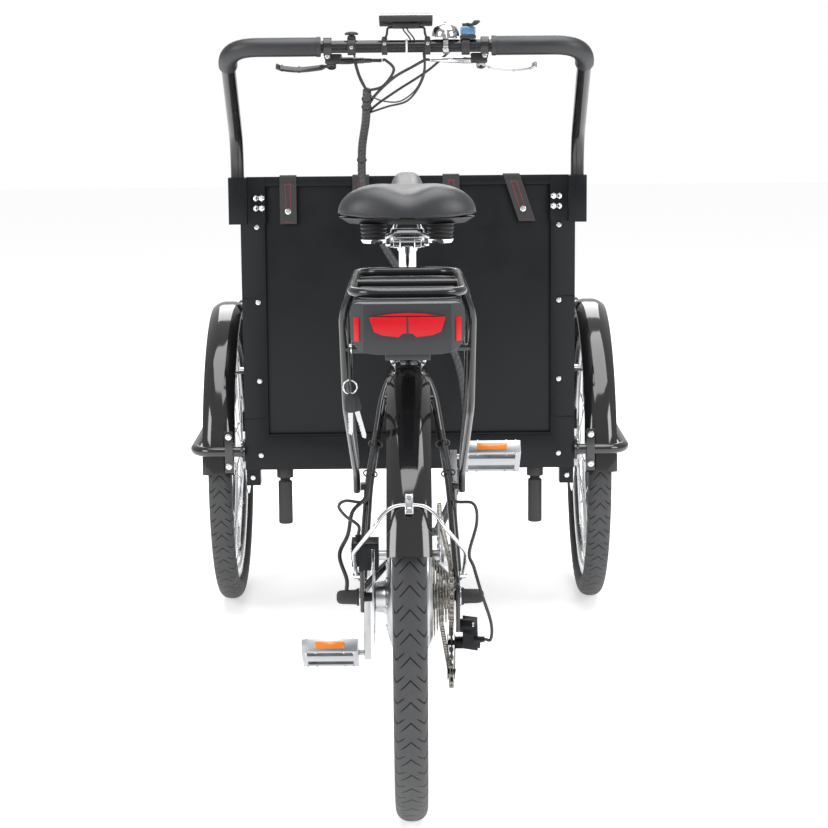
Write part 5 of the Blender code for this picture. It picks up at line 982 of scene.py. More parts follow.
def about_rear(x, distance, angle):
    """A point at a distance from the rear axle, its angle measured up from straight ahead."""
    return at(x, distance * cos(angle), REAR_RADIUS + distance * sin(angle))


BOTTOM_BRACKET = at(0, BRACKET_Y, BRACKET_Z)
seat_way = (seat_line(0.7) - seat_line(0.3)).normalized()
step_path = rounded([seat_line(0.500), at(0, 0.560, 0.388), at(0, 0.860, BRACKET_Z)], 0.10, 16)
beam_end = at(0, 1.274, 0.272)
parts = [
    tube(
        "shell", [BOTTOM_BRACKET - Vector((0.034, 0, 0)), BOTTOM_BRACKET + Vector((0.034, 0, 0))], 0.0215,
        40,
    ),
    tube("seat_tube", [seat_line(0.274), seat_line(0.715)], 0.017, 36),
    tube("collar", [seat_line(0.696), seat_line(0.7155)], 0.0215, 40),
    tube("beam", [at(0, 0.455, BRACKET_Z), beam_end], 0.025, 40),
    tube("step_tube", step_path, 0.019, 32),
    tube("sleeve", [at(0, 1.296, 0.232), at(0, 1.296, 0.3325)], 0.030, 48),
    weld(seat_line(0.306), seat_way, 0.0168),
    weld(at(0, 0.474, 0.2837), beam_end - at(0, 0.455, BRACKET_Z), 0.0248, 0.003),
    weld(at(0, 1.267, 0.2722), beam_end - at(0, 0.455, BRACKET_Z), 0.0248, 0.003),
    weld(
        step_path[0] + (step_path[1] - step_path[0]).normalized() * 0.020, step_path[1] - step_path[0],
        0.0188,
    ),
]
seat_top = seat_line(0.640)
seat_stay_angle = atan2(seat_top.z - REAR_RADIUS, seat_top.y - REAR)
chain_stay_angle = atan2(BRACKET_Z - REAR_RADIUS, BRACKET_Y)
BRIDGE_REACH = 0.3553


def seat_stay_x(distance):
    """How far out the seat stay lies at this distance from the axle."""
    wide = 0.07248 - 0.052 * distance
    if distance <= BRIDGE_REACH:
        return wide - max(0.0, distance - 0.20) * 0.09
    return 0.0405 - (distance - BRIDGE_REACH) * 0.34


dropouts = {
    -1: [
        (-0.020, 0.307), (0.020, 0.305), (0.040, 0.317), (0.040, 0.365), (-0.004, 0.3777), (-0.034, 0.3777)
    ],
    1: [(-0.022, 0.312), (-0.002, 0.271), (0.018, 0.271), (0.040, 0.315), (0.040, 0.365), (-0.020, 0.349)],
}
for side in (-1, 1):
    path = [about_rear(side * seat_stay_x(d), d, seat_stay_angle) for d in (0.030, 0.110, 0.200, 0.290)]
    path.append(about_rear(side * 0.0410, BRIDGE_REACH, seat_stay_angle))
    path.append(about_rear(side * 0.0330, BRIDGE_REACH + 0.030, seat_stay_angle))
    path.append(
        about_rear(side * 0.0100, hypot(seat_top.y - REAR, seat_top.z - REAR_RADIUS), seat_stay_angle)
    )
    parts.append(tube("seat_stay", rounded(path, 0.03, 5), 0.0070, 24))
    parts.append(
        weld(path[-1] + (path[-2] - path[-1]).normalized() * 0.012, path[-1] - path[-2], 0.0068, 0.0018)
    )
    path = [
        about_rear(side * 0.07248, 0.030, chain_stay_angle),
        about_rear(side * 0.0660, 0.120, chain_stay_angle),
        about_rear(side * 0.0500, 0.260, chain_stay_angle),
        about_rear(side * 0.0385, BRIDGE_REACH, chain_stay_angle),
        about_rear(side * 0.0240, 0.453, chain_stay_angle),
    ]
    parts.append(tube("chain_stay", rounded(path, 0.03, 5), 0.0070, 24))
    parts.append(
        weld(path[-1] + (path[-2] - path[-1]).normalized() * 0.016, path[-1] - path[-2], 0.0068, 0.0018)
    )
    outline = [tuple(p.yz) for p in rounded([at(0, y, z) for y, z in dropouts[side]], 0.006, 3, loop=True)]
    parts.append(soften(plate("dropout", outline, "X", *sorted((side * 0.0675, side * 0.0735))), 0.0010))
    boss = about_rear(0, 0.194, seat_stay_angle)
    ends = [Vector((side * seat_stay_x(0.194), *boss.yz)), Vector((side * 0.0747, *boss.yz))]
    parts.append(tube("boss", ends, 0.0065, 24))
for angle, half in ((seat_stay_angle, 0.0405), (chain_stay_angle, 0.0385)):
    ends = [about_rear(-half, BRIDGE_REACH, angle), about_rear(half, BRIDGE_REACH, angle)]
    parts.append(tube("bridge", ends, 0.0070, 24))
replace_node(joined("rear_frame_welded", *parts), gloss_paint, "main_frame")

# Rear fender. A rolled steel blade with turned-in edges, painted gloss black; a polished wire stay runs
# round it from the dropouts to a screwed plate, and two short struts tie its top to the rack.


def fender(name, centre, radius, width, start, end, steps):
    """The crowned section with its turned-in lips, spun round the wheel from start to end."""
    half, crown, thick = width / 2, 0.010, 0.0020
    shares = [k / 10 - 1 for k in range(21)]
    outer = [(half * t, radius - crown * max(0.0, (abs(t) - 0.25) / 0.75) ** 2) for t in shares]
    lip = radius - crown - 0.009
    inner = [(a * (1 - thick / half), r - thick) for a, r in reversed(outer)]
    section = [*outer, (half, lip), (half - thick, lip), *inner, (thick - half, lip), (-half, lip)]
    points = [centre + Vector((along, reach * cos(start), reach * sin(start))) for along, reach in section]
    ob = outline_of(name, points)
    bpy.ops.object.mode_set(mode="EDIT")
    bpy.ops.mesh.select_all(action="SELECT")
    bpy.ops.mesh.spin(steps=steps, angle=start - end, center=centre, axis=(1, 0, 0))
    bpy.ops.mesh.select_all(action="SELECT")
    bpy.ops.mesh.fill_holes(sides=0)
    bpy.ops.mesh.select_all(action="SELECT")
    bpy.ops.mesh.normals_make_consistent(inside=False)
    bpy.ops.object.mode_set(mode="OBJECT")
    return ob


blade = fender("rear_fender_rolled", REAR_AXLE, 0.348, 0.061, radians(-13), radians(157), 90)
replace_node(blade, gloss_paint, "rear_fender", 40)
HOLD = 0.348 + 0.0028 + 0.0003
half_wire = [
    at(0.0790, -0.004, 0.3605), at(0.0795, -0.130, 0.424), about_rear(0.0470, HOLD - 0.004, radians(150.5)),
    about_rear(0.0350, HOLD, radians(147.5)), about_rear(0.0180, HOLD, radians(145.5)),
]
wire_path = [Vector((-p.x, p.y, p.z)) for p in half_wire] + list(reversed(half_wire))
hold = about_rear(0, HOLD + 0.0030, radians(145.5))
clip = block("clip", (-0.0055, -0.0145, -0.0015), (0.0055, 0.0145, 0.0015), 0.0009)
clip.matrix_world = Matrix.Translation(hold) @ Matrix.Rotation(radians(145.5) - pi / 2, 4, "X")
stay = [tube("stay_wire", rounded(wire_path, 0.02, 8), 0.0028, 16), clip]
for side in (-1, 1):
    stay.append(
        tube("stay_eye", [at(side * 0.0738, -0.004, 0.3605), at(side * 0.0818, -0.004, 0.3605)], 0.0055, 24)
    )
replace_node(joined("rear_fender_stay_wire", *stay), bright_steel, "rear_fender_stay")
out = (about_rear(0, 1.0, radians(145.5)) - REAR_AXLE).normalized()
around = Vector((1, 0, 0)).cross(out)
spots = [hold + out * 0.0013 + around * 0.0095, hold + out * 0.0013 - around * 0.0095]
screws("fender_clip_screws", "rear_fender_stay", spots, [out] * 2, 0.0036, 0.0020)
spots = [at(side * 0.0815, -0.004, 0.3605) for side in (-1, 1)]
screws("stay_screws", "rear_fender_stay", spots, [(-1, 0, 0), (1, 0, 0)], 0.0042, 0.0026)
struts = []
for side in (-1, 1):
    struts.append(
        tube("strut", [at(side * 0.0220, 0.0675, 0.6645), at(side * 0.0420, 0.0675, 0.7130)], 0.0024, 14)
    )
    struts.append(
        tube(
            "strut_foot", [at(side * 0.0190, 0.0675, 0.6660), at(side * 0.0250, 0.0675, 0.6640)], 0.0042, 16
        )
    )
add_piece(joined("fender_top_struts", *struts), bright_steel, "rear_rack")

# Rear rack and battery. The rack is bent from thin steel tube with a tray welded under it. The battery
# slides on the tray: a moulded grey case with a red lamp lens across its rear face, and a lock at the left.

RACK_RADIUS = 0.0065
corners = [
    at(-0.075, -0.230, 0.802), at(0.075, -0.230, 0.802), at(0.075, 0.080, 0.802), at(-0.075, 0.080, 0.802)
]
parts = [tube("loop", rounded(corners, 0.045, 12, loop=True), RACK_RADIUS, 24, loop=True)]
parts.append(tube("rung", [at(-0.075, -0.090, 0.802), at(0.075, -0.090, 0.802)], 0.005, 20))
boss = about_rear(0, 0.194, seat_stay_angle)
foot_x = 0.0805
for side in (-1, 1):
    rear_leg = [
        at(side * 0.075, -0.170, 0.802),
        at(side * 0.089, -0.168, 0.768),
        at(side * 0.089, -0.060, 0.620),
        Vector((side * foot_x, boss.y - 0.010, boss.z + 0.020)),
        Vector((side * foot_x, boss.y, boss.z - 0.008)),
    ]
    front_leg = [
        at(side * 0.075, 0.050, 0.802), at(side * 0.089, 0.052, 0.768), at(side * 0.089, 0.096, 0.620),
        Vector((side * foot_x, boss.y + 0.002, boss.z + 0.028)),
    ]
    parts.append(tube("rear_leg", rounded(rear_leg, 0.018, 6), 0.0055, 20))
    parts.append(tube("front_leg", rounded(front_leg, 0.018, 6), 0.0055, 20))
    for leg in (rear_leg, front_leg):
        parts.append(weld(leg[0] - Vector((0, 0, 0.007)), (0, 0, 1), 0.0053, 0.0016))
for low_end, high_end in ((rear_leg[2], rear_leg[1]), (front_leg[2], front_leg[1])):
    share = (0.716 - low_end.z) / (high_end.z - low_end.z)
    y = low_end.y + (high_end.y - low_end.y) * share
    parts.append(tube("cross_rod", [Vector((-0.089, y, 0.716)), Vector((0.089, y, 0.716))], 0.005, 20))

parts.append(block("tray", at(-0.030, -0.250, 0.714), at(0.030, 0.145, 0.7267), 0.0015))
parts.append(block("holder", at(-0.055, 0.1003, 0.700), at(0.055, 0.145, 0.7905), 0.004))
strut_y = BRACKET_Y - SEAT_SLOPE * (0.7135 - BRACKET_Z) - 0.0215 * hypot(1, SEAT_SLOPE) - 0.0003
parts.append(tube("strut", [at(0, 0.140, 0.7075), at(0, strut_y, 0.7075)], 0.006, 24))
parts.append(tube("lock", [at(-0.025, -0.165, 0.7192), at(-0.0795, -0.165, 0.7192)], 0.006, 28))
parts.append(soften(cut_by(
    block("eye", at(-0.0812, -0.174, 0.670), at(-0.0788, -0.156, 0.7227)),
    tube("drill", [at(-0.10, -0.165, 0.677), at(-0.07, -0.165, 0.677)], 0.0028, 20),
), 0.0006))
semi_gloss = finish("semi_gloss_black_paint", (0.013, 0.0135, 0.015), 0.20, shade=0.08, change=0.05,
                    grain=(700.0, 0.00003), Coat_Weight=0.25, Coat_Roughness=0.12)
replace_node(joined("rack_tubes", *parts), semi_gloss, "rear_rack")
lock_face = spun(
    "battery_lock_face",
    [(-0.0800, 0.0), (-0.0812, 0.0045), (-0.0800, 0.0066), (-0.0770, 0.0066), (-0.0770, 0.0)],
    at(0, -0.165, 0.7192), 40,
)
add_piece(lock_face, bright_steel, "rear_rack")

case_grey = finish(
    "battery_case_grey", (0.026, 0.029, 0.033), 0.42, shade=0.08, change=0.05, grain=(1500.0, 0.0001)
)
shape = [(0.60, 0.0), (0.88, 0.08), (1.0, 0.27), (1.0, 1.0)]
shape += [(-a, b) for a, b in reversed(shape)]
corners = [Vector((0.075 * a, 0.0, 0.727 + 0.0675 * b)) for a, b in shape]
outline = [(p.x, p.z) for p in rounded(corners, 0.013, 6, loop=True)]
case = plate("battery_case_moulded", outline, "Y", -0.290 + REAR, 0.100 + REAR)
marks = []
for side in (-1, 1):
    facing = Vector((side * 0.727, -0.687, 0))
    turned = Matrix.Translation(
        at(side * 0.0665, -0.281, 0.7600)
    ) @ facing.to_track_quat("Z", "Y").to_matrix().to_4x4()
    tool = block("corner", (-0.1, -0.1, 0.0), (0.1, 0.1, 0.04))
    tool.matrix_world = turned
    cut_by(case, tool)
    mark = block("side_mark", (-0.0050, -0.0160, -0.0006), (0.0050, 0.0160, 0.0014), 0.0008)
    mark.matrix_world = turned
    marks.append(mark)
replace_node(soften(case, 0.0035, 4), case_grey, "battery_case", 30)
seams = []
for y in (-0.262, 0.060):
    ring = [Vector((a * 1.004, y + REAR, 0.7608 + (b - 0.7608) * 1.008)) for a, b in outline]
    seams.append(tube("seam", ring, 0.0009, 8, loop=True))
add_piece(joined("battery_seams", *seams), black_plastic, "battery_case")

# The red lens is given a faint painted glow by its emission, which the battery's side reflectors share though
# they are no lamps.
red_lens_painted_glow = finish("red_lens_painted_glow", (0.50, 0.006, 0.012), 0.12, shade=0.06, change=0.02, grain=(500.0, 0.00015),
                  Specular_IOR_Level=0.3, Emission_Color=(0.60, 0.006, 0.012, 1.0), Emission_Strength=0.10)
lens_z = 0.7648
outline = [
    (0.050, lens_z + 0.0125), (0.0440, lens_z - 0.0065), (0.0340, lens_z - 0.0110),
    (0.0115, lens_z - 0.0140), (0.0065, lens_z - 0.0090),
]
outline += [(-x, z) for x, z in reversed(outline)]
lens = plate(
    "tail_lamp_lens",
    [(p.x, p.z) for p in rounded([Vector((a, 0, b)) for a, b in outline], 0.0015, 3, loop=True)], "Y",
    -0.2962 + REAR, -0.2903 + REAR,
)
outline = [(0.040, lens_z + 0.0137), (0.022, lens_z + 0.0166), (0.0, lens_z + 0.0178)]
outline += [(-x, z) for x, z in reversed(outline[:2])]
brow = plate("brow", outline, "Y", -0.2945 + REAR, -0.2899 + REAR)
lens = joined("tail_lamp_lens", soften(lens, 0.0010, 3), soften(brow, 0.0006, 2))
replace_node(lens, red_lens_painted_glow, "tail_light_lens", 30)
divider = block(
    "lamp_divider", at(-0.0014, -0.2966, lens_z - 0.0105), at(0.0014, -0.2903, lens_z + 0.0128), 0.0005
)
add_piece(divider, black_plastic, "tail_light_lens")
# The side reflectors take the red lens's painted glow.
add_piece(joined("side_reflectors", *marks), red_lens_painted_glow, "battery_case")

# Key ring. Two flat steel keys with black plastic heads hang from a split ring, which passes through the
# steel eye under the battery lock; one key hangs askew behind the other.

ring_seat = 0.677 - 0.0028 * cos(pi / 8) + 0.0011 + 0.0003
ring_centre = at(-0.080, -0.165, ring_seat - 0.0095)
turns = [2 * pi * k / 64 for k in range(64)]
path = [ring_centre + Vector((cos(a), 0, sin(a))) * 0.0095 for a in turns]
replace_node(tube("split_ring", path, 0.0011, 14, loop=True), bright_steel, "key_ring")
heads, blades = [], []
for lean, reach, behind in ((0.0, 0.058, 0.0), (radians(-15), 0.066, 0.0034)):
    place = Matrix.Translation(ring_centre + Vector((0, behind, 0))) @ Matrix.Rotation(lean, 4, "Y")
    outline = [
        (-0.0030, -0.0088), (0.0030, -0.0088), (0.0078, -0.0170), (0.0078, -0.0330), (0.0048, -0.0360),
        (-0.0048, -0.0360), (-0.0078, -0.0330), (-0.0078, -0.0170),
    ]
    outline = [(p.x, p.z) for p in rounded([Vector((a, 0, b)) for a, b in outline], 0.0022, 3, loop=True)]
    head = soften(plate("head", outline, "Y", -0.0015, 0.0015), 0.0007, 2)
    head.matrix_world = place
    heads.append(head)
    tip = -0.0095 - reach
    outline = [
        (-0.0034, -0.0350), (0.0034, -0.0350), (0.0034, tip + 0.0050), (0.0012, tip),
        (-0.0018, tip + 0.0020),
    ]
    for k in range(5):
        z = tip + 0.0040 + k * 0.0042
        outline += [(-0.0034, z), (-0.0024 + 0.0006 * (k % 2), z + 0.0021)]
    outline += [(-0.0034, tip + 0.0260)]
    blade = plate("blade", outline, "Y", -0.0008, 0.0008)
    blade.matrix_world = place
    blades.append(blade)
add_piece(joined("key_heads", *heads), black_plastic, "key_ring")
add_piece(joined("key_blades", *blades), bright_steel, "key_ring", 25)

# Seat post. A chromed tube with a forged clamp on top, whose two jaws hold the saddle rails
# between them on one cross bolt; a quick-release collar on the frame pinches it at its height.

chrome = finish("chrome", (0.86, 0.87, 0.89), 0.07, 1.0, shade=0.03, change=0.03, grain=(300.0, 0.000006))
RAIL_Z = 0.849
seat_post = tube("post", [seat_line(0.530), seat_line(0.831)], 0.0136, 40)
head = seat_line(0.839)
cradle = spun(
    "cradle",
    [
        (-0.0225, 0.0), (-0.0225, 0.0075), (-0.0210, 0.0095), (-0.0120, 0.0100), (-0.0105, 0.0122),
        (0.0105, 0.0122), (0.0120, 0.0100), (0.0210, 0.0095), (0.0225, 0.0075), (0.0225, 0.0),
    ],
    Vector((0, head.y, 0.8350)),
    40,
)
neck = tube("neck", [seat_line(0.824), seat_line(0.834)], 0.0158, 40)
jaw_low = block("jaw", (-0.0240, head.y - 0.0175, 0.8395), (0.0240, head.y + 0.0175, 0.8451), 0.0016, 3)
parts = [seat_post, cradle, neck, jaw_low]
for side in (-1, 1):
    steps = [
        (0.0220, 0.0), (0.0220, 0.0085), (0.0262, 0.0085), (0.0262, 0.0050), (0.0275, 0.0048), (0.0275, 0.0)
    ]
    parts.append(spun("washer", [(side * a, r) for a, r in steps], Vector((0, head.y, 0.8350)), 30))
    parts.append(
        spun(
            "nut",
            [
                (side * a, r)
                for a, r in (
                    (0.0270, 0.0), (0.0270, 0.0066), (0.0325, 0.0066), (0.0335, 0.0056), (0.0335, 0.0)
                )
            ],
            Vector((0, head.y, 0.8350)),
            6,
        )
    )
replace_node(joined("seat_post_chromed", *parts), chrome, "seatpost")
lever = [
    seat_line(0.7045) + Vector(p)
    for p in (
        (0.020, -0.012, 0.0), (0.026, -0.006, -0.001), (0.0285, 0.012, -0.004), (0.0275, 0.034, -0.010)
    )
]
release = [
    tube("release_lever", flowing(lever, 8), 0.0032, 16),
    tube(
        "release_bolt",
        [seat_line(0.7045) + Vector((-0.0225, -0.012, 0)), seat_line(0.7045) + Vector((0.0225, -0.012, 0))],
        0.0040, 20,
    ),
]
add_piece(joined("seat_quick_release", *release), bright_steel, "main_frame")

# Saddle. A tight dark cover over foam with two round lobes at the back and a narrow paler nose. Its moulded
# shell stands on two rubber bellows over coil springs, in chromed cups at the ends of the bent rails.

BACK, LONG, WIDE, NOSE, UNDER = 0.078, 0.280, 0.104, 0.0275, 0.8800


def saddle_half(share):
    """Half of the saddle's width at a share of its length from the back."""
    ease = min(1.0, max(0.0, (share - 0.20) / 0.46))
    ease = ease * ease * (3 - 2 * ease)
    back = (1 - (1 - min(1.0, share / 0.24)) ** 2.6) ** 0.5
    tip = (1 - (1 - min(1.0, (1 - share) / 0.10)) ** 2.6) ** 0.5
    return (WIDE * (1 - ease) + NOSE * ease) * back * tip


def saddle_height(share):
    """How far the crown stands over the lower edge."""
    back = (1 - (1 - min(1.0, share / 0.17)) ** 2.4) ** 0.5
    tip = (1 - (1 - min(1.0, (1 - share) / 0.10)) ** 2.0) ** 0.5
    ease = min(1.0, max(0.0, (share - 0.25) / 0.40))
    return (0.0500 - 0.0065 * ease * ease * (3 - 2 * ease)) * back * tip


def saddle_edge(share):
    """The height of the lower edge, which rises towards the nose."""
    return UNDER + 0.055 * max(0.0, share - 0.60) ** 1.2


def saddle_section(share, count=64):
    """A closed section of the cover across the saddle: lobes with a valley between them, over a flat base."""
    half, height, low = saddle_half(share), saddle_height(share), saddle_edge(share)
    lobes = max(0.0, 1 - max(0.0, share - 0.12) / 0.40)
    rim = height * 0.17
    ring = []
    for k in range(count):
        turn = 2 * pi * (k + 0.5) / count
        u, up = cos(turn), sin(turn) > 0
        across = half * (abs(u) ** 0.90) * (1 if u > 0 else -1)
        if up:
            rise = (height - rim) * (1 - abs(u) ** 3.0) ** 0.56
            valley = 0.0135 * lobes * (height / 0.05) * 2.718 ** (-((across / 0.027) ** 2))
            z = low + rim + rise - valley
        else:
            z = low + rim - rim * (1 - abs(u) ** 9) ** 0.5
        ring.append((across, z))
    return ring


def skinned(name, rings):
    """A closed skin over rings of points, with a face at each end."""
    bm = bmesh.new()
    rows = [[bm.verts.new(spot) for spot in ring] for ring in rings]
    for row, after in zip(rows, rows[1:]):
        for k in range(len(row)):
            j = (k + 1) % len(row)
            bm.faces.new((row[k], row[j], after[j], after[k]))
    bm.faces.new(rows[0])
    bm.faces.new(rows[-1])
    bmesh.ops.recalc_face_normals(bm, faces=bm.faces)
    return as_object(name, bm)


rings = []
for k in range(72):
    share = 0.5 - 0.5 * cos(pi * (0.015 + 0.97 * (k + 0.5) / 72))
    rings.append([at(x, BACK + LONG * share, z) for x, z in saddle_section(share)])
saddle_cover = skinned("saddle_cover", rings)
cover_look = finish("saddle_cover_dark", (0.031, 0.032, 0.036), 0.36, shade=0.07, patch=9.0, change=0.05,
                    grain=(1900.0, 0.00014))
nodes, link = cover_look.node_tree.nodes, cover_look.node_tree.links.new
place = nodes.new("ShaderNodeTexCoord")
along = nodes.new("ShaderNodeSeparateXYZ")
paler = nodes.new("ShaderNodeMapRange")
link(place.outputs["Object"], along.inputs["Vector"])
link(along.outputs["Y"], paler.inputs["Value"])
paler.inputs["From Min"].default_value = at(0, 0.215, 0).y
paler.inputs["From Max"].default_value = at(0, 0.250, 0).y
tones = nodes.new("ShaderNodeMix")
tones.data_type = "RGBA"
tones.inputs["A"].default_value = (0.031, 0.032, 0.036, 1.0)
tones.inputs["B"].default_value = (0.085, 0.086, 0.090, 1.0)
link(paler.outputs["Result"], tones.inputs["Factor"])
link(tones.outputs["Result"], nodes["uneven"].inputs["Colour"])
pick(saddle_cover)
bpy.ops.object.shade_smooth_by_angle(angle=radians(60))
carry(dress(saddle_cover, cover_look), "saddle_cushion")

seam = []
for side in (1, -1):
    shares = [0.01 + 0.975 * k / 70 for k in range(71)]
    shares = shares if side > 0 else shares[::-1]
    for share in shares:
        rim = saddle_height(share) * 0.17
        seam.append(
            at(side * (saddle_half(share) - 0.0002), BACK + LONG * share, saddle_edge(share) + rim * 0.75)
        )
add_piece(tube("saddle_seam", seam, 0.0009, 10, loop=True), black_plastic, "saddle_cushion")
skirt = [(side * saddle_half(s) * 0.990, BACK + 0.004 + (LONG - 0.012) * s) for side, row in
         ((1, range(1, 36)), (-1, range(35, 0, -1))) for s in [k / 46 for k in row]]
shell = plate("saddle_shell", [(x, y + REAR) for x, y in skirt], "Z", 0.8700, 0.8797)
for v in shell.data.vertices:
    if v.co.z < 0.875:
        v.co.x *= 0.86
        v.co.y += (at(0, BACK + 0.10, 0).y - v.co.y) * 0.13
parts = [soften(shell, 0.0030, 4)]
for side in (-1, 1):
    folds = [(0.8460, 0.0), (0.8460, 0.0168)]
    for k in range(17):
        height = 0.8465 + 0.0245 * k / 16
        folds.append((height, 0.0172 + 0.0034 * k / 16 + 0.0014 * cos(pi * k / 2)))
    folds.append((0.8712, 0.0))
    parts.append(spun("bellows", folds, at(side * 0.050, 0.115, 0), 40, axis="Z"))
replace_node(joined("saddle_shell_and_bellows", *parts), black_plastic, "saddle_base", 50)
parts = []
for side in (-1, 1):
    rail = [
        at(side * 0.050, 0.115, 0.845),
        at(side * 0.022, head.y - REAR - 0.030, RAIL_Z),
        at(side * 0.022, head.y - REAR + 0.030, RAIL_Z),
        at(side * 0.010, 0.308, 0.879),
    ]
    parts.append(tube("rail", rounded(rail, 0.02, 8), 0.0036, 20))
    cup = [
        (0.8400, 0.0), (0.8400, 0.0105), (0.8420, 0.0168), (0.8455, 0.0190), (0.8475, 0.0192),
        (0.8475, 0.0168), (0.8460, 0.0160), (0.8460, 0.0),
    ]
    parts.append(spun("cup", cup, at(side * 0.050, 0.115, 0), 40, axis="Z"))
add_piece(joined("saddle_rails", *parts), chrome, "saddle_base")
jaw = block("saddle_clamp", (-0.026, head.y - 0.016, 0.8462), (0.026, head.y + 0.016, 0.8560), 0.0018, 3)
add_piece(jaw, chrome, "saddle_base")

# The box's steel frame. Folded corner posts and rails in satin black, welded over three cross members, with
# wheel mounts at the sides, rubber-sleeved steering stops below, and sockets for the push handle's poles.

BOX_REAR, BOX_HALF, BOX_TOP = 0.985, 0.320, 0.900
fair("box_frame", satin_paint, edge=0.0011)
places, ways = [], []
for side in (-1, 1):
    for z in (0.8045, 0.660, 0.507, 0.361):
        places.append(at(side * 0.289, BOX_REAR - 0.0002, z))
        ways.append((0, -1, 0))
    places.append(at(side * 0.306, BOX_REAR + 0.0058, 0.316))
    ways.append((0, -1, 0))
    for y in (1.02, 1.30, 1.58):
        places.append(at(side * (BOX_HALF + 0.0002), y, 0.378))
        ways.append((side, 0, 0))
screws("box_screws", "box_frame", places, ways, 0.0047, 0.0032)
places = []
for side in (-1, 1):
    for z in (0.860, 0.841):
        for x in (0.278, 0.2895):
            places.append(
                Matrix.Translation(at(side * x, BOX_REAR - 0.0075, z)) @ Matrix.Rotation(pi / 2, 4, "X")
            )
nut = bar("nut", 0.0062, 0.0060, 6, 0.0006)
dome = spun(
    "dome", [(-0.0035, 0.0), (0.0030, 0.0), (0.0055, 0.0022), (0.0062, 0.0040), (-0.0035, 0.0040)],
    (0, 0, 0), 20, axis="Z",
)
add_piece(strewn("socket_nuts", joined("nut", nut, dome), places), bright_steel, "box_frame")
studs = []
for side in (-1, 1):
    path = [at(side * 0.3203, 1.087, 0.5150), at(side * 0.3350, 1.087, 0.5150)]
    studs.append(tube("stud", path, 0.0052, 24))
add_piece(joined("fender_studs", *studs), bright_steel, "box_frame")
sleeves = []
for side in (-1, 1):
    section = [
        (0.2208, 0.0), (0.2208, 0.0110), (0.2225, 0.0136), (0.3035, 0.0136), (0.3052, 0.0125),
        (0.3052, 0.0100), (0.2900, 0.0),
    ]
    sleeves.append(spun("sleeve", section, at(side * 0.245, 1.010, 0), 36, axis="Z"))
    ring = [(0.3130, 0.0100), (0.3130, 0.0160), (0.3320, 0.0160), (0.3320, 0.0100)]
    sleeves.append(spun("collar", ring, at(side * 0.245, 1.010, 0), 36, axis="Z"))
add_piece(joined("stop_sleeves", *sleeves), rubber, "box_frame")
lip = [at(x, BOX_REAR - 0.0002, 0.4005) for x in (-0.2735, 0.2735)]
edges = [tube("edge", lip, 0.0016, 8)]
for side in (-1, 1):
    edges.append(
        tube(
            "edge",
            [at(side * 0.2745, BOX_REAR - 0.0002, 0.400), at(side * 0.2745, BOX_REAR - 0.0002, 0.880)],
            0.0012, 8,
        )
    )
    for z, x0, x1 in ((0.8125, 0.277, 0.318), (0.667, 0.295, 0.319), (0.432, 0.276, 0.319)):
        edges.append(
            tube(
                "fold", [at(side * x0, BOX_REAR - 0.0001, z), at(side * x1, BOX_REAR - 0.0001, z)], 0.0011,
                8,
            )
        )
add_piece(joined("rail_edges", *edges), satin_paint, "box_frame")

# The box's boards. Black film-faced board closes the frame on all sides; inside are a low floor and a bench
# across the rear, whose front riser makes a locker under it.

for node in ("panel_rear", "panel_front", "panel_left", "panel_right"):
    fair(node, satin_paint, edge=0.0008)
board = finish(
    "film_faced_board", (0.010, 0.0105, 0.012), 0.50, shade=0.14, patch=24.0, change=0.07,
    grain=(420.0, 0.00010),
)
fair("box_floor", board, edge=0.0008)
fair("bench", board, edge=0.0014)

# Webbing straps. Four straps of black webbing hang over the rear rail to hold a rain cover; each has a
# folded end sewn down with red thread, and the outer two are screwed to the panel through it.

webbing = finish(
    "black_webbing", (0.020, 0.020, 0.021), 0.78, shade=0.12, patch=30.0, change=0.05,
    grain=(2400.0, 0.0003), Sheen_Weight=0.25,
)
red_thread = finish("red_thread", (0.32, 0.012, 0.030), 0.60, shade=0.10, patch=60.0)


def band(name, path, shifts, widths, thick, side_way=Vector((1, 0, 0))):
    """A flat strap along a path that lies across side_way; each point has its own shift and width."""
    rings = []
    for i, (point, shift, width) in enumerate(zip(path, shifts, widths)):
        ahead = (path[min(i + 1, len(path) - 1)] - path[max(i - 1, 0)]).normalized()
        out = side_way.cross(ahead).normalized() * thick / 2
        middle = point + side_way * shift
        half = side_way * width / 2
        inset = side_way * (width / 2 - thick * 0.4)
        upper = [middle - half, middle - inset + out, middle + inset + out]
        rings.append([*upper, middle + half, middle + inset - out, middle - inset - out])
    return skinned(name, rings)


FOLD = 0.082


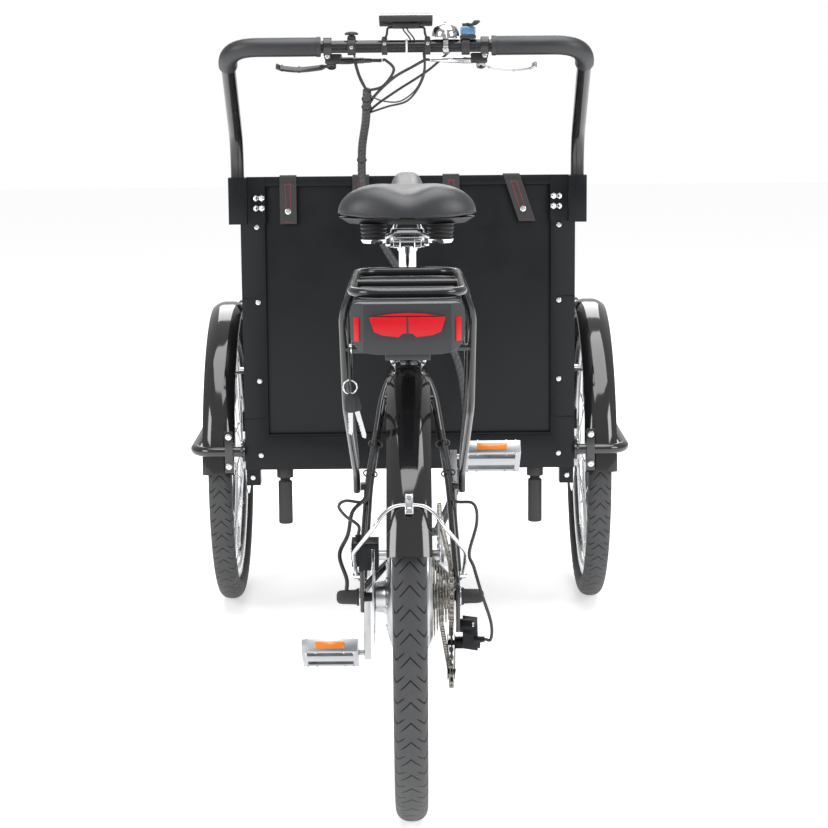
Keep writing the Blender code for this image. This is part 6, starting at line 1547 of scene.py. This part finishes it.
def strap(name, x_top, x_end, drop, inner_drop):
    """A strap over the rear rail with its sewn end, and the threads as small raised stitches."""
    y_out, y_in, top = 0.9835, 1.0000, BOX_TOP + 0.0014
    corners = [
        at(0, y_out, BOX_TOP - drop), at(0, y_out, top), at(0, y_in, top), at(0, y_in, BOX_TOP - inner_drop)
    ]
    path = []
    for a, b in zip(rounded(corners, 0.0028, 6), rounded(corners, 0.0028, 6)[1:]):
        steps = max(1, round((b - a).length / 0.006))
        path += [a + (b - a) * k / steps for k in range(steps)]
    path.append(corners[-1])
    low = corners[0].z
    shifts = []
    for point in path:
        outer = point.y < at(0, 0.992, 0).y
        share = (point.z - low) / (top - low) if outer else 1.0
        shifts.append(x_end + (x_top - x_end) * share)
    main = band(name, path, shifts, [0.032] * len(path), 0.0022)
    fold_path = [p + Vector((0, -0.0021, 0)) for p in path if p.y < at(0, 0.9836, 0).y and p.z < low + FOLD]
    fold = band("fold", fold_path, shifts, [0.0316] * len(fold_path), 0.0018)
    lean = (x_top - x_end) / (top - low)
    rises = [0.028 + 0.0038 * k for k in range(15) if 0.028 + 0.0038 * k < min(FOLD, drop) - 0.008]
    stitches = []
    for rise in rises:
        for across in (-0.0050, 0.0050):
            spot = Vector((x_end + lean * rise + across, y_out + REAR - 0.0029, low + rise))
            stitches.append(Matrix.Translation(spot) @ Matrix.Rotation(atan2(lean, 1.0), 4, "Y"))
    for rise, steps in ((0.0040, 3), (rises[-1] + 0.0024, 2)):
        for k in range(-steps, steps + 1):
            spot = Vector(
                (x_end + lean * rise + 0.0036 * k * 2 / steps * 0.7, y_out + REAR - 0.0029, low + rise)
            )
            stitches.append(Matrix.Translation(spot) @ Matrix.Rotation(pi / 2, 4, "Y"))
    return joined(name, main, fold), stitches


all_stitches = []
for node, spot in (
    ("strap_left", (-0.228, -0.228, 0.090, 0.160)), ("strap_right", (0.198, 0.228, 0.088, 0.160))
):
    made, stitches = strap(node + "_webbing", *spot)
    replace_node(made, webbing, node, 50)
    all_stitches += stitches
inner = []
for spot in ((-0.089, -0.089, 0.066, 0.160), (0.083, 0.083, 0.062, 0.160)):
    made, stitches = strap("inner_strap", *spot)
    inner.append(made)
    all_stitches += stitches
add_piece(joined("inner_straps", *inner), webbing, "strap_left", 50)
thread = bar("stitch", 0.00055, 0.0030, 6)
add_piece(strewn("strap_stitches", thread, all_stitches), red_thread, "strap_left")
places = [at(-0.228, 0.9806, 0.834), at(0.220, 0.9806, 0.836)]
screws("strap_screws", "strap_left", places, (0, -1, 0), 0.0056, 0.0030)

# Wheel guards. A bumper of bent steel tube runs round each front wheel from flange to flange, glossy black,
# with a pressed vee that holds the outer end of the wheel's axle.

for side, hand in ((-1, "left"), (1, "right")):
    corners = [
        at(side * 0.3203, BOX_REAR, 0.368), at(side * 0.421, BOX_REAR, 0.368),
        at(side * 0.421, 1.660, 0.368), at(side * 0.3203, 1.660, 0.368),
    ]
    parts = [tube("guard", rounded(corners, 0.045, 12), 0.0098, 32)]
    for y0, y1 in ((0.985, 1.015), (1.610, 1.672)):
        xs = sorted((side * 0.3203, side * 0.3260))
        parts.append(block("flange", at(xs[0], y0, 0.348), at(xs[1], y1, 0.388), 0.0012))
    for y in (0.985, 1.660):
        parts.append(weld(at(side * 0.3265, y, 0.368), (1, 0, 0), 0.0096, 0.0020))
    vee = [
        (1.216, 0.3720), (1.234, 0.3720), (1.316, 0.3220), (1.398, 0.3720), (1.416, 0.3720),
        (1.331, 0.2840), (1.301, 0.2840),
    ]
    vee = [(p.y, p.z) for p in rounded([at(0, y, z) for y, z in vee], 0.008, 4, loop=True)]
    vee = plate("vee", vee, "X", *sorted((side * 0.4185, side * 0.4235)))
    hole = tube("drill", [at(side * x, FRONT_WHEEL_Y, FRONT_RADIUS) for x in (0.41, 0.43)], 0.0064, 32)
    parts.append(soften(cut_by(vee, hole), 0.0010, 2))
    replace_node(joined(f"wheel_guard_{hand}_bent", *parts), gloss_paint, f"wheel_guard_{hand}")
    places = [at(side * 0.3261, y, z) for y in (1.0065, 1.6205) for z in (0.356, 0.380)]
    screws("guard_screws", f"wheel_guard_{hand}", places, (side, 0, 0), 0.0045, 0.0028)

# Front fenders. Rolled steel blades like the rear one, each on two tabs from the box's side, an angle
# bracket on top, and a clip round the guard at the rear with two bolts through the blade.

for side, hand in ((-1, "left"), (1, "right")):
    centre = FRONT_AXLES[hand]
    blade = fender("blade", centre, 0.325, 0.062, radians(28), radians(176.5), 80)
    parts = [blade]
    for angle in (radians(42.5), radians(137.5)):
        y, z = FRONT_WHEEL_Y + 0.310 * cos(angle), FRONT_RADIUS + 0.310 * sin(angle)
        xs = sorted((side * 0.3203, side * 0.3455))
        parts.append(
            block("tab", at(xs[0], y - 0.009, z - 0.0015), at(xs[1], y + 0.009, z + 0.0015), 0.0006)
        )
    for z in (0.342, 0.400):
        reach = FRONT_WHEEL_Y - sqrt(0.319**2 - (z - FRONT_RADIUS) ** 2)
        parts.append(tube("rod", [at(side * 0.351, 0.9737, z), at(side * 0.351, reach, z)], 0.0030, 16))
    parts.append(
        block(
            "clip", at(side * 0.351 - 0.008, 0.9717, 0.328), at(side * 0.351 + 0.008, 0.9746, 0.410), 0.0009
        )
    )
    replace_node(joined(f"front_fender_{hand}_rolled", *parts), gloss_paint, f"front_fender_{hand}", 40)
    places = [at(side * 0.351, 0.9716, z) for z in (0.342, 0.400)]
    screws("fender_bolts", f"front_fender_{hand}", places, (0, -1, 0), 0.0062, 0.0036)
    xs = sorted((side * 0.3205, side * 0.3228)), sorted((side * 0.3205, side * 0.3520))
    angle = [
        block("upright", at(xs[0][0], 1.300, 0.6255), at(xs[0][1], 1.332, 0.6580), 0.0006),
        block("shelf", at(xs[1][0], 1.300, 0.6255), at(xs[1][1], 1.332, 0.6278), 0.0006),
    ]
    add_piece(joined("fender_angle", *angle), satin_paint, f"front_fender_{hand}")
    places = [at(side * 0.3228, 1.316, 0.6460), at(side * 0.3430, 1.316, 0.6276)]
    screws("angle_bolts", f"front_fender_{hand}", places, [(side, 0, 0), (0, 0, 1)], 0.0052, 0.0034)

# Push handle. One bent steel tube rises from the box's sockets and crosses over behind it; long rubber
# sleeves cover its two bends, and the thin middle carries the controls.

BAR_Y, BAR_Z = 0.687, 1.139
corners = [
    at(-0.322, 0.966, 0.826), at(-0.322, 0.966, 0.962), at(-0.314, BAR_Y, BAR_Z), at(-0.152, BAR_Y, BAR_Z)
]
half_path = rounded(corners, 0.055, 12)
half_path.append(at(-0.146, BAR_Y, BAR_Z))
pole_way = (corners[1] - corners[2]).normalized()
bar_path = half_path + [Vector((-p.x, p.y, p.z)) for p in reversed(half_path)]
thin = 0.0111 / 0.0125
swell = [1.0] * (len(half_path) - 1) + [thin, thin] + [1.0] * (len(half_path) - 1)
replace_node(tube("handle_tube", bar_path, 0.0125, 36, swell=swell), semi_gloss, "handlebar")

sleeve_rubber = finish(
    "sleeve_rubber", (0.024, 0.025, 0.028), 0.38, shade=0.10, patch=18.0, change=0.08,
    grain=(1500.0, 0.00016),
)
sleeve_half = [p for p in half_path if p.z > 1.10]
sleeve_half = [sleeve_half[0] + pole_way * 0.004, *sleeve_half[:-1]]
for side, hand in ((-1, "left"), (1, "right")):
    path = [Vector((-side * p.x, p.y, p.z)) for p in sleeve_half]
    path[-1].x = side * 0.149
    path = [
        path[0], path[0] + (path[1] - path[0]) * 0.3, *path[1:-1], path[-1] + Vector((side * 0.003, 0, 0)),
        path[-1],
    ]
    parts = [tube("sleeve", path, 0.0168, 36, swell=[0.94, 1.0] + [1.0] * (len(path) - 4) + [1.0, 0.94])]
    ring = [(-0.0035, 0.0160), (-0.0035, 0.0176), (0.0035, 0.0176), (0.0035, 0.0160)]
    parts.append(spun("cuff", ring, at(side * 0.153, BAR_Y, BAR_Z), 40))
    replace_node(joined(f"grip_{hand}_sleeve", *parts), sleeve_rubber, f"grip_{hand}")
    stitches = []
    for a, b in zip(path[2:-2], path[3:-2]):
        steps = max(1, round((b - a).length / 0.006))
        for k in range(steps):
            way = (b - a).normalized()
            low = Vector((0, -0.25, -1.0))
            low = (low - way * low.dot(way)).normalized()
            turn = way.to_track_quat("Z", "Y").to_matrix().to_4x4()
            stitches.append(Matrix.Translation(a + (b - a) * (k / steps) + low * 0.0166) @ turn)
    thread = bar("stitch", 0.0007, 0.0036, 6)
    add_piece(strewn("sleeve_stitches", thread, stitches), black_plastic, f"grip_{hand}")

# Brake levers. Each bracket is clamped round the bar and holds the lever between two cheeks on a pin; the
# left lever is black and the right one bare alloy, with barrel adjusters where the cables go in.

LEVER_AXIS = Vector((0, 0.578, 0.816))


def clamp_band(name, x, width, radius, segments=40):
    """A ring round the thin middle of the bar, its edges rounded."""
    half, inner = width / 2, 0.0112
    ring = [
        (-half, inner), (-half, radius - 0.0008), (-half + 0.0008, radius), (half - 0.0008, radius),
        (half, radius - 0.0008), (half, inner),
    ]
    return spun(name, ring, at(x, BAR_Y, BAR_Z), segments)


for side, hand in ((-1, "left"), (1, "right")):
    pivot = at(side * 0.132, BAR_Y + 0.042, BAR_Z - 0.032)
    parts = [clamp_band("clamp", side * 0.137, 0.014, 0.0165)]
    for low, high, edge in (
        ((0.113, 0.004, -0.0300), (0.142, 0.0315, -0.0122), 0.0025),
        ((0.122, 0.028, -0.0230), (0.142, 0.049, -0.0130), 0.0020),
        ((0.131, -0.006, -0.0215), (0.143, 0.008, -0.0125), 0.0020),
    ):
        xs = sorted((side * low[0], side * high[0]))
        parts.append(
            block(
                "arm", at(xs[0], BAR_Y + low[1], BAR_Z + low[2]),
                at(xs[1], BAR_Y + high[1], BAR_Z + high[2]), edge,
            )
        )
    parts.append(tube("cheek", [pivot + LEVER_AXIS * 0.0043, pivot + LEVER_AXIS * 0.0165], 0.0090, 32))
    parts.append(tube("pin", [pivot - LEVER_AXIS * 0.0055, pivot + LEVER_AXIS * 0.0060], 0.0027, 20))
    cable = (BAR_Y + 0.024, BAR_Z - 0.024)
    boot = [
        (0.116, 0.0), (0.116, 0.0064), (0.100, 0.0064), (0.094, 0.0055), (0.084, 0.0055), (0.082, 0.0048),
        (0.080, 0.0055), (0.078, 0.0048), (0.076, 0.0055), (0.074, 0.0044), (0.062, 0.0040),
        (0.060, 0.0032), (0.043, 0.0032), (0.043, 0.0),
    ]
    boot = spun("boot", [(side * a, r) for a, r in boot], at(0, *cable), 28)
    if side < 0:
        parts.append(boot)
    replace_node(joined(f"lever_bracket_{hand}_forged", *parts), semi_gloss, f"lever_bracket_{hand}")
    if side > 0:
        add_piece(boot, bright_steel, "lever_bracket_right")
    places = [at(side * 0.137, BAR_Y - 0.0055, BAR_Z - 0.0170), pivot + LEVER_AXIS * 0.0166]
    screws("lever_screws", f"lever_bracket_{hand}", places, [(0, -1, 0), LEVER_AXIS], 0.0038, 0.0024)
    blade = [
        pivot,
        *(
            pivot + Vector((side * x, y, z))
            for x, y, z in (
                (0.013, 0.003, -0.0021), (0.024, 0.006, -0.0042), (0.058, 0.010, -0.0071),
                (0.088, 0.006, -0.0042), (0.0975, 0.001, -0.0007),
            )
        ),
    ]
    path = flowing(blade, 6)
    widths = [0.0078 if (p - pivot).length < 0.014 else 0.0125 for p in path]
    for _ in range(3):
        widths = [min(0.0078, w) if (p - pivot).length < 0.013 else (a + w + b) / 3
                  for a, w, b, p in zip([widths[0], *widths], widths, [*widths[1:], widths[-1]], path)]
    made = band("blade", path, [0.0] * len(path), widths, 0.0050, LEVER_AXIS)
    boss = tube("boss", [pivot - LEVER_AXIS * 0.0040, pivot + LEVER_AXIS * 0.0040], 0.0083, 32)
    made = joined(
        f"brake_lever_{hand}_blade",
        boss,
        made,
        *(
            tube("rivet", [spot - LEVER_AXIS * 0.0060, spot + LEVER_AXIS * 0.0067], 0.0018, 12)
            for spot in blade[3:5]
        ),
    )
    look = cast_alloy if side > 0 else semi_gloss
    replace_node(soften(made, 0.0007), look, f"brake_lever_{hand}", 50)

# Display. A flat dark case with a glass face and a pale metal edge, on a bracket that two clamps hold over
# the middle of the bar.

tilt = Matrix.Translation(at(0, BAR_Y, 1.184)) @ Matrix.Rotation(radians(-12), 4, "X")
case = block("case", (-0.0465, -0.0205, -0.0070), (0.0465, 0.0205, 0.0030), 0.0018, 3)
case.matrix_world = tilt
parts = [
    case,
    block("neck", at(-0.023, BAR_Y - 0.012, 1.1690), at(0.023, BAR_Y + 0.012, 1.1790), 0.0020),
    tube(
        "bridge",
        rounded(
            [
                at(x, BAR_Y, z)
                for x, z in (
                    (-0.0375, 1.151), (-0.0335, 1.158), (-0.0320, 1.1712), (0.0320, 1.1712),
                    (0.0335, 1.158), (0.0375, 1.151),
                )
            ],
            0.004,
            4,
        ),
        0.0021,
        14,
    ),
]
for side in (-1, 1):
    parts.append(clamp_band("clamp", side * 0.0375, 0.010, 0.0150))
    parts.append(
        block(
            "lug", at(side * 0.0375 - 0.005, BAR_Y - 0.0185, BAR_Z - 0.005),
            at(side * 0.0375 + 0.005, BAR_Y - 0.0120, BAR_Z + 0.013), 0.0012,
        )
    )
    parts.append(
        block(
            "saddle", at(side * 0.0375 - 0.004, BAR_Y - 0.004, BAR_Z + 0.012),
            at(side * 0.0375 + 0.004, BAR_Y + 0.004, BAR_Z + 0.0165), 0.0008,
        )
    )
replace_node(joined("display_housing", *parts), black_plastic, "display")
rim_edge = block("display_edge", (-0.0470, -0.0210, 0.0028), (0.0470, 0.0210, 0.0050), 0.0009, 3)
rim_edge.matrix_world = tilt
add_piece(rim_edge, alloy, "display")
glass_look = finish(
    "display_glass", (0.010, 0.011, 0.013), 0.05, shade=0.02, change=0.01, grain=(60.0, 0.00001),
    Coat_Weight=0.8,
)
glass = block("display_glass_face", (-0.0440, -0.0180, 0.0046), (0.0440, 0.0180, 0.0066), 0.0008, 3)
glass.matrix_world = tilt
add_piece(glass, glass_look, "display")
places = [at(side * 0.0375, BAR_Y - 0.0184, BAR_Z + 0.004) for side in (-1, 1)]
screws("display_screws", "display", places, (0, -1, 0), 0.0028, 0.0018)

# Bell. A spun chrome dome stands on a post over a chromed band round the bar. Under its rim is a striker on
# an upright pin, a flat arm with a ball at its end, which the thumb flicks.

BELL_X, bell_low = 0.069, BAR_Z + 0.0155
dome = [
    (0.0010, 0.0224), (0.0010, 0.0238), (0.0040, 0.0238), (0.0085, 0.0230), (0.0130, 0.0212),
    (0.0175, 0.0178), (0.0210, 0.0130), (0.0232, 0.0070), (0.0240, 0.0022), (0.0240, 0.0), (0.0226, 0.0),
    (0.0218, 0.0070), (0.0190, 0.0128), (0.0150, 0.0170),
]
dome = spun("dome", dome, at(BELL_X, BAR_Y, bell_low), 56, axis="Z")
parts = [
    dome,
    tube("base", [at(BELL_X, BAR_Y, bell_low), at(BELL_X, BAR_Y, bell_low + 0.0025)], 0.0193, 48),
    tube("post", [at(BELL_X, BAR_Y, bell_low + 0.001), at(BELL_X, BAR_Y, bell_low + 0.0252)], 0.0028, 20),
    block(
        "foot", at(BELL_X - 0.005, BAR_Y - 0.006, BAR_Z + 0.0110),
        at(BELL_X + 0.005, BAR_Y + 0.006, bell_low + 0.001), 0.0008,
    ),
    clamp_band("band", BELL_X, 0.010, 0.0138),
    tube(
        "pin",
        [at(BELL_X + 0.0165, BAR_Y, bell_low - 0.0030), at(BELL_X + 0.0165, BAR_Y, bell_low + 0.001)],
        0.0018, 16,
    ),
]
bell_chrome = finish(
    "bell_chrome", (0.60, 0.60, 0.61), 0.10, 1.0, shade=0.06, patch=50.0, change=0.04,
    grain=(200.0, 0.00002),
)
replace_node(joined("bell_chromed", *parts), bell_chrome, "bell")
arm_z = bell_low - 0.0014
knob = at(BELL_X, BAR_Y - 0.0285, bell_low + 0.0065)
hinge = at(BELL_X + 0.0165, BAR_Y, arm_z)
bpy.ops.object.select_all(action="DESELECT")
bpy.ops.mesh.primitive_uv_sphere_add(segments=24, ring_count=14, radius=0.0031, location=knob)
ball = bpy.context.object
parts = [
    ball,
    tube("eye", [hinge - Vector((0, 0, 0.0011)), hinge + Vector((0, 0, 0.0011))], 0.0040, 28),
    band(
        "arm", [hinge, Vector((knob.x + 0.002, knob.y + 0.001, arm_z))], [0.0, 0.0], [0.0042, 0.0036],
        0.0016, Vector((0.87, 0.5, 0)),
    ),
    tube("stem", [Vector((knob.x + 0.0015, knob.y, arm_z - 0.0008)), knob], 0.0013, 14),
]
replace_node(joined("bell_striker_sprung", *parts), chrome, "bell_striker")

# Gear shifter and switch. The shifter sits in a dark housing with a blue window over its indicator, and a
# black paddle turns on top; at the left a mushroom button in a small clamp works the horn.

SHIFTER_X, shifter_top = 0.108, BAR_Z + 0.0330
parts = [
    clamp_band("clamp", SHIFTER_X - 0.004, 0.014, 0.0160),
    block(
        "housing", at(SHIFTER_X - 0.0138, BAR_Y - 0.0158, BAR_Z + 0.0115),
        at(SHIFTER_X + 0.0138, BAR_Y + 0.0158, BAR_Z + 0.0185), 0.0022,
    ),
    tube(
        "pin", [at(SHIFTER_X, BAR_Y, shifter_top - 0.002), at(SHIFTER_X, BAR_Y, shifter_top + 0.006)],
        0.003, 20,
    ),
]
replace_node(joined("shifter_housing", *parts), black_plastic, "shifter_body")
blue = finish(
    "blue_window", (0.075, 0.185, 0.33), 0.12, shade=0.06, change=0.03, grain=(300.0, 0.00003),
    Coat_Weight=0.7,
)
window = block(
    "shifter_window", at(SHIFTER_X - 0.0128, BAR_Y - 0.0148, BAR_Z + 0.0180),
    at(SHIFTER_X + 0.0128, BAR_Y + 0.0148, shifter_top - 0.0002), 0.0030,
)
add_piece(window, blue, "shifter_body")
paddle_path = flowing(
    [
        at(SHIFTER_X + 0.002, BAR_Y - 0.004, shifter_top + 0.0028),
        at(SHIFTER_X + 0.010, BAR_Y - 0.022, shifter_top + 0.0035),
        at(SHIFTER_X + 0.015, BAR_Y - 0.034, shifter_top + 0.0080),
    ],
    6,
)
paddle_widths = [0.0095 + 0.0040 * k / 12 for k in range(13)]
parts = [
    tube(
        "hub", [at(SHIFTER_X, BAR_Y, shifter_top + 0.0004), at(SHIFTER_X, BAR_Y, shifter_top + 0.0052)],
        0.0100, 36,
    ),
    soften(
        band("paddle", paddle_path, [0.0] * 13, paddle_widths, 0.0044, Vector((0.91, 0.41, 0)).normalized()),
        0.0012,
        3,
    ),
]
replace_node(joined("shifter_paddle", *parts), black_plastic, "shifter_lever", 50)
SWITCH_X, switch_top = -0.095, BAR_Z + 0.0185
well = [
    (0.0110, 0.0), (0.0110, 0.0078), (0.0175, 0.0070), (0.0185, 0.0064), (0.0185, 0.0056), (0.0142, 0.0056),
    (0.0142, 0.0),
]
parts = [
    clamp_band("clamp", SWITCH_X, 0.014, 0.0150),
    spun("well", well, at(SWITCH_X, BAR_Y, BAR_Z), 36, axis="Z"),
]
replace_node(joined("switch_clamp", *parts), black_plastic, "switch_body")
places = [at(SWITCH_X, BAR_Y - 0.0145, BAR_Z - 0.002)]
screws("switch_screw", "switch_body", places, [(0, -1, 0)], 0.0030, 0.0020)
cap = [
    (-0.0018, 0.0), (-0.0018, 0.0049), (0.0013, 0.0049), (0.0013, 0.0108), (0.0020, 0.0119),
    (0.0040, 0.0119), (0.0056, 0.0100), (0.0068, 0.0060), (0.0073, 0.0),
]
cap = spun("horn_button", cap, at(SWITCH_X, BAR_Y, switch_top), 40, axis="Z")
replace_node(cap, rubber, "switch_button")

# Cable tie. A white nylon tie is pulled tight round the middle of the bar, where the display's leads reach
# it, with its square lock at the front.

white_nylon = finish("white_nylon", (0.72, 0.72, 0.70), 0.45, shade=0.06, change=0.05)
tie = [
    clamp_band("tie", 0.001, 0.0034, 0.0124),
    block(
        "lock", at(-0.0015, BAR_Y + 0.0110, BAR_Z - 0.003), at(0.0035, BAR_Y + 0.0160, BAR_Z + 0.003),
        0.0006,
    ),
]
add_piece(joined("cable_tie", *tie), white_nylon, "handlebar")

# Cable harness. The brake, gear and motor cables leave the controls in loose curves, are gathered in a
# spiral wrap ahead of the bar, and run down behind the box into the frame.


def wrapped(name, points, radius, pitch, depth):
    """A tube with a helical seam between the turns of the wrap round it."""
    lengths = [0.0]
    for a, b in zip(points, points[1:]):
        lengths.append(lengths[-1] + (b - a).length)
    count = round(lengths[-1] / pitch * 8)
    stations, k = [], 0
    for i in range(count + 1):
        reach = lengths[-1] * i / count
        while k < len(points) - 2 and lengths[k + 1] < reach:
            k += 1
        share = (reach - lengths[k]) / (lengths[k + 1] - lengths[k])
        stations.append((reach, points[k].lerp(points[k + 1], share)))
    rings, facing = [], Vector((1, 0, 0))
    for i, (reach, spot) in enumerate(stations):
        ahead = (stations[min(i + 1, count)][1] - stations[max(i - 1, 0)][1]).normalized()
        facing = (facing - ahead * facing.dot(ahead)).normalized()
        other = ahead.cross(facing)
        ring = []
        for j in range(20):
            turn = 2 * pi * j / 20
            seam = (reach / pitch - j / 20) % 1.0
            r = radius - (depth if seam < 0.14 else depth * 0.25 if seam > 0.9 else 0.0)
            ring.append(spot + (facing * cos(turn) + other * sin(turn)) * r)
        rings.append(ring)
    return skinned(name, rings)


GATHER = (-0.070, 0.735, 1.062)
beam_z = BRACKET_Z - 0.012 * (0.645 - BRACKET_Y) / 0.823
main_run = [
    GATHER, (-0.074, 0.800, 1.010), (-0.084, 0.885, 0.945), (-0.080, 0.940, 0.860), (-0.040, 0.950, 0.760),
    (0.030, 0.940, 0.660), (0.088, 0.915, 0.565), (0.106, 0.870, 0.470), (0.100, 0.800, 0.385),
    (0.074, 0.725, 0.318), (0.048, 0.645, beam_z), (0.0255, 0.645, beam_z),
]
cable_black = finish(
    "cable_black", (0.021, 0.021, 0.022), 0.40, shade=0.10, patch=40.0, change=0.07, grain=(1200.0, 0.00008)
)
wrap_black = finish(
    "spiral_wrap_black", (0.040, 0.041, 0.043), 0.44, shade=0.12, patch=50.0, change=0.08,
    grain=(900.0, 0.00010),
)
path = flowing([at(*p) for p in main_run[:-1]], 14)
path.append(at(*main_run[-1]))
harness = smooth(dress(wrapped("spiral_wrapped_harness", path, 0.0077, 0.0115, 0.0011), wrap_black), 30)
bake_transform(harness)
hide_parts("cable_harness")
routes = (
    (
        0.0025,
        [
            (-0.0417, 0.711, 1.115), (-0.0360, 0.711, 1.115), (-0.022, 0.722, 1.098),
            (-0.042, 0.735, 1.070), GATHER, (-0.071, 0.745, 1.054),
        ],
    ),
    (
        0.0025,
        [
            (0.0417, 0.711, 1.115), (0.0330, 0.711, 1.115), (0.012, 0.719, 1.104), (-0.022, 0.728, 1.085),
            (-0.055, 0.745, 1.055), (-0.072, 0.775, 1.030),
        ],
    ),
    (
        0.0018,
        [
            (0.033, 0.7025, 1.1285), (0.030, 0.724, 1.085), (0.004, 0.735, 1.046), (-0.034, 0.745, 1.034),
            (-0.070, 0.785, 1.022),
        ],
    ),
    (
        0.0018,
        [
            (-0.095, 0.7026, 1.144), (-0.095, 0.709, 1.144), (-0.092, 0.732, 1.126), (-0.084, 0.741, 1.092),
            GATHER, (-0.071, 0.745, 1.054),
        ],
    ),
    (
        0.0022,
        [
            (0.103, 0.7034, 1.150), (0.088, 0.738, 1.140), (0.040, 0.752, 1.098), (-0.020, 0.762, 1.060),
            (-0.062, 0.780, 1.030), (-0.076, 0.810, 1.004),
        ],
    ),
    (
        0.0013,
        [
            (-0.092, 0.704, 1.118), (-0.088, 0.703, 1.100), (-0.078, 0.706, 1.074), (-0.060, 0.709, 1.052),
            (-0.034, 0.711, 1.043), (-0.008, 0.711, 1.045), (0.018, 0.709, 1.066), (0.031, 0.706, 1.098),
            (0.030, 0.702, 1.128),
        ],
    ),
    (0.0013, [(-0.006, 0.680, 1.176), (-0.004, 0.673, 1.166), (0.004, 0.670, 1.156), (0.008, 0.678, 1.149)]),
    (0.0013, [(0.001, 0.680, 1.176), (0.003, 0.673, 1.166), (0.011, 0.670, 1.156), (0.015, 0.678, 1.149)]),
)
cables = [tube("cable", flowing([at(*p) for p in points], 10), size, 14) for size, points in routes]
add_piece(joined("handlebar_cables", *cables), cable_black, "cable_harness")
ties = []
for share in (0.028, 0.060, 0.215):
    i = round(share * (len(path) - 1))
    ties.append(weld(path[i], path[i + 1] - path[i - 1], 0.0081, 0.0012))
add_piece(joined("harness_ties", *ties), black_plastic, "cable_harness")
grommet = [(0.0252, 0.0080), (0.0252, 0.0118), (0.0272, 0.0118), (0.0290, 0.0092), (0.0290, 0.0080)]
add_piece(spun("harness_grommet", grommet, at(0, 0.645, beam_z), 36), rubber, "main_frame")

# Rear cables. The brake hose and the motor lead leave the left stay in a loop to the caliper and the axle,
# and the gear cable leaves the right stay in a wider loop down to the derailleur.

stay_side = Vector((0, -sin(seat_stay_angle), cos(seat_stay_angle)))


def beside_stay(side, distance, lift=0.0, out=0.0):
    """A point of a cable that lies along the seat stay's upper rear side."""
    spot = about_rear(side * seat_stay_x(distance), distance, seat_stay_angle)
    return spot + stay_side * (0.0097 + lift) + Vector((side * out, 0, 0))


brake_hose = [
    beside_stay(-1, 0.290), beside_stay(-1, 0.240), beside_stay(-1, 0.195, 0.0012),
    beside_stay(-1, 0.160, 0.0020, 0.003), at(-0.096, 0.070, 0.458), at(-0.105, 0.030, 0.458),
    at(-0.094, -0.010, 0.452), at(-0.075, -0.022, 0.4400), at(-0.075, -0.022, 0.4263),
]
motor_lead = [
    beside_stay(-1, 0.285, 0.0014), beside_stay(-1, 0.240, 0.0014), beside_stay(-1, 0.195, 0.0014),
    beside_stay(-1, 0.165, 0.0034, 0.003), at(-0.086, 0.075, 0.440), at(-0.092, 0.030, 0.415),
    at(-0.104, 0.004, 0.390), at(-0.094, 0.000, 0.355), at(-0.094, 0.000, 0.3383),
]
gear_cable = [
    beside_stay(1, 0.290), beside_stay(1, 0.240), beside_stay(1, 0.195, 0.0012),
    beside_stay(1, 0.160, 0.0020, 0.003), at(0.096, 0.070, 0.452), at(0.100, 0.036, 0.430),
    at(0.088, 0.012, 0.390), at(0.094, -0.014, 0.374), at(0.105, -0.020, 0.336), at(0.119, -0.014, 0.290),
    at(0.119, -0.004, 0.262), at(0.1101, -0.004, 0.262),
]
rear_cables = joined(
    "brake_hose_and_motor_lead",
    tube("hose", flowing(brake_hose, 8), 0.0024, 16),
    tube("lead", flowing(motor_lead, 8), 0.0030, 16),
)
replace_node(rear_cables, cable_black, "rear_cables_left")
replace_node(tube("gear_cable", flowing(gear_cable, 8), 0.0024, 16), cable_black, "shift_cable")
clips = []
for side in (-1, 1):
    for distance in (0.270, 0.215):
        spot = about_rear(side * seat_stay_x(distance), distance, seat_stay_angle)
        clips.append(
            weld(
                spot + stay_side * 0.003,
                spot - about_rear(side * seat_stay_x(distance - 0.01), distance - 0.01, seat_stay_angle),
                0.0105, 0.0012,
            )
        )
add_piece(joined("stay_ties", *clips), black_plastic, "main_frame")

# The bounds of the dressed model.

low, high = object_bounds()
